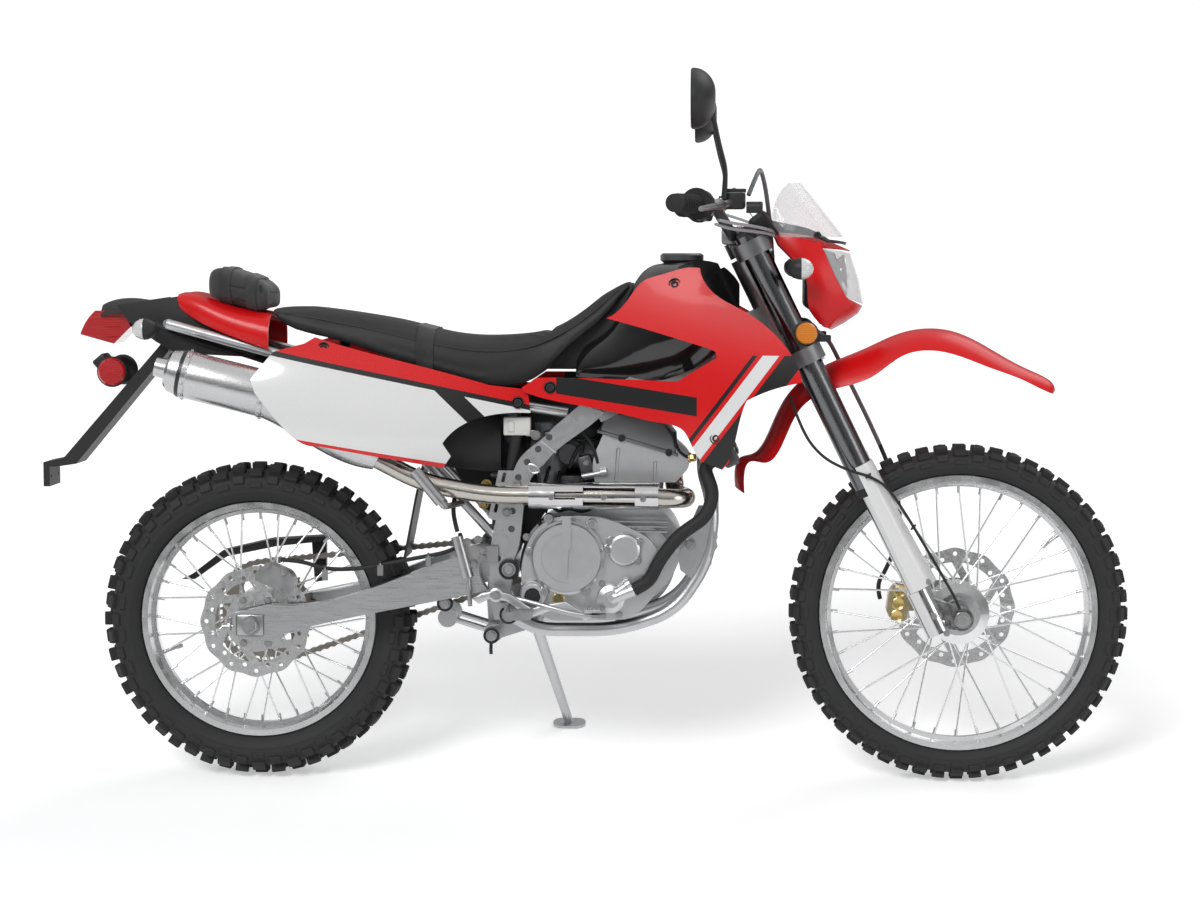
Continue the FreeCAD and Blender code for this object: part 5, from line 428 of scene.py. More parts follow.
def band_group():
    """1 inside a straight band, 0 outside: the band is set by its direction and its limits."""
    group, start, end = new_group("straight_band", {"Vector": None, "Direction": AHEAD, "Low": 0.0,
        "High": 1.0}, ["Mask"])
    reach = group.nodes.new("ShaderNodeVectorMath")
    reach.operation = "DOT_PRODUCT"
    link(group, start, "Vector", reach, 0)
    link(group, start, "Direction", reach, 1)
    above = maths(group, "GREATER_THAN", (reach, "Value"), (start, "Low"))
    below = maths(group, "LESS_THAN", (reach, "Value"), (start, "High"))
    both = maths(group, "MULTIPLY", (above, "Value"), (below, "Value"))
    link(group, both, "Value", end, "Mask")
    return group


GROUPS = {}


def add_group(tree, name):
    node = tree.nodes.new("ShaderNodeGroup")
    node.node_tree = GROUPS[name]
    return node


class Finish:
    """A material under construction: its shader, and the upright place of each point."""

    def __init__(self, name, colour, roughness, metallic=0.0, coat=0.0):
        self.material = bpy.data.materials.new(name)
        self.material.use_nodes = True
        self.tree = self.material.node_tree
        self.shader = self.tree.nodes["Principled BSDF"]
        self.shader.inputs["Base Color"].default_value = (*colour, 1.0)
        self.shader.inputs["Roughness"].default_value = roughness
        self.shader.inputs["Metallic"].default_value = metallic
        self.shader.inputs["Coat Weight"].default_value = coat
        self.shader.inputs["Coat Roughness"].default_value = 0.06
        self.colour = colour
        self.roughness = roughness
        coordinates = self.tree.nodes.new("ShaderNodeTexCoord")
        self.place = self.tree.nodes.new("ShaderNodeMapping")
        self.place.inputs["Rotation"].default_value = UPRIGHT.to_euler("XYZ")
        self.place.inputs["Location"].default_value = UPRIGHT.translation
        link(self.tree, coordinates, "Object", self.place, "Vector")
        self.last_colour = None

    def group(self, name, **values):
        node = add_group(self.tree, name)
        link(self.tree, self.place, "Vector", node, "Vector")
        for label, value in values.items():
            node.inputs[label].default_value = value
        return node

    def ranged(self, node, output, low, high):
        remap = self.tree.nodes.new("ShaderNodeMapRange")
        remap.inputs["To Min"].default_value = low
        remap.inputs["To Max"].default_value = high
        link(self.tree, node, output, remap, "Value")
        return remap

    def paint(self, node, output, colour):
        """Lay another colour over what there is, where a mask says so."""
        mix = self.tree.nodes.new("ShaderNodeMix")
        mix.data_type = "RGBA"
        mix.inputs[7].default_value = (*colour, 1.0)
        if self.last_colour is None:
            mix.inputs[6].default_value = (*self.colour, 1.0)
        else:
            self.tree.links.new(self.last_colour, mix.inputs[6])
        link(self.tree, node, output, mix, "Factor")
        self.last_colour = mix.outputs[2]
        self.tree.links.new(self.last_colour, self.shader.inputs["Base Color"])

    def rough(self, node, output, spread):
        remap = self.ranged(node, output, max(self.roughness - spread, 0.0),
                            min(self.roughness + spread, 1.0))
        link(self.tree, remap, "Result", self.shader, "Roughness")

    def bump(self, node, output, strength, distance=0.001):
        bump = self.tree.nodes.new("ShaderNodeBump")
        bump.inputs["Strength"].default_value = strength
        bump.inputs["Distance"].default_value = distance
        link(self.tree, node, output, bump, "Height")
        link(self.tree, bump, "Normal", self.shader, "Normal")

    def product(self, *sources):
        """The product of several masks."""
        last = sources[0]
        for source in sources[1:]:
            last = (maths(self.tree, "MULTIPLY", last, source), "Value")
        return last


def lighter(colour, share):
    return tuple(min(c + (1.0 - c) * share, 1.0) for c in colour)


def plastic(name, colour, roughness, coat=0.0, grain=900.0, bump=0.05):
    """Moulded plastic with faint grain and dust."""
    finish = Finish(name, colour, roughness, coat=coat)
    finish.shader.inputs["Specular IOR Level"].default_value = 0.32
    fine = finish.group("fine_grain", Scale=grain)
    finish.rough(fine, "Value", 0.08)
    finish.bump(fine, "Height", bump, 0.0005)
    dust = finish.group("soft_wear", Scale=14.0, Amount=0.10)
    finish.paint(dust, "Mask", lighter(colour, 0.014))
    return finish


def brushed(name, colour, roughness, across=(900.0, 900.0, 30.0), bump=0.08):
    """Metal with fine scratches along one direction."""
    finish = Finish(name, colour, roughness, metallic=1.0)
    lines = finish.group("brushed_lines", Across=across)
    finish.rough(lines, "Value", 0.14)
    finish.bump(lines, "Value", bump, 0.0003)
    stain = finish.group("soft_wear", Scale=10.0, Amount=0.25)
    finish.paint(stain, "Mask", tuple(c * 0.72 for c in colour))
    return finish


def cast(name, colour, roughness, metallic=1.0, bump=0.35):
    """Sand-cast or bead-blasted metal."""
    finish = Finish(name, colour, roughness, metallic=metallic)
    fine = finish.group("fine_grain", Scale=700.0, Detail=5.0)
    finish.rough(fine, "Value", 0.12)
    finish.bump(fine, "Height", bump, 0.0006)
    stain = finish.group("soft_wear", Scale=18.0, Amount=0.35)
    finish.paint(stain, "Mask", tuple(c * 0.7 for c in colour))
    return finish


# Sizes and colours that a user would change
class BikeColours(bpy.types.PropertyGroup):
    """The colours of the machine."""
    body: bpy.props.FloatVectorProperty(
        name="Body", description="Shrouds, mudguard and cowls", subtype="COLOR",
        size=3, default=(0.72, 0.006, 0.008), min=0.0, max=1.0)
    panel: bpy.props.FloatVectorProperty(
        name="Panel", description="Side panels and fork guards", subtype="COLOR",
        size=3, default=(0.82, 0.82, 0.81), min=0.0, max=1.0)
    dark: bpy.props.FloatVectorProperty(
        name="Dark", description="Black plastic, stripes and tank", subtype="COLOR",
        size=3, default=(0.012, 0.012, 0.013), min=0.0, max=1.0)
    metal: bpy.props.FloatVectorProperty(
        name="Metal", description="Frame, arm and engine castings", subtype="COLOR",
        size=3, default=(0.52, 0.525, 0.535), min=0.0, max=1.0)


class BikeSizes(bpy.types.PropertyGroup):
    """Sizes of the parts that are added to the machine."""
    front_knob: bpy.props.FloatProperty(
        name="Front knob height", description="How far the front knobs stand up",
        default=0.012, unit="LENGTH", min=0.004, max=0.016)
    rear_knob: bpy.props.FloatProperty(
        name="Rear knob height", description="How far the rear knobs stand up",
        default=0.014, unit="LENGTH", min=0.004, max=0.018)
    bolt: bpy.props.FloatProperty(
        name="Bolt head", description="Radius of the common bolt heads",
        default=0.0065, unit="LENGTH", min=0.003, max=0.012)
    seat_swell: bpy.props.FloatProperty(
        name="Seat swell", description="How far the seat cover may swell",
        default=0.006, unit="LENGTH", min=0.0, max=0.02)


class StageSettings(bpy.types.PropertyGroup):
    """The floor, the lamps and the camera."""
    floor: bpy.props.FloatVectorProperty(
        name="Floor", description="Colour of the floor", subtype="COLOR",
        size=3, default=(0.9, 0.9, 0.9), min=0.0, max=1.0)
    key: bpy.props.FloatProperty(
        name="Key lamp", description="Strength of the main lamp, the others follow it",
        default=1.65, min=0.0, max=10.0)
    sky: bpy.props.FloatProperty(
        name="Room light", description="Strength of the light that comes from all round",
        default=0.22, min=0.0, max=2.0)
    horizon: bpy.props.FloatProperty(
        name="Horizon", description="Brightness near the horizon as gloss and metal show it",
        default=0.06, min=0.0, max=1.0)
    lift: bpy.props.FloatProperty(
        name="Floor lift", description="White added to the floor where it is seen directly",
        default=0.42, min=0.0, max=1.0)
    lens: bpy.props.FloatProperty(
        name="Focal length", description="Focal length of the camera on a 36 mm frame",
        default=78.12, subtype="DISTANCE_CAMERA", min=20.0, max=300.0)


def colours():
    return bpy.context.scene.bike_colours


def sizes():
    return bpy.context.scene.bike_sizes


FINISH = {}


def coated(name):
    """The material of a named finish."""
    return FINISH[name].material


def painted(name, colour):
    """Gloss plastic of the body's colour with a faint ripple."""
    return plastic(name, colour, 0.34, coat=0.12, grain=260.0, bump=0.015)


def stripes_on(finish, table):
    """Plain stripes: each is a colour and the bands whose overlap it fills."""
    for colour, bands in table:
        masks = [(finish.group("straight_band", Direction=direction, Low=low, High=high), "Mask")
                 for direction, low, high in bands]
        node, output = finish.product(*masks)
        finish.paint(node, output, colour)


def make_finishes():
    """Build every shared effect and material once."""
    GROUPS["fine_grain"] = grain_group()
    GROUPS["soft_wear"] = wear_group()
    GROUPS["brushed_lines"] = brushed_group()
    GROUPS["straight_band"] = band_group()
    dark = tuple(colours().dark)
    panel = tuple(colours().panel)
    metal = tuple(colours().metal)
    body = tuple(colours().body)
    FINISH["shroud"] = painted("shroud_striped", body)
    slant = (0.80, 0.0, -0.60)
    along = (0.15, 0.0, 0.989)
    lower = (UP, 0.60, 0.872)
    stripes_on(FINISH["shroud"], [
        (dark, [(along, 0.878, 0.915), (AHEAD, 0.62, 0.90), lower]),
        (panel, [(slant, 0.300, 0.326), lower]),
        (dark, [(slant, 0.334, 0.372), lower]),
        (dark, [(slant, 0.284, 0.292), lower])])
    FINISH["side"] = plastic("panel_striped", panel, 0.26, coat=0.5, grain=300.0, bump=0.02)
    crest = (0.21, 0.0, 0.978)
    stripes_on(FINISH["side"], [
        (body, [(crest, 0.872, 1.2)]),
        (dark, [(crest, 0.862, 0.872)]),
        (dark, [((0.70, 0.0, 0.714), 0.836, 0.868), (crest, 0.5, 0.872)]),
        (body, [((0.17, 0.0, 0.985), 0.5, 0.712)])])
    FINISH.update({
        "red": painted("body_red", body),
        "white": plastic("panel_white", panel, 0.28, coat=0.45, grain=300.0, bump=0.02),
        "gloss_black": plastic("tank_black", dark, 0.16, coat=0.8, grain=260.0, bump=0.02),
        "black": plastic("matte_black", lighter(dark, 0.012), 0.48, grain=1100.0, bump=0.16),
        "rubber": plastic("black_rubber", lighter(dark, 0.008), 0.62, grain=800.0, bump=0.10),
        "tyre": plastic("tyre_rubber", lighter(dark, 0.014), 0.66, grain=500.0, bump=0.22),
        "frame": brushed("frame_satin", metal, 0.34, (260.0, 260.0, 260.0), 0.06),
        "arm": brushed("arm_brushed", lighter(metal, 0.1), 0.30, (24.0, 700.0, 700.0), 0.10),
        "cast": cast("engine_cast", lighter(metal, 0.06), 0.42),
        "cover": cast("cover_cast", lighter(metal, 0.12), 0.36, bump=0.18),
        "head": cast("head_grey", (0.33, 0.34, 0.35), 0.46, metallic=0.7, bump=0.22),
        "dark_metal": cast("dark_casting", (0.10, 0.10, 0.105), 0.42, metallic=0.6),
        "polished": brushed("polished_steel", (0.60, 0.60, 0.605), 0.14, (60.0, 60.0, 60.0), 0.02),
        "silencer": brushed("silencer_brushed", (0.56, 0.56, 0.565), 0.28, (14.0, 900.0, 900.0),
                            0.12),
        "pipe": brushed("pipe_steel", (0.50, 0.475, 0.44), 0.20, (60.0, 400.0, 400.0), 0.05),
        "steel": brushed("fitting_steel", (0.42, 0.42, 0.425), 0.32, (50.0, 50.0, 50.0), 0.015),
        "disc": brushed("disc_ground", (0.64, 0.64, 0.645), 0.28, (120.0, 700.0, 120.0), 0.1),
        "chain": cast("chain_steel", (0.30, 0.28, 0.25), 0.36, bump=0.2),
        "brass": brushed("gilt_bolts", (0.62, 0.46, 0.18), 0.30, (50.0, 50.0, 50.0), 0.015),
        "fork_dark": brushed("fork_tube_dark", (0.16, 0.162, 0.168), 0.20, (500.0, 500.0, 20.0),
                             0.03),
        "seat": plastic("seat_vinyl", lighter(dark, 0.010), 0.56, grain=620.0, bump=0.30),
        "cloth": woven("bag_cloth", lighter(dark, 0.02)),
        "screen": clear("screen_clear", (0.95, 0.96, 0.97), 0.22),
        "lens": clear("lens_clear", (0.96, 0.97, 0.98), 0.30),
        "reflector": brushed("lamp_reflector", (0.86, 0.86, 0.87), 0.08, (30.0, 30.0, 30.0), 0.0),
        "red_lens": ribbed_lens("red_lens", (0.55, 0.008, 0.012)),
        "amber": ribbed_lens("amber_lens", (0.85, 0.26, 0.01)),
        "clear_lens": ribbed_lens("clear_lens", (0.80, 0.80, 0.79)),
        "mirror": brushed("mirror_glass", (0.92, 0.92, 0.93), 0.03, (20.0, 20.0, 20.0), 0.0),
        "webbing": woven("strap_webbing", lighter(dark, 0.012)),
        "oil_glass": ribbed_lens("oil_glass", (0.16, 0.14, 0.05)),
        "head_dark": cast("cam_cover_grey", (0.19, 0.195, 0.20), 0.44, metallic=0.75),
        "dark_steel": cast("black_steel", (0.045, 0.045, 0.048), 0.38, metallic=0.6, bump=0.1),
        "spring": plastic("spring_enamel", (0.30, 0.30, 0.31), 0.30, coat=0.3),
        "pale_plastic": plastic("connector_white", (0.70, 0.70, 0.66), 0.42),
        "grey_cable": plastic("grey_cable", (0.42, 0.42, 0.43), 0.34, bump=0.04),
        "grey_hose": plastic("grey_hose", (0.20, 0.20, 0.21), 0.38, grain=900.0, bump=0.1),
        "wheel": brushed("rim_anodised", (0.74, 0.745, 0.75), 0.24, (30.0, 30.0, 30.0), 0.01),
        "clamp": cast("clamp_casting", (0.24, 0.24, 0.25), 0.36, metallic=0.9),
        "caliper": cast("caliper_gilt", (0.42, 0.36, 0.24), 0.36)})


def woven(name, colour):
    """Cloth with a fine weave in two directions."""
    finish = Finish(name, colour, 0.86)
    warp = finish.tree.nodes.new("ShaderNodeTexWave")
    warp.bands_direction = "X"
    weft = finish.tree.nodes.new("ShaderNodeTexWave")
    weft.bands_direction = "Z"
    for wave in (warp, weft):
        wave.inputs["Scale"].default_value = 260.0
        wave.inputs["Distortion"].default_value = 1.5
        link(finish.tree, finish.place, "Vector", wave, "Vector")
    weave, output = finish.product((warp, "Fac"), (weft, "Fac"))
    finish.bump(weave, output, 0.5, 0.0006)
    dust = finish.group("soft_wear", Scale=22.0, Amount=0.25)
    finish.paint(dust, "Mask", lighter(colour, 0.10))
    finish.shader.inputs["Sheen Weight"].default_value = 0.25
    return finish


def clear(name, colour, alpha):
    """Thin clear plastic, mostly see-through."""
    finish = Finish(name, colour, 0.06)
    finish.shader.inputs["Alpha"].default_value = alpha
    finish.shader.inputs["IOR"].default_value = 1.45
    dust = finish.group("soft_wear", Scale=16.0, Amount=0.5)
    finish.rough(dust, "Mask", 0.05)
    return finish


def ribbed_lens(name, colour):
    """A moulded lamp lens with fine ribs behind its skin."""
    finish = Finish(name, colour, 0.14, coat=1.0)
    ribs = finish.tree.nodes.new("ShaderNodeTexWave")
    ribs.bands_direction = "Z"
    ribs.inputs["Scale"].default_value = 90.0
    link(finish.tree, finish.place, "Vector", ribs, "Vector")
    finish.paint(finish.ranged(ribs, "Fac", 0.0, 0.45), "Result", tuple(c * 0.55 for c in colour))
    finish.bump(ribs, "Fac", 0.25, 0.0008)
    return finish


CAD_FINISHES = {
    "frame": "frame_spars frame_cradle stand_bracket side_stand linkage subframe",
    "arm": "swingarm", "cast": "engine_case engine_cylinder", "cover": "engine_covers",
    "head": "carburettor", "black": "airbox rear_fender chain_guard mirrors plate_bracket",
    "rubber": "coolant_hose grips", "dark_metal": "radiators fuel_cap handlebar shock_absorber",
    "pipe": "exhaust_pipe", "polished": "heat_shield fork_sliders",
    "steel": "chassis_shafts front_axle foot_controls footrests rear_caliper levers",
    "silencer": "silencer", "gloss_black": "fuel_tank", "shroud": "shrouds", "side": "side_panels",
    "red": "rear_cowl headlight_cowl front_fender", "red_lens": "tail_lamp",
    "clear_lens": "rear_signals front_signals", "lens": "headlight", "screen": "windscreen",
    "chain": "chain sprocket_rear", "fork_dark": "fork_tubes", "white": "fork_guards",
    "seat": "seat", "cloth": "tool_bag",
    "disc": "disc_front disc_rear", "wheel": "wheel_front wheel_rear",
    "tyre": "tyre_front tyre_rear", "grey_hose": "brake_hose", "clamp": "triple_clamps",
    "caliper": "front_caliper"}


class MOTO_OT_finish_nodes(bpy.types.Operator):
    """Give every piece of the construction its finish"""
    bl_idname = "moto.finish_nodes"
    bl_label = "Finish the construction"

    def execute(self, context):
        make_finishes()
        for finish, names in CAD_FINISHES.items():
            for name in names.split():
                node = frame["nodes"][name]
                node.data.materials.clear()
                node.data.materials.append(coated(finish))
        return {"FINISHED"}


SMOOTHED = {
    "fuel_tank": ("tank_shell", "chassis", "gloss_black", "tank_black"),
    "front_fender": ("front_mudguard", "fork", "red", "red_plastic"),
    "rear_cowl": ("tail_cowl", "chassis", "red", "red_plastic"),
    "shrouds": ("radiator_shrouds", "chassis", "shroud", "red_plastic"),
    "side_panels": ("side_covers", "chassis", "side", "panel_white"),
    "rear_fender": ("rear_mudguard", "chassis", "black", "black_plastic"),
    "silencer": ("silencer_body", "chassis", "silencer", "silencer_steel"),
    "fork_guards": ("slider_guards", "fork", "white", "panel_white"),
    "windscreen": ("small_screen", "fork", "screen", "screen_clear"),
}


def merged_copy(node):
    """A copy of a node whose loose triangles are merged, to be worked on."""
    copy = own_copy(frame["nodes"][node])
    copy.parent = None
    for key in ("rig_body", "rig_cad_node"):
        if key in copy:
            del copy[key]
    copy.matrix_world = Matrix.Identity(4)
    take(copy)
    with Editing():
        bpy.ops.mesh.remove_doubles(threshold=2e-5)
    if copy.data.has_custom_normals:
        bpy.ops.mesh.customdata_custom_splitnormals_clear()
    return copy


def smooth_copy(node, name, body, finish):
    """A copy of a node's mesh whose facets are shaded as the curves they stand for."""
    copy = merged_copy(node)
    bpy.ops.object.shade_smooth_by_angle(angle=math.radians(32.0))
    copy.name = name
    copy.data.name = name
    copy.data.materials.clear()
    copy.data.materials.append(coated(finish))
    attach(copy, body)
    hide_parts(node)


class MOTO_OT_body_panels(bpy.types.Operator):
    """Smooth the curved panels, the tank, the silencer and the screen"""
    bl_idname = "moto.body_panels"
    bl_label = "Body panels"

    def execute(self, context):
        for node, (name, body, finish, slot) in SMOOTHED.items():
            smooth_copy(node, name, body, finish)
        return {"FINISHED"}


# Tyres
def spun(points, steps):
    """A closed outline of (radius, along Y) spun about the Y axis."""
    line = new_curve([(radius, along, 0.0) for radius, along in points], cyclic=True)
    line.data.splines[0].resolution_u = 3
    piece = meshed(line)
    with Editing():
        bpy.ops.mesh.spin(steps=steps, angle=math.tau, center=(0.0, 0.0, 0.0), axis=LEFT)
        bpy.ops.mesh.select_all(action="SELECT")
        bpy.ops.mesh.remove_doubles(threshold=1e-5)
        bpy.ops.mesh.normals_make_consistent(inside=False)
    return piece


def ring_array(piece, count):
    """Repeat a piece evenly round the Y axis."""
    clear_selection()
    bpy.ops.object.empty_add(rotation=(0.0, math.tau / count, 0.0))
    step = bpy.context.active_object
    take(piece)
    bpy.ops.object.modifier_add(type="ARRAY")
    array = piece.modifiers[-1]
    array.use_relative_offset = False
    array.use_object_offset = True
    array.offset_object = step
    array.count = count
    apply_all(piece)
    bpy.data.objects.remove(step)
    return piece


TYRE_STEPS = 96
CARCASS = [(0.60, 0.0), (0.80, 0.12), (0.90, 0.24), (0.945, 0.30), (0.93, 0.34), (0.97, 0.46),
           (0.92, 0.62), (0.70, 0.76), (0.32, 0.83), (0.0, 0.845)]


def knob_row(radius, half, row, count):
    """One row of knobs on both sides of a tyre."""
    share, reach, tilt, size, phase = row
    knob = block([v * 0.001 for v in size], bevel=0.0016, taper=0.84)
    height = size[2] * 0.001
    places = [Matrix.Rotation(phase * math.tau / count, 4, "Y")
              @ Matrix.Translation((0.0, side * share * half, radius + reach * 0.001))
              @ Matrix.Rotation(-side * math.radians(tilt), 4, "X")
              @ Matrix.Translation((0.0, 0.0, -height / 2)) for side in (1.0, -1.0)]
    return ring_array(repeated(knob, places), count)


def tyre(name, node, body, centre, radius, half, rim_radius, count, rows, knob):
    height = radius - rim_radius
    scale = (height - knob) / (height * CARCASS[-1][1])
    outer = [(rim_radius + b * height * scale, a * half) for a, b in CARCASS]
    loop = outer + [(r, -a) for r, a in reversed(outer[:-1])]
    whole = joined([spun(loop, TYRE_STEPS)] + [knob_row(radius, half, row, count) for row in rows])
    set_place(whole, Matrix.Translation(centre))
    mount(whole, name, body, "tyre", smooth=30.0)
    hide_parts(node)


FRONT_ROWS = [
    (0.19, 0.0, 0.0, (31.0, 13.0, 15.0), 0.0), (0.22, 0.0, 0.0, (13.0, 12.0, 15.0), 0.5),
    (0.56, -2.5, 14.0, (30.0, 15.0, 16.0), 0.5), (0.86, -13.0, 42.0, (31.0, 17.0, 18.0), 0.0),
    (0.985, -24.0, 70.0, (27.0, 16.0, 9.0), 0.5), (1.0, -34.0, 82.0, (30.0, 12.0, 5.0), 0.0)]
REAR_ROWS = [
    (0.17, 0.0, 0.0, (31.0, 16.0, 17.0), 0.0), (0.20, 0.0, 0.0, (18.0, 18.0, 17.0), 0.5),
    (0.54, -2.5, 12.0, (31.0, 21.0, 18.0), 0.5), (0.84, -15.0, 40.0, (32.0, 23.0, 21.0), 0.0),
    (0.985, -30.0, 68.0, (28.0, 20.0, 11.0), 0.5), (1.0, -42.0, 82.0, (31.0, 14.0, 5.0), 0.0)]


class MOTO_OT_tyres(bpy.types.Operator):
    """Build both tyres with their rows of knobs"""
    bl_idname = "moto.tyres"
    bl_label = "Tyres"

    def execute(self, context):
        tyre("front_tyre", "tyre_front", "front_wheel", FRONT_HUB,
             FRONT_RADIUS, 0.041, FRONT_RIM, 28, FRONT_ROWS, sizes().front_knob)
        tyre("rear_tyre", "tyre_rear", "rear_wheel", REAR_HUB,
             REAR_RADIUS, 0.057, REAR_RIM, 26, REAR_ROWS, sizes().rear_knob)
        return {"FINISHED"}


# Wheel fittings
SPOKES = 36


def valve_stem():
    return turned([(0.0, 0.004), (0.006, 0.004), (0.0065, 0.0032), (0.03, 0.0032),
                   (0.0305, 0.0042), (0.040, 0.0042), (0.042, 0.003)], 12)


def bolt_head(radius, height=None):
    """A flanged hexagon head with its corners taken off."""
    height = height or radius * 0.8
    flange = turned([(0.0, radius * 1.35), (height * 0.2, radius * 1.3)], 20)
    head = turned([(height * 0.15, radius), (height * 0.85, radius), (height, radius * 0.86)], 6)
    return joined([flange, head])


def socket_head(radius, height):
    """A round cap screw with a sunk socket."""
    return turned([(0.0, radius), (height * 0.86, radius), (height, radius * 0.88),
                   (height, radius * 0.5), (height * 0.45, radius * 0.48)], 18)


class MOTO_OT_wheel_fittings(bpy.types.Operator):
    """Add spoke nipples, valve stems and disc bolts to both wheels"""
    bl_idname = "moto.wheel_fittings"
    bl_label = "Wheel fittings"

    def execute(self, context):
        for name, body, centre, rim, disc_y, valve in (
                ("front", "front_wheel", FRONT_HUB, FRONT_RIM, 0.0642, -38.0),
                ("rear", "rear_wheel", REAR_HUB, REAR_RIM, -0.0682, 160.0)):
            nipple = turned([(0.0, 0.0026), (0.012, 0.003), (0.015, 0.0036)], 8)
            set_place(nipple, turn_about("Y", 90.0) @ Matrix.Translation((0.0, 0.0, rim - 0.0375)))
            nipples = ring_array(nipple, SPOKES)
            stem = valve_stem()
            set_place(stem, turn_about("Y", valve) @ turn_about("Y", -90.0)
                      @ Matrix.Translation((0.0, 0.0, -rim + 0.024)))
            fittings = joined([nipples, stem])
            set_place(fittings, Matrix.Translation(centre))
            mount(fittings, name + "_nipples", body, "steel")
            bolt = bolt_head(0.0062)
            outward = LEFT if disc_y > 0 else RIGHT
            set_place(bolt, facing((0.051, disc_y, 0.0), outward))
            bolts = ring_array(bolt, 6)
            set_place(bolts, Matrix.Translation(centre))
            mount(bolts, name + "_disc_bolts", body, "steel")
        return {"FINISHED"}


def rows(template, places, axis=RIGHT):
    """Copies of a fastener at places in millimetres, all facing one way."""
    return repeated(template, [facing(mm(*place), axis) for place in places])


def coil(radius, wire, turns, length, steps=14):
    """A round-wire spring that stands on the origin."""
    count = int(turns * steps)
    points = []
    for index in range(count + 1):
        angle = math.tau * index / steps
        points.append((radius * math.cos(angle), radius * math.sin(angle), length * index / count))
    return tube(points, wire, resolution=2)


# Soft goods
CLOTH_FRAMES = 20


def swelled(piece, voxel, cap, pinned_below, shrink):
    """Fill a merged copy like foam under its cover: remesh, swell as cloth, cap the movement."""
    take(piece)
    bpy.ops.object.modifier_add(type="REMESH")
    remesh = piece.modifiers[-1]
    remesh.mode = "VOXEL"
    remesh.voxel_size = voxel
    bpy.ops.object.modifier_apply(modifier=remesh.name)
    normals = [vertex.normal.copy() for vertex in piece.data.vertices]
    start = [vertex.co.copy() for vertex in piece.data.vertices]
    group = piece.vertex_groups.new(name="held")
    held = [index for index, place in enumerate(start) if pinned_below(place)]
    group.add(held, 1.0, "REPLACE")
    for vertex, normal in zip(piece.data.vertices, normals):
        vertex.co -= normal * shrink
    scene = bpy.context.scene
    scene.frame_set(1)
    bpy.ops.object.modifier_add(type="CLOTH")
    cloth = piece.modifiers[-1]
    cloth.settings.quality = 5
    cloth.settings.mass = 0.2
    cloth.settings.tension_stiffness = 12.0
    cloth.settings.compression_stiffness = 12.0
    cloth.settings.bending_stiffness = 1.5
    cloth.settings.vertex_group_mass = "held"
    cloth.settings.use_pressure = True
    cloth.settings.uniform_pressure_force = 4.0
    cloth.settings.effector_weights.gravity = 0.0
    cloth.point_cache.frame_start = 1
    cloth.point_cache.frame_end = CLOTH_FRAMES
    for number in range(1, CLOTH_FRAMES + 1):
        scene.frame_set(number)
    bpy.ops.object.modifier_apply(modifier=cloth.name)
    scene.frame_set(1)
    for vertex, place in zip(piece.data.vertices, start):
        moved = vertex.co - place
        if moved.length > cap:
            vertex.co = place + moved.normalized() * cap
    return piece


def finer(piece):
    take(piece)
    bpy.ops.object.modifier_add(type="SUBSURF")
    piece.modifiers[-1].levels = 1
    piece.modifiers[-1].render_levels = 1
    return apply_all(piece)


def along_surface(piece, points, lift=0.0):
    """Points in millimetres dropped onto a piece that is drawn upright."""
    found = []
    for point in points:
        hit, place, normal = piece.closest_point_on_mesh(mm(*point))[:3]
        if not hit:
            raise RuntimeError("no surface near a seam")
        found.append(place + normal * lift)
    return found


def strap_over(piece, low, high, thickness):
    """A band of webbing that hugs an upright piece between two planes across X."""
    copy = take(own_copy(piece))
    for place, clear_inner, clear_outer in ((low, True, False), (high, False, True)):
        with Editing():
            bpy.ops.mesh.bisect(plane_co=(place, 0.0, 0.0), plane_no=AHEAD,
                                clear_inner=clear_inner, clear_outer=clear_outer)
    return walled(copy, thickness, offset=1.0)


SEAM = [(70, 76, 952), (132, 88, 944), (200, 96, 931), (256, 100, 919), (340, 104, 899),
        (430, 102, 880), (500, 95, 876), (564, 84, 884), (635, 72, 916), (690, 62, 955),
        (741, 52, 1000)]


class MOTO_OT_seat(bpy.types.Operator):
    """Pad the seat under its cover and add its seams and strap"""
    bl_idname = "moto.seat"
    bl_label = "Seat"

    def execute(self, context):
        seat = merged_copy("seat")
        set_place(seat, UPRIGHT)
        swelled(seat, 0.006, sizes().seat_swell, lambda place: place.z < seat_base(place.x), 0.002)
        strap = strap_over(seat, 0.337, 0.371, 0.0028)
        finer(seat)
        seams = []
        for side in (1, -1):
            path = [(x, side * y, z) for x, y, z in SEAM]
            seams.append(tube(along_surface(seat, path, 0.0004), 0.0032, resolution=6))
        mount(seat, "seat_cushion", "chassis", "seat", smooth=60.0)
        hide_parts("seat")
        mount(strap, "seat_strap", "chassis", "webbing", smooth=50.0)
        mount(seams, "seat_seams", "chassis", "seat")
        return {"FINISHED"}


def seat_base(x):
    """The height, in metres, below which the seat is held by its pan."""
    for (before, low), (after, next_low) in zip(SEAT_FLOOR, SEAT_FLOOR[1:]):
        if x <= after:
            share = (x - before) / (after - before)
            return low + share * (next_low - low) + 0.012
    return SEAT_FLOOR[-1][1] + 0.012


SEAT_FLOOR = [(0.04, 0.945), (0.06, 0.932), (0.132, 0.906), (0.256, 0.870), (0.34, 0.846),
              (0.43, 0.821), (0.5, 0.805), (0.564, 0.815), (0.635, 0.877), (0.69, 0.922),
              (0.741, 0.975), (0.766, 1.004)]


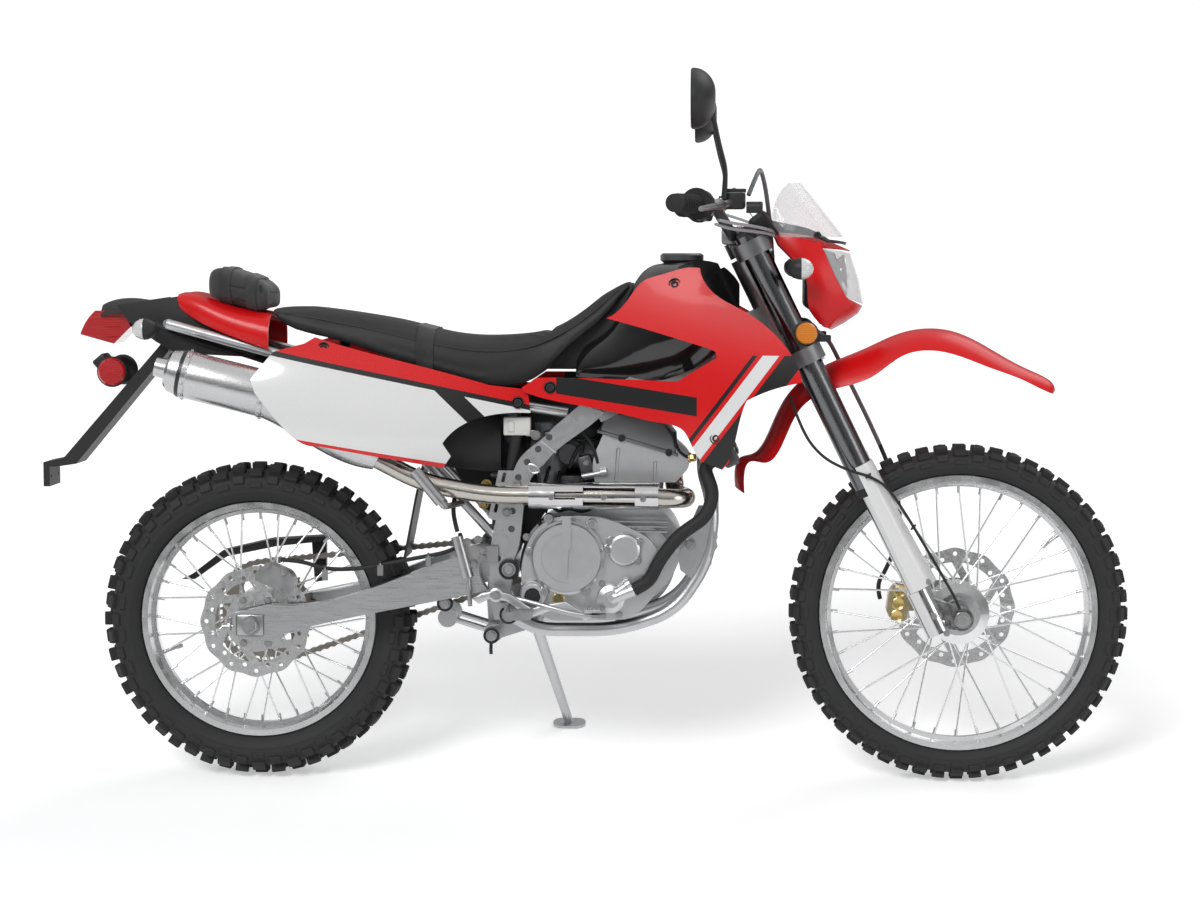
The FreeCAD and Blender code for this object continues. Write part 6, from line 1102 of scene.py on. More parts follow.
class MOTO_OT_tool_bag(bpy.types.Operator):
    """Fill the tool bag and add its zip, seams and straps"""
    bl_idname = "moto.tool_bag"
    bl_label = "Tool bag"

    def execute(self, context):
        bag = merged_copy("tool_bag")
        set_place(bag, UPRIGHT)
        swelled(bag, 0.005, 0.007, lambda place: place.z < bag_base(place.x), 0.003)
        straps = [strap_over(bag, low, low + 0.020, 0.0025) for low in (-0.062, -0.010)]
        finer(bag)
        seams = []
        for low, high, drop in ((-86, 30, 16), (-84, 28, 40)):
            loop = [(low, 0), (low + 4, 50), (low + 20, 74), ((low + high) / 2, 84),
                    (high - 16, 80), (high, 60), (high + 4, 0)]
            path = [(x, y, 1030 - drop - (x + 80) * 0.19) for x, y in loop]
            path += [(x, -y, z) for x, y, z in reversed(path[1:-1])]
            seams.append(tube(along_surface(bag, path, 0.0006), 0.0036, cyclic=True))
        pull = block((0.004, 0.003, 0.016), bevel=0.001)
        set_place(pull, Matrix.Translation(along_surface(bag, [(20, -82, 1000)], 0.002)[0]))
        mount(bag, "bag_body", "chassis", "cloth", smooth=60.0)
        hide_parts("tool_bag")
        mount(straps, "bag_straps", "chassis", "webbing", smooth=50.0)
        mount(seams + [pull], "bag_seams", "chassis", "rubber")
        return {"FINISHED"}


def bag_base(x):
    """The height, in metres, below which the bag lies flat on the tail."""
    return 0.966 - (x + 0.08) * 0.26


# Engine
CLUTCH_EARS = [(604, 544), (690, 534), (566, 475), (594, 396), (677, 396), (721, 481)]
FILTER_EARS = [(785, 496), (728, 498), (781, 460)]
COVER_BOLTS = [(559, 505), (711, 412), (690, 356), (745, 350), (797, 428), (586, 362)]
CAM_COVER = [(703, 715), (712, 744), (728, 752), (828, 741), (856, 704), (858, 668), (846, 671)]
CAM_LIP = [(699, 712), (699, 718), (861, 671), (861, 664)]
MAGNETO_BOLTS = [(756, 540), (820, 503), (820, 429), (756, 392), (692, 429), (692, 503)]


class MOTO_OT_engine_fittings(bpy.types.Operator):
    """Add the engine's bolts, plugs, windows, ribs, cam cover and pipes"""
    bl_idname = "moto.engine_fittings"
    bl_label = "Engine fittings"

    def execute(self, context):
        ears = rows(turned([(0.0, 0.0105), (0.015, 0.0095), (0.0165, 0.0085)], 20),
                    [(x, -124, z) for x, z in CLUTCH_EARS])
        gland = aimed(turned([(0.0, 0.013), (0.004, 0.013), (0.004, 0.0108), (0.022, 0.0108),
            (0.024, 0.0124), (0.034, 0.0124)], 24), (741, -139, 395), (0.80, 0.0, 0.58))
        pump_nut = rows(bolt_head(0.0078, 0.008), [(728, -147, 386)])
        fill_ring = rows(turned([(0.0, 0.024), (0.006, 0.024), (0.008, 0.022), (0.008, 0.0165),
                                 (0.004, 0.0160)], 32), [(572, -135, 388)])
        case_ribs = [shifted(block((0.118, 0.014, 0.0035), bevel=0.001), 782, -112, z)
                     for z in (516, 526, 536)]
        mount([ears, gland, pump_nut, fill_ring] + case_ribs, "cover_bosses", "chassis", "cover")
        bolts = [rows(bolt_head(0.0056), [(x, -140, z) for x, z in CLUTCH_EARS]),
                 rows(bolt_head(0.0050), [(x, -133, z) for x, z in FILTER_EARS]),
                 rows(bolt_head(0.0056), [(x, -124, z) for x, z in COVER_BOLTS]),
                 rows(bolt_head(0.0056), [(x, 121, z) for x, z in MAGNETO_BOLTS], LEFT),
                 rows(bolt_head(0.009), [(712, -90, 527), (712, -90, 500)])]
        mount(bolts, "cover_bolts", "chassis", "steel")
        dark = [rows(turned([(0.0, 0.0158), (0.006, 0.0158), (0.008, 0.014)], 28),
                     [(572, -133, 388)]),
                rows(turned([(0.0, 0.0070), (0.003, 0.0070), (0.004, 0.005)], 20),
                     [(748, -82, 701), (843, -82, 672)])]
        plug_lead = hose([(854, -84, 715), (856, -86, 690), (868, -85, 668), (884, -78, 662)],
                         0.006)
        cap = hose([(640, -72, 560), (662, -84, 600), (670, -84, 624)], 0.007)
        mount(dark + [plug_lead, cap], "engine_plugs", "chassis", "rubber")
        window = rows(turned([(0.0, 0.0125), (0.004, 0.0125), (0.005, 0.0110), (0.005, 0.0096),
                              (0.003, 0.0092)], 28), [(623, -124, 381)])
        sender = aimed(bolt_head(0.008, 0.014), (884, -76, 662), (1.0, -0.2, 0.0))
        mount([window, sender], "gilt_fittings", "chassis", "brass")
        glass = rows(turned([(0.0, 0.0094), (0.0034, 0.0094), (0.004, 0.008)], 24),
                     [(623, -124, 381)])
        mount(glass, "oil_window", "chassis", "oil_glass")
        self.head(context)
        return {"FINISHED"}

    def head(self, context):
        """The cam cover, the ribs of the head and the pipe to the plug."""
        cover = cut_plate(CAM_COVER, 0.163, edge=0.006)
        lip = cut_plate(CAM_LIP, 0.168, edge=0.001)
        mount([cover, lip], "cam_cover", "chassis", "head_dark")
        ribs = []
        for x, low, high, lean in ((739, 612, 682, 4.0), (815, 606, 656, 2.0)):
            for side in (-1.0, 1.0):
                rib = block((0.017, 0.016, (high - low) * 0.001), bevel=0.002, taper=0.45)
                ribs.append(tilted(rib, (x, side * 76, (low + high) / 2), lean))
        pipe = hose([(668, -84, 624), (717, -80, 633)], 0.011, roundness=3)
        foot = aimed(turned([(0.0, 0.009), (0.012, 0.009), (0.014, 0.007)], 20), (706, -80, 631),
                     (1.0, 0.0, 0.2))
        mount(ribs + [pipe, foot], "head_ribs", "chassis", "cast")


# Frame and chassis fittings
LOOMS = [
    (0.009, [(524, -96, 634), (520, -92, 600), (508, -84, 560), (500, -78, 520)]),
    (0.006, [(607, -90, 566), (618, -92, 550), (640, -90, 561), (672, -90, 550),
             (690, -84, 560)]),
    (0.007, [(650, -84, 748), (668, -86, 712), (690, -82, 690), (700, -76, 650)]),
    (0.006, [(560, -90, 505), (548, -94, 470), (546, -98, 430), (556, -100, 400)]),
    (0.008, [(600, 90, 566), (622, 96, 590), (640, 92, 640), (650, 84, 720)]),
    (0.007, [(486, -80, 300), (482, -84, 280), (484, -88, 262)])]
REAR_BRAKE_LINES = [
    (0.0085, [(58, -92, 452), (96, -96, 452), (150, -100, 434), (220, -102, 436),
              (268, -103, 446), (340, -104, 460), (400, -110, 472), (430, -124, 492),
              (426, -132, 512)]),
    (0.0090, [(421, -132, 516), (414, -128, 540), (411, -120, 566), (416, -112, 600)])]


class MOTO_OT_frame_fittings(bpy.types.Operator):
    """Add the frame's bolts, welds, wiring, brake lines and link bushes"""
    bl_idname = "moto.frame_fittings"
    bl_label = "Frame fittings"

    def execute(self, context):
        bolts = [rows(bolt_head(0.0075), [(540, -113, 610), (519, -113, 554), (577, -112, 709)]),
                 rows(bolt_head(0.0110, 0.010), [(523, -122, 439), (522, -114, 346)]),
                 rows(bolt_head(0.0085), [(864, -89, 491), (886, -89, 488)]),
                 rows(bolt_head(0.0065), [(407, -108, 594), (391, -108, 572)]),
                 rows(bolt_head(0.0060), [(462, -128, 500), (440, -128, 495), (470, -128, 478),
                                          (470, -128, 462), (453, -128, 449)]),
                 rows(bolt_head(0.0095, 0.009), [(392, -103, 367), (486, -103, 302)]),
                 rows(bolt_head(0.0075), [(540, 113, 610), (519, 113, 554)], LEFT),
                 rows(bolt_head(0.0095, 0.009), [(392, 103, 367), (486, 103, 302)], LEFT),
                 rows(bolt_head(0.0110, 0.010), [(522, 114, 346)], LEFT)]
        mount(bolts, "frame_bolts", "chassis", "steel")
        welds = [hose([(588, -113, 697), (604, -114, 686), (618, -113, 674)], 0.0045),
                 hose([(560, -114, 652), (580, -116, 648), (586, -116, 634), (568, -115, 632)],
                      0.0050, cyclic=True)]
        mount(welds, "frame_welds", "chassis", "frame")
        bushes = []
        for x, z in ((392, 367), (486, 302)):
            for side in (-1.0, 1.0):
                bushes.append(aimed(ring(0.0135, 0.0032, 28, 8), (x, side * 102.6, z), RIGHT))
        for x, y, z, radius in ((523, -120.5, 439, 0.0175), (522, -113, 346, 0.016)):
            bushes.append(aimed(ring(radius, 0.003, 30, 8), (x, y, z), RIGHT))
        mount(bushes, "rubber_bushes", "chassis", "rubber")
        self.wiring(context)
        self.rear_brake_line(context)
        return {"FINISHED"}

    def wiring(self, context):
        """The white connector, its boot and the small looms beside the spar."""
        plug = shifted(block((0.054, 0.024, 0.036), bevel=0.0025, segments=2), 539, -98, 726)
        tab = shifted(block((0.020, 0.006, 0.012), bevel=0.0015), 566, -100, 712)
        latch = shifted(block((0.012, 0.006, 0.022), bevel=0.0015), 528, -110, 726)
        mount([plug, tab, latch], "loom_connector", "chassis", "pale_plastic")
        boot = aimed(turned([(0.0, 0.0115), (0.03, 0.0105), (0.06, 0.0095), (0.078, 0.0070)], 20),
                     (537, -98, 708), (-0.17, 0.02, -1.0))
        looms = hoses(LOOMS)
        mount([boot] + looms, "looms", "chassis", "rubber")

    def rear_brake_line(self, context):
        """The rear brake hose along the arm and its feed from the reservoir."""
        lines = hoses(REAR_BRAKE_LINES)
        mount(lines, "rear_brake_hose", "chassis", "rubber")
        clips = []
        for x, z in ((150, 430), (262, 440), (360, 458)):
            clips += [aimed(ring(0.0062, 0.0022, 16, 6), (x, -103, z + 4), (1.0, 0.0, 0.2)),
                      shifted(block((0.012, 0.003, 0.022), bevel=0.0008), x, -110, z - 6)]
        mount(clips, "hose_clips", "chassis", "steel")


SHOCK_LOW = (480, 0, 386)
SHOCK_HIGH = (524, 0, 770)


class MOTO_OT_shock(bpy.types.Operator):
    """Build the damper and its coil spring"""
    bl_idname = "moto.shock"
    bl_label = "Shock absorber"

    def execute(self, context):
        low, high = mm(*SHOCK_LOW), mm(*SHOCK_HIGH)
        run = high - low
        length = run.length
        place = facing(low, run)
        body = turned([(0.0, 0.011), (length * 0.24, 0.011), (length * 0.24, 0.032),
                       (length * 0.27, 0.033), (length * 0.29, 0.027), (length * 0.31, 0.017),
                       (length * 0.72, 0.017), (length * 0.76, 0.027), (length * 0.78, 0.033),
                       (length * 0.82, 0.033), (length * 0.83, 0.020), (length * 0.95, 0.018)], 32)
        eye = turned([(-0.013, 0.007), (-0.013, 0.016), (0.013, 0.016), (0.013, 0.007)], 28)
        set_place(body, place)
        aimed(eye, SHOCK_HIGH, RIGHT)
        damper = mount([body, eye], "rear_damper", "chassis", "dark_metal")
        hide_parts("shock_absorber")
        spring = coil(0.0265, 0.0105, 7.0, length * 0.49)
        set_place(spring, place @ Matrix.Translation((0.0, 0.0, length * 0.285)))
        mount(spring, "rear_spring", "chassis", "spring")
        return {"FINISHED"}


# Exhaust
SILENCER_FRONT = mm(40, -134, 790)
SILENCER_BACK = mm(-128, -138, 832)
SILENCER_RUN = (SILENCER_BACK - SILENCER_FRONT).normalized()
BAND_SHARES = (0.03, 0.955)
SILENCER_BAND = [(-0.006, 0.0482), (-0.005, 0.0492), (0.005, 0.0492), (0.006, 0.0482)]


class MOTO_OT_exhaust_fittings(bpy.types.Operator):
    """Add the shield's screws, the silencer's bands, rivets and outlet"""
    bl_idname = "moto.exhaust_fittings"
    bl_label = "Exhaust fittings"

    def execute(self, context):
        screws = rows(socket_head(0.0062, 0.006), [(612, -167, 590), (716, -167, 590),
                                                   (794, -167, 587)])
        nuts = [aimed(bolt_head(0.006), (846, y, 640), (0.4, 0.0, -1.0)) for y in (-24, 24)]
        mount([screws] + nuts, "shield_screws", "chassis", "steel")
        outlet = turned([(-0.020, 0.040), (-0.006, 0.0405), (0.004, 0.0395), (0.010, 0.034),
                         (0.011, 0.0205), (0.034, 0.0195), (0.034, 0.0165), (-0.01, 0.0165)], 48)
        aimed(outlet, (-150, -139, 838), SILENCER_RUN)
        bands = [set_place(turned(SILENCER_BAND, 64), self.at_share(share))
                 for share in BAND_SHARES]
        mount([outlet] + bands, "silencer_bands", "chassis", "silencer")
        rivets = []
        for share in BAND_SHARES:
            rivet = set_place(turned([(0.0, 0.0036), (0.0012, 0.0034), (0.0022, 0.002)], 12),
                              facing((0.0495, 0.0, 0.0), AHEAD))
            set_place(rivet, turn_about("X", 90.0))
            round_ring = ring_array(rivet, 10)
            rivets.append(set_place(round_ring, self.at_share(share) @ turn_about("X", -90.0)))
        mount(rivets, "silencer_rivets", "chassis", "steel")
        return {"FINISHED"}

    def at_share(self, share):
        """The place at a share of the silencer's length."""
        return facing(SILENCER_FRONT.lerp(SILENCER_BACK, share), SILENCER_RUN)


# Panels
PANEL_SCREWS = [(319, -163, 673), (543, -131, 775), (608, -141, 806), (938, -171, 708),
                (855, -133, 1011), (157, -150, 884)]


class MOTO_OT_panel_fittings(bpy.types.Operator):
    """Add the screws of the shrouds and side panels on both sides"""
    bl_idname = "moto.panel_fittings"
    bl_label = "Panel fittings"

    def execute(self, context):
        places = [(x, y + 1.0, z) for x, y, z in PANEL_SCREWS]
        collars = rows(turned([(0.0, 0.0125), (0.002, 0.0120), (0.0032, 0.0105), (0.0012, 0.0098),
                               (0.0, 0.0095)], 32), places)
        collars = on_both_sides(collars)
        mount(collars, "screw_collars", "chassis", "black")
        screws = rows(socket_head(0.0078, 0.0048), places)
        mount(on_both_sides(screws), "panel_screws", "chassis", "dark_steel")
        return {"FINISHED"}


# Lamps, cowl and screen
def skinned(rows_of_points, wall):
    """A curved shell through rows of points in millimetres, each row a smooth line."""
    lines = []
    for row in rows_of_points:
        line = new_curve([mm(*point) for point in row])
        line.data.splines[0].resolution_u = 4
        lines.append(meshed(line))
    shell = take(joined(lines))
    with Editing():
        bpy.ops.mesh.bridge_edge_loops()
        bpy.ops.mesh.select_all(action="SELECT")
        bpy.ops.mesh.normals_make_consistent(inside=False)
    return walled(shell, wall)


def across(half_row):
    """A row from the right side to the left through its middle point."""
    return half_row + [(x, -y, z) for x, y, z in reversed(half_row[:-1])]


CHEEK_ROWS = [
    [(1052, -92, 1110), (1085, -99, 1106), (1115, -98, 1098), (1144, -88, 1092)],
    [(1062, -99, 1088), (1090, -106, 1086), (1120, -104, 1084), (1148, -92, 1081)],
    [(1086, -103, 1064), (1105, -109, 1062), (1132, -106, 1059), (1159, -94, 1056)],
    [(1114, -105, 1036), (1125, -110, 1035), (1146, -106, 1033), (1171, -93, 1031)],
    [(1118, -104, 1005), (1132, -109, 1005), (1156, -103, 1005), (1184, -88, 1005)],
    [(1119, -100, 980), (1136, -105, 980), (1164, -98, 981), (1197, -81, 983)],
    [(1122, -96, 964), (1142, -100, 963), (1170, -92, 964), (1205, -72, 970)],
    [(1136, -90, 944), (1148, -92, 942), (1162, -88, 942), (1178, -76, 943)],
    [(1150, -82, 927), (1154, -82, 925), (1158, -80, 924), (1162, -76, 923)]]
BROW_ROWS = [
    across([(1058, -92, 1108), (1058, -50, 1114), (1058, 0, 1115)]),
    across([(1108, -97, 1100), (1108, -50, 1108), (1110, 0, 1109)]),
    across([(1144, -89, 1092), (1152, -46, 1097), (1158, 0, 1098)]),
    across([(1149, -88, 1083), (1190, -50, 1081), (1212, 0, 1075)])]
CHIN_ROWS = [
    across([(1197, -81, 983), (1224, -46, 970), (1234, 0, 965)]),
    across([(1203, -72, 970), (1218, -42, 955), (1224, 0, 950)]),
    across([(1178, -76, 943), (1190, -40, 934), (1196, 0, 931)]),
    across([(1158, -78, 924), (1166, -36, 920), (1170, 0, 918)])]
LENS_ROWS = [
    across([(1150, -87, 1081), (1194, -52, 1076), (1212, 0, 1068)]),
    across([(1172, -90, 1031), (1214, -54, 1020), (1230, 0, 1014)]),
    across([(1196, -80, 984), (1226, -46, 973), (1237, 0, 967)])]


class MOTO_OT_lamp_cowl(bpy.types.Operator):
    """Build the red lamp cowl with its lens, reflector and dark rim"""
    bl_idname = "moto.lamp_cowl"
    bl_label = "Lamp cowl"

    def execute(self, context):
        cheeks = on_both_sides(skinned(CHEEK_ROWS, 0.003))
        cowl = joined([cheeks, skinned(BROW_ROWS, 0.003), skinned(CHIN_ROWS, 0.003)])
        mount(cowl, "lamp_cowl", "fork", "red", smooth=40.0)
        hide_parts("headlight_cowl")
        lens = skinned(LENS_ROWS, 0.002)
        mount(lens, "lamp_lens", "fork", "lens", smooth=50.0)
        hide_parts("headlight")
        bowl = skinned([[(x - 30, y * 0.80, 1025 + (z - 1025) * 0.82) for x, y, z in row]
                        for row in LENS_ROWS], 0.002)
        cup = aimed(turned([(0.0, 0.012), (0.012, 0.030), (0.034, 0.043), (0.036, 0.041),
                            (0.014, 0.026), (0.006, 0.008)], 40), (1164, 0, 1024), (1.0, 0.0, 0.1))
        bulb = aimed(turned([(0.0, 0.008), (0.020, 0.008), (0.028, 0.005), (0.030, 0.001)], 20),
                     (1176, 0, 1024), (1.0, 0.0, 0.1))
        mount([bowl, cup, bulb], "lamp_reflector", "fork", "reflector", smooth=50.0)
        rims = []
        for side in (1, -1):
            rims.append(skinned([
                [(1151, side * 84, 1079), (1172, side * 87, 1031), (1195, side * 77, 985)],
                [(1172, side * 68, 1072), (1192, side * 70, 1029), (1183, side * 74, 1000)]],
                0.0015))
        back = shifted(block((0.030, 0.180, 0.130), bevel=0.012, segments=3), 1128, 0, 1025)
        mount(rims + [back], "lamp_housing", "fork", "black")
        return {"FINISHED"}


def signal(centre, forward):
    """A signal lamp: its dark bowl, its clear lens and its rubber stalk."""
    x, y, z = centre
    bowl = turned([(0.0, 0.004), (0.002, 0.010), (0.010, 0.0175), (0.020, 0.0208),
                   (0.027, 0.0218)], 32)
    lens = turned([(0.0265, 0.0216), (0.034, 0.0208), (0.043, 0.0165), (0.049, 0.0095),
                   (0.0515, 0.001)], 32)
    place = facing(mm(x - forward * 26, y, z), (forward, 0.0, 0.0))
    set_place(bowl, place)
    set_place(lens, place)
    side = 1.0 if y > 0 else -1.0
    stalk = hose([(x - forward * 8, y - side * 16, z), (x - forward * 8, y - side * 36, z - 1),
                  (x - forward * 8, y - side * 62, z - 2)], 0.0125, roundness=3)
    return joined([bowl, stalk]), lens


class MOTO_OT_signals(bpy.types.Operator):
    """Build the four signal lamps, the reflectors and the plate lamp"""
    bl_idname = "moto.signals"
    bl_label = "Signals and reflectors"

    def execute(self, context):
        for name, node, body, centre, forward in (
                ("front", "front_signals", "fork", (1103, 168, 1042), 1),
                ("rear", "rear_signals", "chassis", (-209, 118, 920), -1)):
            bowls, lenses = [], []
            for side in (1, -1):
                bowl, lens = signal((centre[0], side * centre[1], centre[2]), forward)
                bowls.append(bowl)
                lenses.append(lens)
            glass = joined(lenses)
            mount(bowls, name + "_signal_bowls", body, "black")
            mount(glass, name + "_signal_lenses", body, "clear_lens", smooth=50.0)
            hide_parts(node)
        disc = [(0.0, 0.0215), (0.006, 0.0215), (0.009, 0.019), (0.010, 0.001)]
        amber = on_both_sides(rows(turned(disc, 36), [(1116, -127, 914)]))
        mount(amber, "side_reflectors", "fork", "amber")
        rim = [(0.0, 0.0245), (0.007, 0.0245), (0.008, 0.0225)]
        cups = rows(turned(rim, 36), [(1116, -122, 914)])
        lugs = shifted(block((0.050, 0.006, 0.014), bevel=0.002), 1140, -120, 904)
        mount(on_both_sides(joined([cups, lugs])), "reflector_cups", "fork", "black")
        tail_disc = [(0.0, 0.0285), (0.006, 0.0285), (0.010, 0.025), (0.011, 0.001)]
        tail = on_both_sides(rows(turned(tail_disc, 36), [(-293, -47, 831)]))
        mount(tail, "tail_reflectors", "chassis", "red_lens")
        tail_cups = on_both_sides(rows(turned([(0.0, 0.026), (0.008, 0.0315), (0.010, 0.0300)],
                                              36), [(-293, -41, 831)]))
        plate_lamp = tilted(block((0.030, 0.052, 0.024), bevel=0.004, segments=2), (-322, 0, 850),
                            -40.0)
        stay = shifted(block((0.020, 0.080, 0.012), bevel=0.003), -293, 0, 831)
        mount([tail_cups, plate_lamp, stay], "plate_lamp", "chassis", "black")
        strips = []
        for z in (902, 922, 942):
            strip = shifted(block((0.062, 0.094, 0.002), bevel=0.0008), -306, 0, z)
            strips.append(strip)
        mount(strips, "tail_lamp_ribs", "chassis", "red_lens")
        return {"FINISHED"}


class MOTO_OT_screen(bpy.types.Operator):
    """Add the dark base strip of the screen, its screws and its edge strip"""
    bl_idname = "moto.screen"
    bl_label = "Screen fittings"

    def execute(self, context):
        strip = skinned([
            [(1040, -88, 1116), (1085, -98, 1112), (1132, -92, 1106), (1160, -80, 1094)],
            [(1046, -84, 1137), (1085, -92, 1129), (1130, -86, 1119), (1162, -74, 1098)]], 0.003)
        front = skinned([across([(1158, -80, 1094), (1184, -46, 1092), (1200, 0, 1088)]),
                         across([(1160, -74, 1099), (1186, -42, 1097), (1203, 0, 1093)])], 0.003)
        mount([on_both_sides(strip), front], "screen_strip", "fork", "black")
        screws = rows(socket_head(0.0072, 0.005), [(1138, -92, 1108)])
        mount(on_both_sides(screws), "screen_screws", "fork", "dark_steel")
        return {"FINISHED"}


# Handlebar
METER_TILT = -38.0
MIRROR_SHAPE = (0.98, 1.14, 1.0)
CABLES = [
    [(936, -300, 1128), (960, -262, 1120), (1000, -190, 1116), (1040, -120, 1112),
     (1062, -70, 1104)],
    [(942, -300, 1136), (968, -262, 1130), (1006, -190, 1126), (1044, -120, 1118),
     (1066, -66, 1110)],
    [(1018, -236, 1158), (1030, -210, 1150), (1040, -160, 1134), (1056, -104, 1116),
     (1066, -60, 1100)],
    [(930, 262, 1160), (965, 240, 1150), (1010, 180, 1134), (1046, 110, 1118),
     (1064, 60, 1104)]]


def bar_end(side):
    """The outer end of the bar on one side, and the direction inward along it."""
    end = mm(861, side * 400, 1167)
    return end, (mm(933, side * 184, 1167) - end).normalized()


def on_bar(piece, side, reach, offset=(0, 0, 0), axis=None):
    """Stand a piece on the bar, or beside it, along the bar or another axis."""
    end, inward = bar_end(side)
    return set_place(piece, facing(end + inward * reach + mm(*offset), axis or inward))


class MOTO_OT_cockpit(bpy.types.Operator):
    """Add the grips' ribs, the throttle, switches, reservoir, cables and mirror glass"""
    bl_idname = "moto.cockpit"
    bl_label = "Cockpit"

    def execute(self, context):
        soft, dark, cast_bits, steel_bits = [], [], [], []
        for side in (-1, 1):
            end, inward = bar_end(side)
            soft += [on_bar(ring(0.0166, 0.0019, 24, 6), side, 0.012 + index * 0.0105)
                     for index in range(10)]
            soft.append(set_place(turned([(0.0, 0.0175), (0.006, 0.0175), (0.010, 0.014),
                                          (0.0115, 0.001)], 24), facing(end, -inward)))
            soft.append(on_bar(turned([(0.0, 0.031), (0.003, 0.031), (0.006, 0.026)], 32),
                               side, 0.119))
            dark.append(on_bar(turned([(0.0, 0.024), (0.004, 0.0275), (0.024, 0.0275),
                                       (0.030, 0.022)], 28), side, 0.127))
            dark.append(on_bar(block((0.034, 0.032, 0.040), bevel=0.006, segments=2),
                               side, 0.142, (4, 0, -10)))
            steel_bits.append(on_bar(turned([(0.0, 0.006), (0.008, 0.006), (0.009, 0.004)], 16),
                                     side, 0.142, (-18, 0, -2), (-1.0, 0.0, 0.2)))
            cast_bits.append(on_bar(turned([(0.0, 0.0165), (0.002, 0.018), (0.020, 0.018),
                                            (0.022, 0.0165)], 24), side, 0.168))
            steel_bits.append(on_bar(bolt_head(0.006, 0.006), side, 0.165, (34, 0, 10), UP))
        lid = set_place(block((0.047, 0.067, 0.007), bevel=0.0025, segments=2),
                        Matrix.Translation(self.reservoir() + mm(0, 0, 33)))
        pot = set_place(block((0.0445, 0.0645, 0.034), bevel=0.006, segments=2),
                        Matrix.Translation(self.reservoir() + mm(0, 0, 14)))
        dark.extend([lid, pot])
        steel_bits += [set_place(socket_head(0.0034, 0.002),
                                 Matrix.Translation(self.reservoir() + mm(0, y, 36.5)))
                       for y in (-24, 24)]
        dark.append(aimed(turned([(0.0, 0.0105), (0.002, 0.0112), (0.030, 0.0112),
                                  (0.032, 0.0095)], 24), (995, -236, 1161), AHEAD))
        for y in (-46, 46):
            for x in (955, 983):
                steel_bits.append(aimed(socket_head(0.006, 0.006), (x, y, 1120), UP))
            cast_bits.append(shifted(block((0.044, 0.030, 0.034), bevel=0.006, segments=2), 969, y,
                                     1106))
        dark.append(tilted(block((0.052, 0.116, 0.052), bevel=0.010, taper=0.82, segments=3),
                           (1030, 0, 1128), METER_TILT))
        dark.append(aimed(turned([(0.0, 0.017), (0.030, 0.017), (0.032, 0.015)], 24),
                          (1004, 0, 1096), (-0.44, 0.0, 0.9)))
        mount(soft, "grip_ribs", "fork", "rubber")
        mount(dark, "cockpit_plastics", "fork", "black")
        mount(cast_bits, "bar_clamps", "fork", "clamp")
        mount(steel_bits, "cockpit_screws", "fork", "steel")
        glass = tilted(block((0.002, 0.082, 0.040), bevel=0.0006), (1012, 0, 1142), METER_TILT)
        mount(glass, "meter_glass", "fork", "oil_glass")
        self.cables(context)
        self.mirror_faces(context)
        return {"FINISHED"}

    def reservoir(self):
        """The place of the fluid reservoir."""
        end, inward = bar_end(-1)
        return end + inward * 0.160 + mm(60, 46, -6.3)

    def cables(self, context):
        """The throttle and clutch cables that run forward off the bar."""
        wires = [hose(run, 0.0062) for run in CABLES]
        mount(wires[:2] + wires[3:], "cables", "fork", "grey_cable")
        mount(wires[2], "switch_lead", "fork", "rubber")

    def mirror_faces(self, context):
        """The silvered faces, each set in a rim on the rider's side."""
        face = turned([(0.0, 0.054), (0.0016, 0.0535), (0.002, 0.001)], 48)
        rim = ring(0.0555, 0.0022, 56, 8)
        for piece, x in ((face, 890.5), (rim, 891)):
            piece.scale = MIRROR_SHAPE
            bake_place(piece)
            aimed(piece, (x, -330, 1365), BACK)
        mount(on_both_sides(face), "mirror_faces", "fork", "mirror")
        mount(on_both_sides(rim), "mirror_rims", "fork", "black")


# Fork and axles
SENSOR_LEAD = [(1084, -128, 790), (1107, -132, 721), (1146, -134, 670), (1197, -132, 643),
               (1243, -131, 631), (1279, -132, 610), (1321, -136, 546), (1362, -140, 478),
               (1395, -142, 421), (1412, -138, 392), (1424, -124, 366)]
CALIPER_HOSE = [(1276, 102, 676), (1296, 96, 630), (1312, 84, 580), (1318, 66, 520),
                (1308, 52, 470), (1286, 46, 420), (1268, 44, 390), (1276, 44, 362)]
LEG_FOOT = (1370.8, 343.0)
LEG_SLOPE = 0.48773
LEG_SPACING = 100


def leg_point(z, side, ahead=0.0):
    """A point on the axis of a fork leg, given its height in millimetres."""
    foot_x, foot_z = LEG_FOOT
    return mm(foot_x - LEG_SLOPE * (z - foot_z) + ahead, side * LEG_SPACING, z)


UP_LEG = (-0.43837, 0.0, 0.89879)


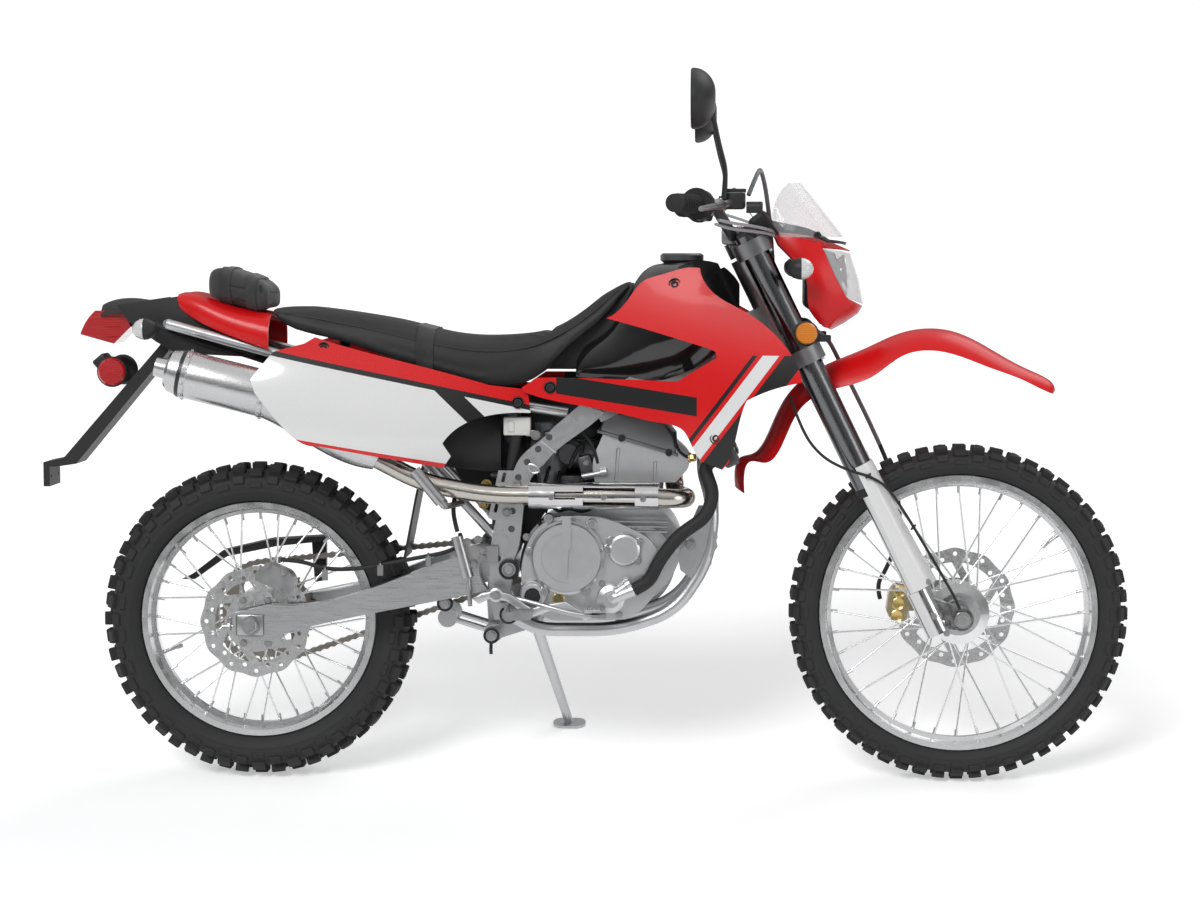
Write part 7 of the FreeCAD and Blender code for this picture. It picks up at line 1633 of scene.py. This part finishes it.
class MOTO_OT_fork_fittings(bpy.types.Operator):
    """Add the fork's seals, caps, bolts, nuts, pistons, sensor lead and caliper hose"""
    bl_idname = "moto.fork_fittings"
    bl_label = "Fork fittings"

    def execute(self, context):
        seals, caps, bolts = [], [], []
        for side in (-1, 1):
            seal = turned([(0.0, 0.0245), (0.004, 0.0282), (0.014, 0.0282), (0.018, 0.0272)], 36)
            seals.append(set_place(seal, facing(leg_point(594, side), UP_LEG)))
            cap = turned([(0.0, 0.0235), (0.008, 0.0235), (0.010, 0.021), (0.010, 0.013),
                          (0.018, 0.012), (0.019, 0.010)], 6)
            caps.append(set_place(cap, facing(leg_point(1107, side), UP_LEG)))
            for z in (866, 880, 1080):
                for turn in (-1.0, 1.0):
                    bolt = bolt_head(0.0058, 0.006)
                    bolts.append(set_place(bolt, facing(
                        leg_point(z, side, 30.0) + mm(0, side * 12 * turn, 0), (1, 0, 0.49))))
        mount(seals, "fork_seals", "fork", "rubber")
        mount(caps, "fork_caps", "fork", "dark_steel")
        nuts = [rows(bolt_head(0.0125, 0.010), [(1430, -125, 343)]),
                rows(bolt_head(0.0125, 0.010), [(1430, 125, 343)], LEFT),
                rows(bolt_head(0.0050, 0.005), [(1372, -134, 352), (1398, -134, 318),
                                                (1360, -134, 420)]),
                rows(bolt_head(0.0050, 0.005), [(1372, 134, 352), (1398, 134, 318)], LEFT)]
        mount(bolts + nuts, "fork_bolts", "fork", "steel")
        pistons = rows(turned([(0.0, 0.0135), (0.004, 0.0135), (0.005, 0.0115), (0.003, 0.008),
                               (0.003, 0.001)], 28),
                       [(1310, 41, 327), (1313, 41, 353), (1316, 41, 379)])
        mount(pistons, "caliper_pistons", "fork", "brass")
        lead = hose(SENSOR_LEAD, 0.0058)
        guides = [aimed(ring(0.0055, 0.002, 16, 6), (x, -134, z), (0.7, 0.0, -0.7)) for x,
                  z in ((1240, 632), (1330, 530))]
        mount([lead] + guides, "sensor_lead", "fork", "rubber")
        line = hose(CALIPER_HOSE, 0.009, roundness=3)
        mount(line, "caliper_hose", "fork", "rubber")
        return {"FINISHED"}


class MOTO_OT_arm_fittings(bpy.types.Operator):
    """Add the rear axle nuts, chain adjusters, sprocket bolts and caliper screws"""
    bl_idname = "moto.arm_fittings"
    bl_label = "Rear axle fittings"

    def execute(self, context):
        adjusters = []
        for side, axis in ((-1, RIGHT), (1, LEFT)):
            adjusters.append(rows(bolt_head(0.0150, 0.013), [(0, side * 121, 322)], axis))
            plate = shifted(block((0.056, 0.004, 0.044), bevel=0.004, segments=2), -2, side * 120,
                            322)
            adjusters.append(plate)
            screw = aimed(turned([(0.0, 0.0035), (0.052, 0.0035)], 10), (-62, side * 104, 318),
                          AHEAD)
            nut = aimed(bolt_head(0.0070, 0.007), (-44, side * 104, 318), BACK)
            adjusters.extend([screw, nut])
        screws = rows(bolt_head(0.0055), [(30, -88, 440), (62, -88, 424)])
        mount(adjusters + [screws], "axle_fittings", "chassis", "steel")
        bolt = bolt_head(0.0060, 0.006)
        set_place(bolt, facing((0.052, 0.0768, 0.0), LEFT))
        bolts = ring_array(bolt, 6)
        set_place(bolts, Matrix.Translation(REAR_HUB))
        mount(bolts, "sprocket_bolts", "rear_wheel", "steel")
        return {"FINISHED"}


# Inlet, pedal and shield
VENTS = [
    (0.007, [(600, -34, 640), (588, -52, 600), (580, -70, 560), (584, -86, 520)]),
    (0.006, [(620, -36, 630), (616, -56, 596), (600, -76, 566), (596, -92, 552)]),
    (0.009, [(690, -40, 720), (664, -60, 728), (640, -72, 716), (610, -70, 730),
             (590, -60, 760)]),
    (0.008, [(700, -30, 700), (676, -66, 694), (652, -74, 672), (642, -66, 640)]),
    (0.010, [(470, -60, 600), (486, -64, 570), (500, -66, 540), (500, -64, 500)])]
PEDAL_OUTLINE = [
    (452, 384), (470, 395), (500, 402), (530, 394), (552, 378), (572, 366), (600, 374),
    (640, 380), (662, 366), (680, 357), (704, 364), (706, 350), (678, 342), (650, 360),
    (612, 362), (572, 347), (548, 360), (520, 380), (488, 384), (466, 374)]


class MOTO_OT_inlet(bpy.types.Operator):
    """Add the inlet's dark fittings: throttle bracket, clamps, vents and starter"""
    bl_idname = "moto.inlet"
    bl_label = "Inlet fittings"

    def execute(self, context):
        dark = []
        for size, place, turn in (
                ((0.034, 0.030, 0.040), (644, -44, 676), 20.0),
                ((0.046, 0.040, 0.026), (612, -40, 700), 0.0),
                ((0.028, 0.030, 0.050), (676, -52, 640), -15.0),
                ((0.050, 0.070, 0.044), (640, 0, 600), 0.0)):
            dark.append(tilted(block(size, bevel=0.005, segments=2), place, turn))
        starter = aimed(turned([(0.0, 0.022), (0.004, 0.030), (0.110, 0.030), (0.116, 0.022)], 28),
                        (636, 60, 582), RIGHT)
        quadrant = aimed(turned([(0.0, 0.020), (0.002, 0.022), (0.008, 0.022), (0.010, 0.020)],
                                24), (640, -58, 668), RIGHT)
        mount(dark + [starter, quadrant], "inlet_castings", "chassis", "dark_metal")
        clamps = []
        for x, z in ((668, 660), (560, 668)):
            clamps += [aimed(ring(0.0305, 0.0028, 36, 6), (x, 0, z), (1.0, 0.0, -0.06)),
                       aimed(bolt_head(0.0045, 0.014), (x, -33, z), RIGHT)]
        clamps.append(rows(bolt_head(0.0045), [(600, -36, 628), (624, -44, 690), (676, -68, 650)]))
        mount(clamps, "inlet_clamps", "chassis", "steel")
        vents = hoses(VENTS)
        boot = aimed(turned([(0.0, 0.030), (0.012, 0.036), (0.020, 0.033), (0.030, 0.038),
            (0.040, 0.034), (0.052, 0.040), (0.060, 0.040)], 32), (562, 0, 668), (-1.0, 0.0, 0.05))
        mount(vents + [boot], "inlet_hoses", "chassis", "rubber")
        gilt = rows(bolt_head(0.0085, 0.012), [(473, -60, 604), (467, -62, 566)])
        mount(gilt, "gilt_unions", "chassis", "brass")
        return {"FINISHED"}


class MOTO_OT_pedal(bpy.types.Operator):
    """Cast the brake pedal over its bar"""
    bl_idname = "moto.pedal"
    bl_label = "Brake pedal"

    def execute(self, context):
        arm = shifted(cut_plate(PEDAL_OUTLINE, 0.012, edge=0.003), 0, -154, 0)
        pad = shifted(block((0.034, 0.032, 0.006), bevel=0.0015), 694, -162, 362)
        teeth = [shifted(block((0.003, 0.028, 0.004), bevel=0.0006), x, -162, 366)
                 for x in (682, 690, 698, 706)]
        boss = rows(turned([(0.0, 0.014), (0.010, 0.014), (0.012, 0.011)], 24), [(500, -148, 392)])
        mount([arm, pad, boss] + teeth, "brake_pedal", "chassis", "cover")
        bolt = rows(bolt_head(0.0070), [(500, -160, 392)])
        mount(bolt, "pedal_bolt", "chassis", "steel")
        return {"FINISHED"}


SHIELD_ENDS = (0.566, 0.824)
SHIELD_RADIUS = 0.0255
SHIELD_SPREAD = 190.0
SHIELD_STEPS = 16
SHIELD_SLOTS = [(0.20, 0.36, 6, 9), (0.42, 0.58, 4, 7), (0.42, 0.58, 9, 12),
                (0.66, 0.82, 4, 7), (0.66, 0.82, 9, 12)]


class MOTO_OT_heat_shield(bpy.types.Operator):
    """Press the slotted shield over the outer side of the pipe"""
    bl_idname = "moto.heat_shield"
    bl_label = "Heat shield"

    def execute(self, context):
        low, high = SHIELD_ENDS
        shares = sorted({0.0, 1.0, *(v for slot in SHIELD_SLOTS for v in slot[:2])})
        steps = [low + (high - low) * share for share in shares]
        shell = meshed(new_curve([(x, 0.0, SHIELD_RADIUS) for x in steps], kind="POLY"))
        with Editing():
            bpy.ops.mesh.spin(steps=SHIELD_STEPS, angle=math.radians(SHIELD_SPREAD),
                              center=(0.0, 0.0, 0.0), axis=BACK)
            bpy.ops.mesh.select_all(action="DESELECT")
        for face in shell.data.polygons:
            share = (face.center.x - low) / (high - low)
            angle = math.degrees(math.atan2(-face.center.y, face.center.z)) % 360.0
            angle *= SHIELD_STEPS / SHIELD_SPREAD
            face.select = any(a < share < b and c < angle < d for a, b, c, d in SHIELD_SLOTS)
        bpy.ops.object.mode_set(mode="EDIT")
        bpy.ops.mesh.select_mode(type="FACE")
        bpy.ops.mesh.delete(type="FACE")
        bpy.ops.mesh.select_all(action="SELECT")
        bpy.ops.mesh.normals_make_consistent(inside=False)
        bpy.ops.object.mode_set(mode="OBJECT")
        walled(shell, 0.0022)
        set_place(shell, Matrix.Translation(mm(0, -142, 590)) @ turn_about("X", -5.0))
        mount(shell, "slotted_shield", "chassis", "polished", smooth=40.0)
        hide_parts("heat_shield")
        return {"FINISHED"}


# Outlines, in millimetres, of dark sheets that are painted shade: behind the engine, under the
# tank and under the tail; then the places of painted shade in the spar's holes
ENGINE_SHADE_SHEET = [(392, 640), (400, 760), (470, 800), (600, 800), (690, 770), (735, 720),
                (728, 640), (700, 600), (600, 560), (560, 500), (545, 470), (500, 520),
                (440, 560)]
TANK_SHADE_FILL = [(520, 838), (600, 872), (664, 912), (716, 962), (760, 1012), (800, 1010),
              (800, 900), (700, 838)]
TAIL_SHADE_SHEET = [(-278, 968), (-168, 984), (-68, 938), (26, 876), (2, 862), (-158, 870),
               (-198, 893), (-254, 934)]
SPAR_HOLE_SHADES = [(604, 705), (582, 681), (560, 655), (542, 624), (536, 590), (530, 556),
              (528, 520), (500, 460)]


class MOTO_OT_shade_backing(bpy.types.Operator):
    """Add the dark sheets of painted shade behind the engine, under the tank and under the tail,
    the painted shade in the spar's holes, and the silencer end
    """
    bl_idname = "moto.dark_backing"
    bl_label = "Guards and skirt"

    def execute(self, context):
        # A dark sheet behind the engine: painted shade that darkens the gaps between the spar, the
        # head and the shield
        backing_sheet = shifted(cut_plate(ENGINE_SHADE_SHEET, 0.004, edge=0.001), 0, 36, 0)
        mount(backing_sheet, "engine_shade_backing", "chassis", "rubber")
        # A dark block under the tank and seat: painted shade that fills the gap above the spars
        shade_block = cut_plate(TANK_SHADE_FILL, 0.090, edge=0.006)
        mount(shade_block, "tank_shade_fill", "chassis", "black")
        # Dark sheets on both sides under the tail: painted shade that fills the gap under the
        # fender
        side = shifted(cut_plate(TAIL_SHADE_SHEET, 0.004, edge=0.001), 0, -66, 0)
        mount(on_both_sides(side), "tail_shade_sheets", "chassis", "black")
        # Dark discs in the spar's holes: painted shade in the holes
        hole = turned([(0.0, 0.0068), (0.0012, 0.0064), (0.0012, 0.0052), (0.0004, 0.0048),
                       (0.0004, 0.0005)], 20)
        holes = rows(hole, [(x, -113, z) for x, z in SPAR_HOLE_SHADES])
        mount(on_both_sides(holes), "spar_hole_shades", "chassis", "dark_metal")
        end = SILENCER_BACK - SILENCER_RUN * 0.012
        cap = set_place(turned([(0.0, 0.0485), (0.014, 0.0488), (0.019, 0.046), (0.016, 0.040),
                                (0.006, 0.034), (0.006, 0.020), (0.022, 0.019),
                                (0.022, 0.016), (0.002, 0.015), (0.002, 0.001)], 48),
                        facing(end, SILENCER_RUN))
        mount(cap, "silencer_end", "chassis", "dark_steel")
        return {"FINISHED"}


# Stage
CAMERA_PLACE = (0.957, -5.3, 1.086)
CAMERA_AHEAD = (-0.04839, 1.0, -0.07853)
SUNS = [((-1.6, -3.0, 3.4), 1.0, 24.0), ((2.4, 2.6, 3.0), 0.45, 40.0),
        ((3.6, -2.2, 0.9), 0.3, 30.0)]


class MOTO_OT_stage(bpy.types.Operator):
    """Set the camera of the photograph, the pale floor and the lamps"""
    bl_idname = "moto.stage"
    bl_label = "Stage and camera"

    def execute(self, context):
        settings = context.scene.bike_stage
        clear_selection()
        bpy.ops.object.camera_add()
        camera = context.active_object
        ahead = Vector(CAMERA_AHEAD).normalized()
        side = ahead.cross(Vector(UP)).normalized()
        above = side.cross(ahead)
        turn = Matrix((side, above, -ahead)).transposed().to_4x4()
        camera.matrix_world = PARKED @ Matrix.Translation(CAMERA_PLACE) @ turn
        camera.data.sensor_width = 36.0
        camera.data.lens = settings.lens
        camera.data.clip_end = 60.0
        context.scene.camera = camera
        for place, share, spread in SUNS:
            sun(place, settings.key * share, spread)
        pale_room(settings)
        return {"FINISHED"}


def sun(place, strength, spread):
    """A soft lamp as far off as the sun, shining from one place at the machine."""
    clear_selection()
    bpy.ops.object.light_add(type="SUN", location=place)
    light = bpy.context.active_object
    light.rotation_euler = (-Vector(place)).to_track_quat("-Z", "Y").to_euler()
    light.data.angle = math.radians(spread)
    light.data.energy = strength


def pale_room(settings):
    """A floor that keeps its shadow and a world that looks white behind the machine."""
    pale_floor(settings)
    world = bpy.data.worlds.new("pale_world")
    bpy.context.scene.world = world
    world.use_nodes = True
    tree = world.node_tree
    tree.nodes.clear()
    soft = tree.nodes.new("ShaderNodeBackground")
    soft.inputs["Color"].default_value = (0.93, 0.96, 1.0, 1.0)
    soft.inputs["Strength"].default_value = settings.sky
    white = tree.nodes.new("ShaderNodeBackground")
    white.inputs["Color"].default_value = (1.0, 1.0, 1.0, 1.0)
    white.inputs["Strength"].default_value = 1.0
    mix = tree.nodes.new("ShaderNodeMixShader")
    out = tree.nodes.new("ShaderNodeOutputWorld")
    link(tree, *seen_directly(tree), mix, "Fac")
    path = tree.nodes.new("ShaderNodeLightPath")
    direction = tree.nodes.new("ShaderNodeTexCoord")
    split = tree.nodes.new("ShaderNodeSeparateXYZ")
    height = tree.nodes.new("ShaderNodeMapRange")
    height.inputs["From Min"].default_value = 0.02
    height.inputs["From Max"].default_value = 0.75
    height.inputs["To Min"].default_value = settings.horizon
    height.inputs["To Max"].default_value = 0.85
    glossy = tree.nodes.new("ShaderNodeMix")
    glossy.inputs["A"].default_value = 1.0
    link(tree, direction, "Generated", split, "Vector")
    link(tree, split, "Z", height, "Value")
    link(tree, path, "Is Glossy Ray", glossy, "Factor")
    link(tree, height, "Result", glossy, "B")
    link(tree, glossy, 0, white, "Strength")
    link(tree, soft, 0, mix, 1)
    link(tree, white, 0, mix, 2)
    link(tree, mix, 0, out, "Surface")
    bpy.context.scene.view_settings.view_transform = "Standard"


def pale_floor(settings):
    """A wide pale floor that glows a little where it is seen directly."""
    clear_selection()
    bpy.ops.mesh.primitive_plane_add(size=60.0)
    floor = bpy.context.active_object
    floor.name = "floor"
    material = bpy.data.materials.new("floor_pale")
    material.use_nodes = True
    floor.data.materials.append(material)
    tree = material.node_tree
    shader = tree.nodes["Principled BSDF"]
    shader.inputs["Base Color"].default_value = (*settings.floor, 1.0)
    shader.inputs["Roughness"].default_value = 0.9
    shader.inputs["Specular IOR Level"].default_value = 0.2
    lift = maths(tree, "MULTIPLY", seen_directly(tree))
    lift.inputs[1].default_value = settings.lift
    shader.inputs["Emission Color"].default_value = (1.0, 1.0, 1.0, 1.0)
    link(tree, lift, "Value", shader, "Emission Strength")


def seen_directly(tree):
    """1 for rays from the camera, off gloss or through clear parts, and 0 for the rest."""
    path = tree.nodes.new("ShaderNodeLightPath")
    last = (path, "Is Camera Ray")
    for label in ("Is Glossy Ray", "Is Transmission Ray"):
        last = (maths(tree, "MAXIMUM", last, (path, label)), "Value")
    return last


OPERATORS = [MOTO_OT_finish_nodes, MOTO_OT_body_panels, MOTO_OT_tyres, MOTO_OT_wheel_fittings,
             MOTO_OT_seat, MOTO_OT_tool_bag, MOTO_OT_engine_fittings, MOTO_OT_frame_fittings,
             MOTO_OT_shock, MOTO_OT_exhaust_fittings, MOTO_OT_panel_fittings,
             MOTO_OT_lamp_cowl, MOTO_OT_signals, MOTO_OT_screen, MOTO_OT_cockpit,
             MOTO_OT_fork_fittings, MOTO_OT_arm_fittings, MOTO_OT_inlet, MOTO_OT_pedal,
             MOTO_OT_heat_shield, MOTO_OT_shade_backing, MOTO_OT_stage]


class MOTO_PT_panel(bpy.types.Panel):
    """The machine's settings and the steps that build it"""
    bl_label = "Motorcycle"
    bl_idname = "MOTO_PT_panel"
    bl_space_type = "VIEW_3D"
    bl_region_type = "UI"
    bl_category = "Motorcycle"

    def draw(self, context):
        scene = context.scene
        for group in (scene.bike_colours, scene.bike_sizes, scene.bike_stage):
            box = self.layout.box()
            for name in group.__annotations__:
                box.prop(group, name)
        for operator in OPERATORS:
            self.layout.operator(operator.bl_idname)


CLASSES = [BikeColours, BikeSizes, StageSettings, *OPERATORS, MOTO_PT_panel]


def register():
    for each in CLASSES:
        bpy.utils.register_class(each)
    bpy.types.Scene.bike_colours = bpy.props.PointerProperty(type=BikeColours)
    bpy.types.Scene.bike_sizes = bpy.props.PointerProperty(type=BikeSizes)
    bpy.types.Scene.bike_stage = bpy.props.PointerProperty(type=StageSettings)


def unregister():
    del bpy.types.Scene.bike_stage
    del bpy.types.Scene.bike_sizes
    del bpy.types.Scene.bike_colours
    for each in reversed(CLASSES):
        bpy.utils.unregister_class(each)


def run(identifier):
    group, name = identifier.split(".")
    result = getattr(getattr(bpy.ops, group), name)()
    if result != {"FINISHED"}:
        raise RuntimeError(identifier + " did not finish")


def main():
    register()
    for operator in OPERATORS:
        run(operator.bl_idname)


if __name__ == "__main__":
    main()
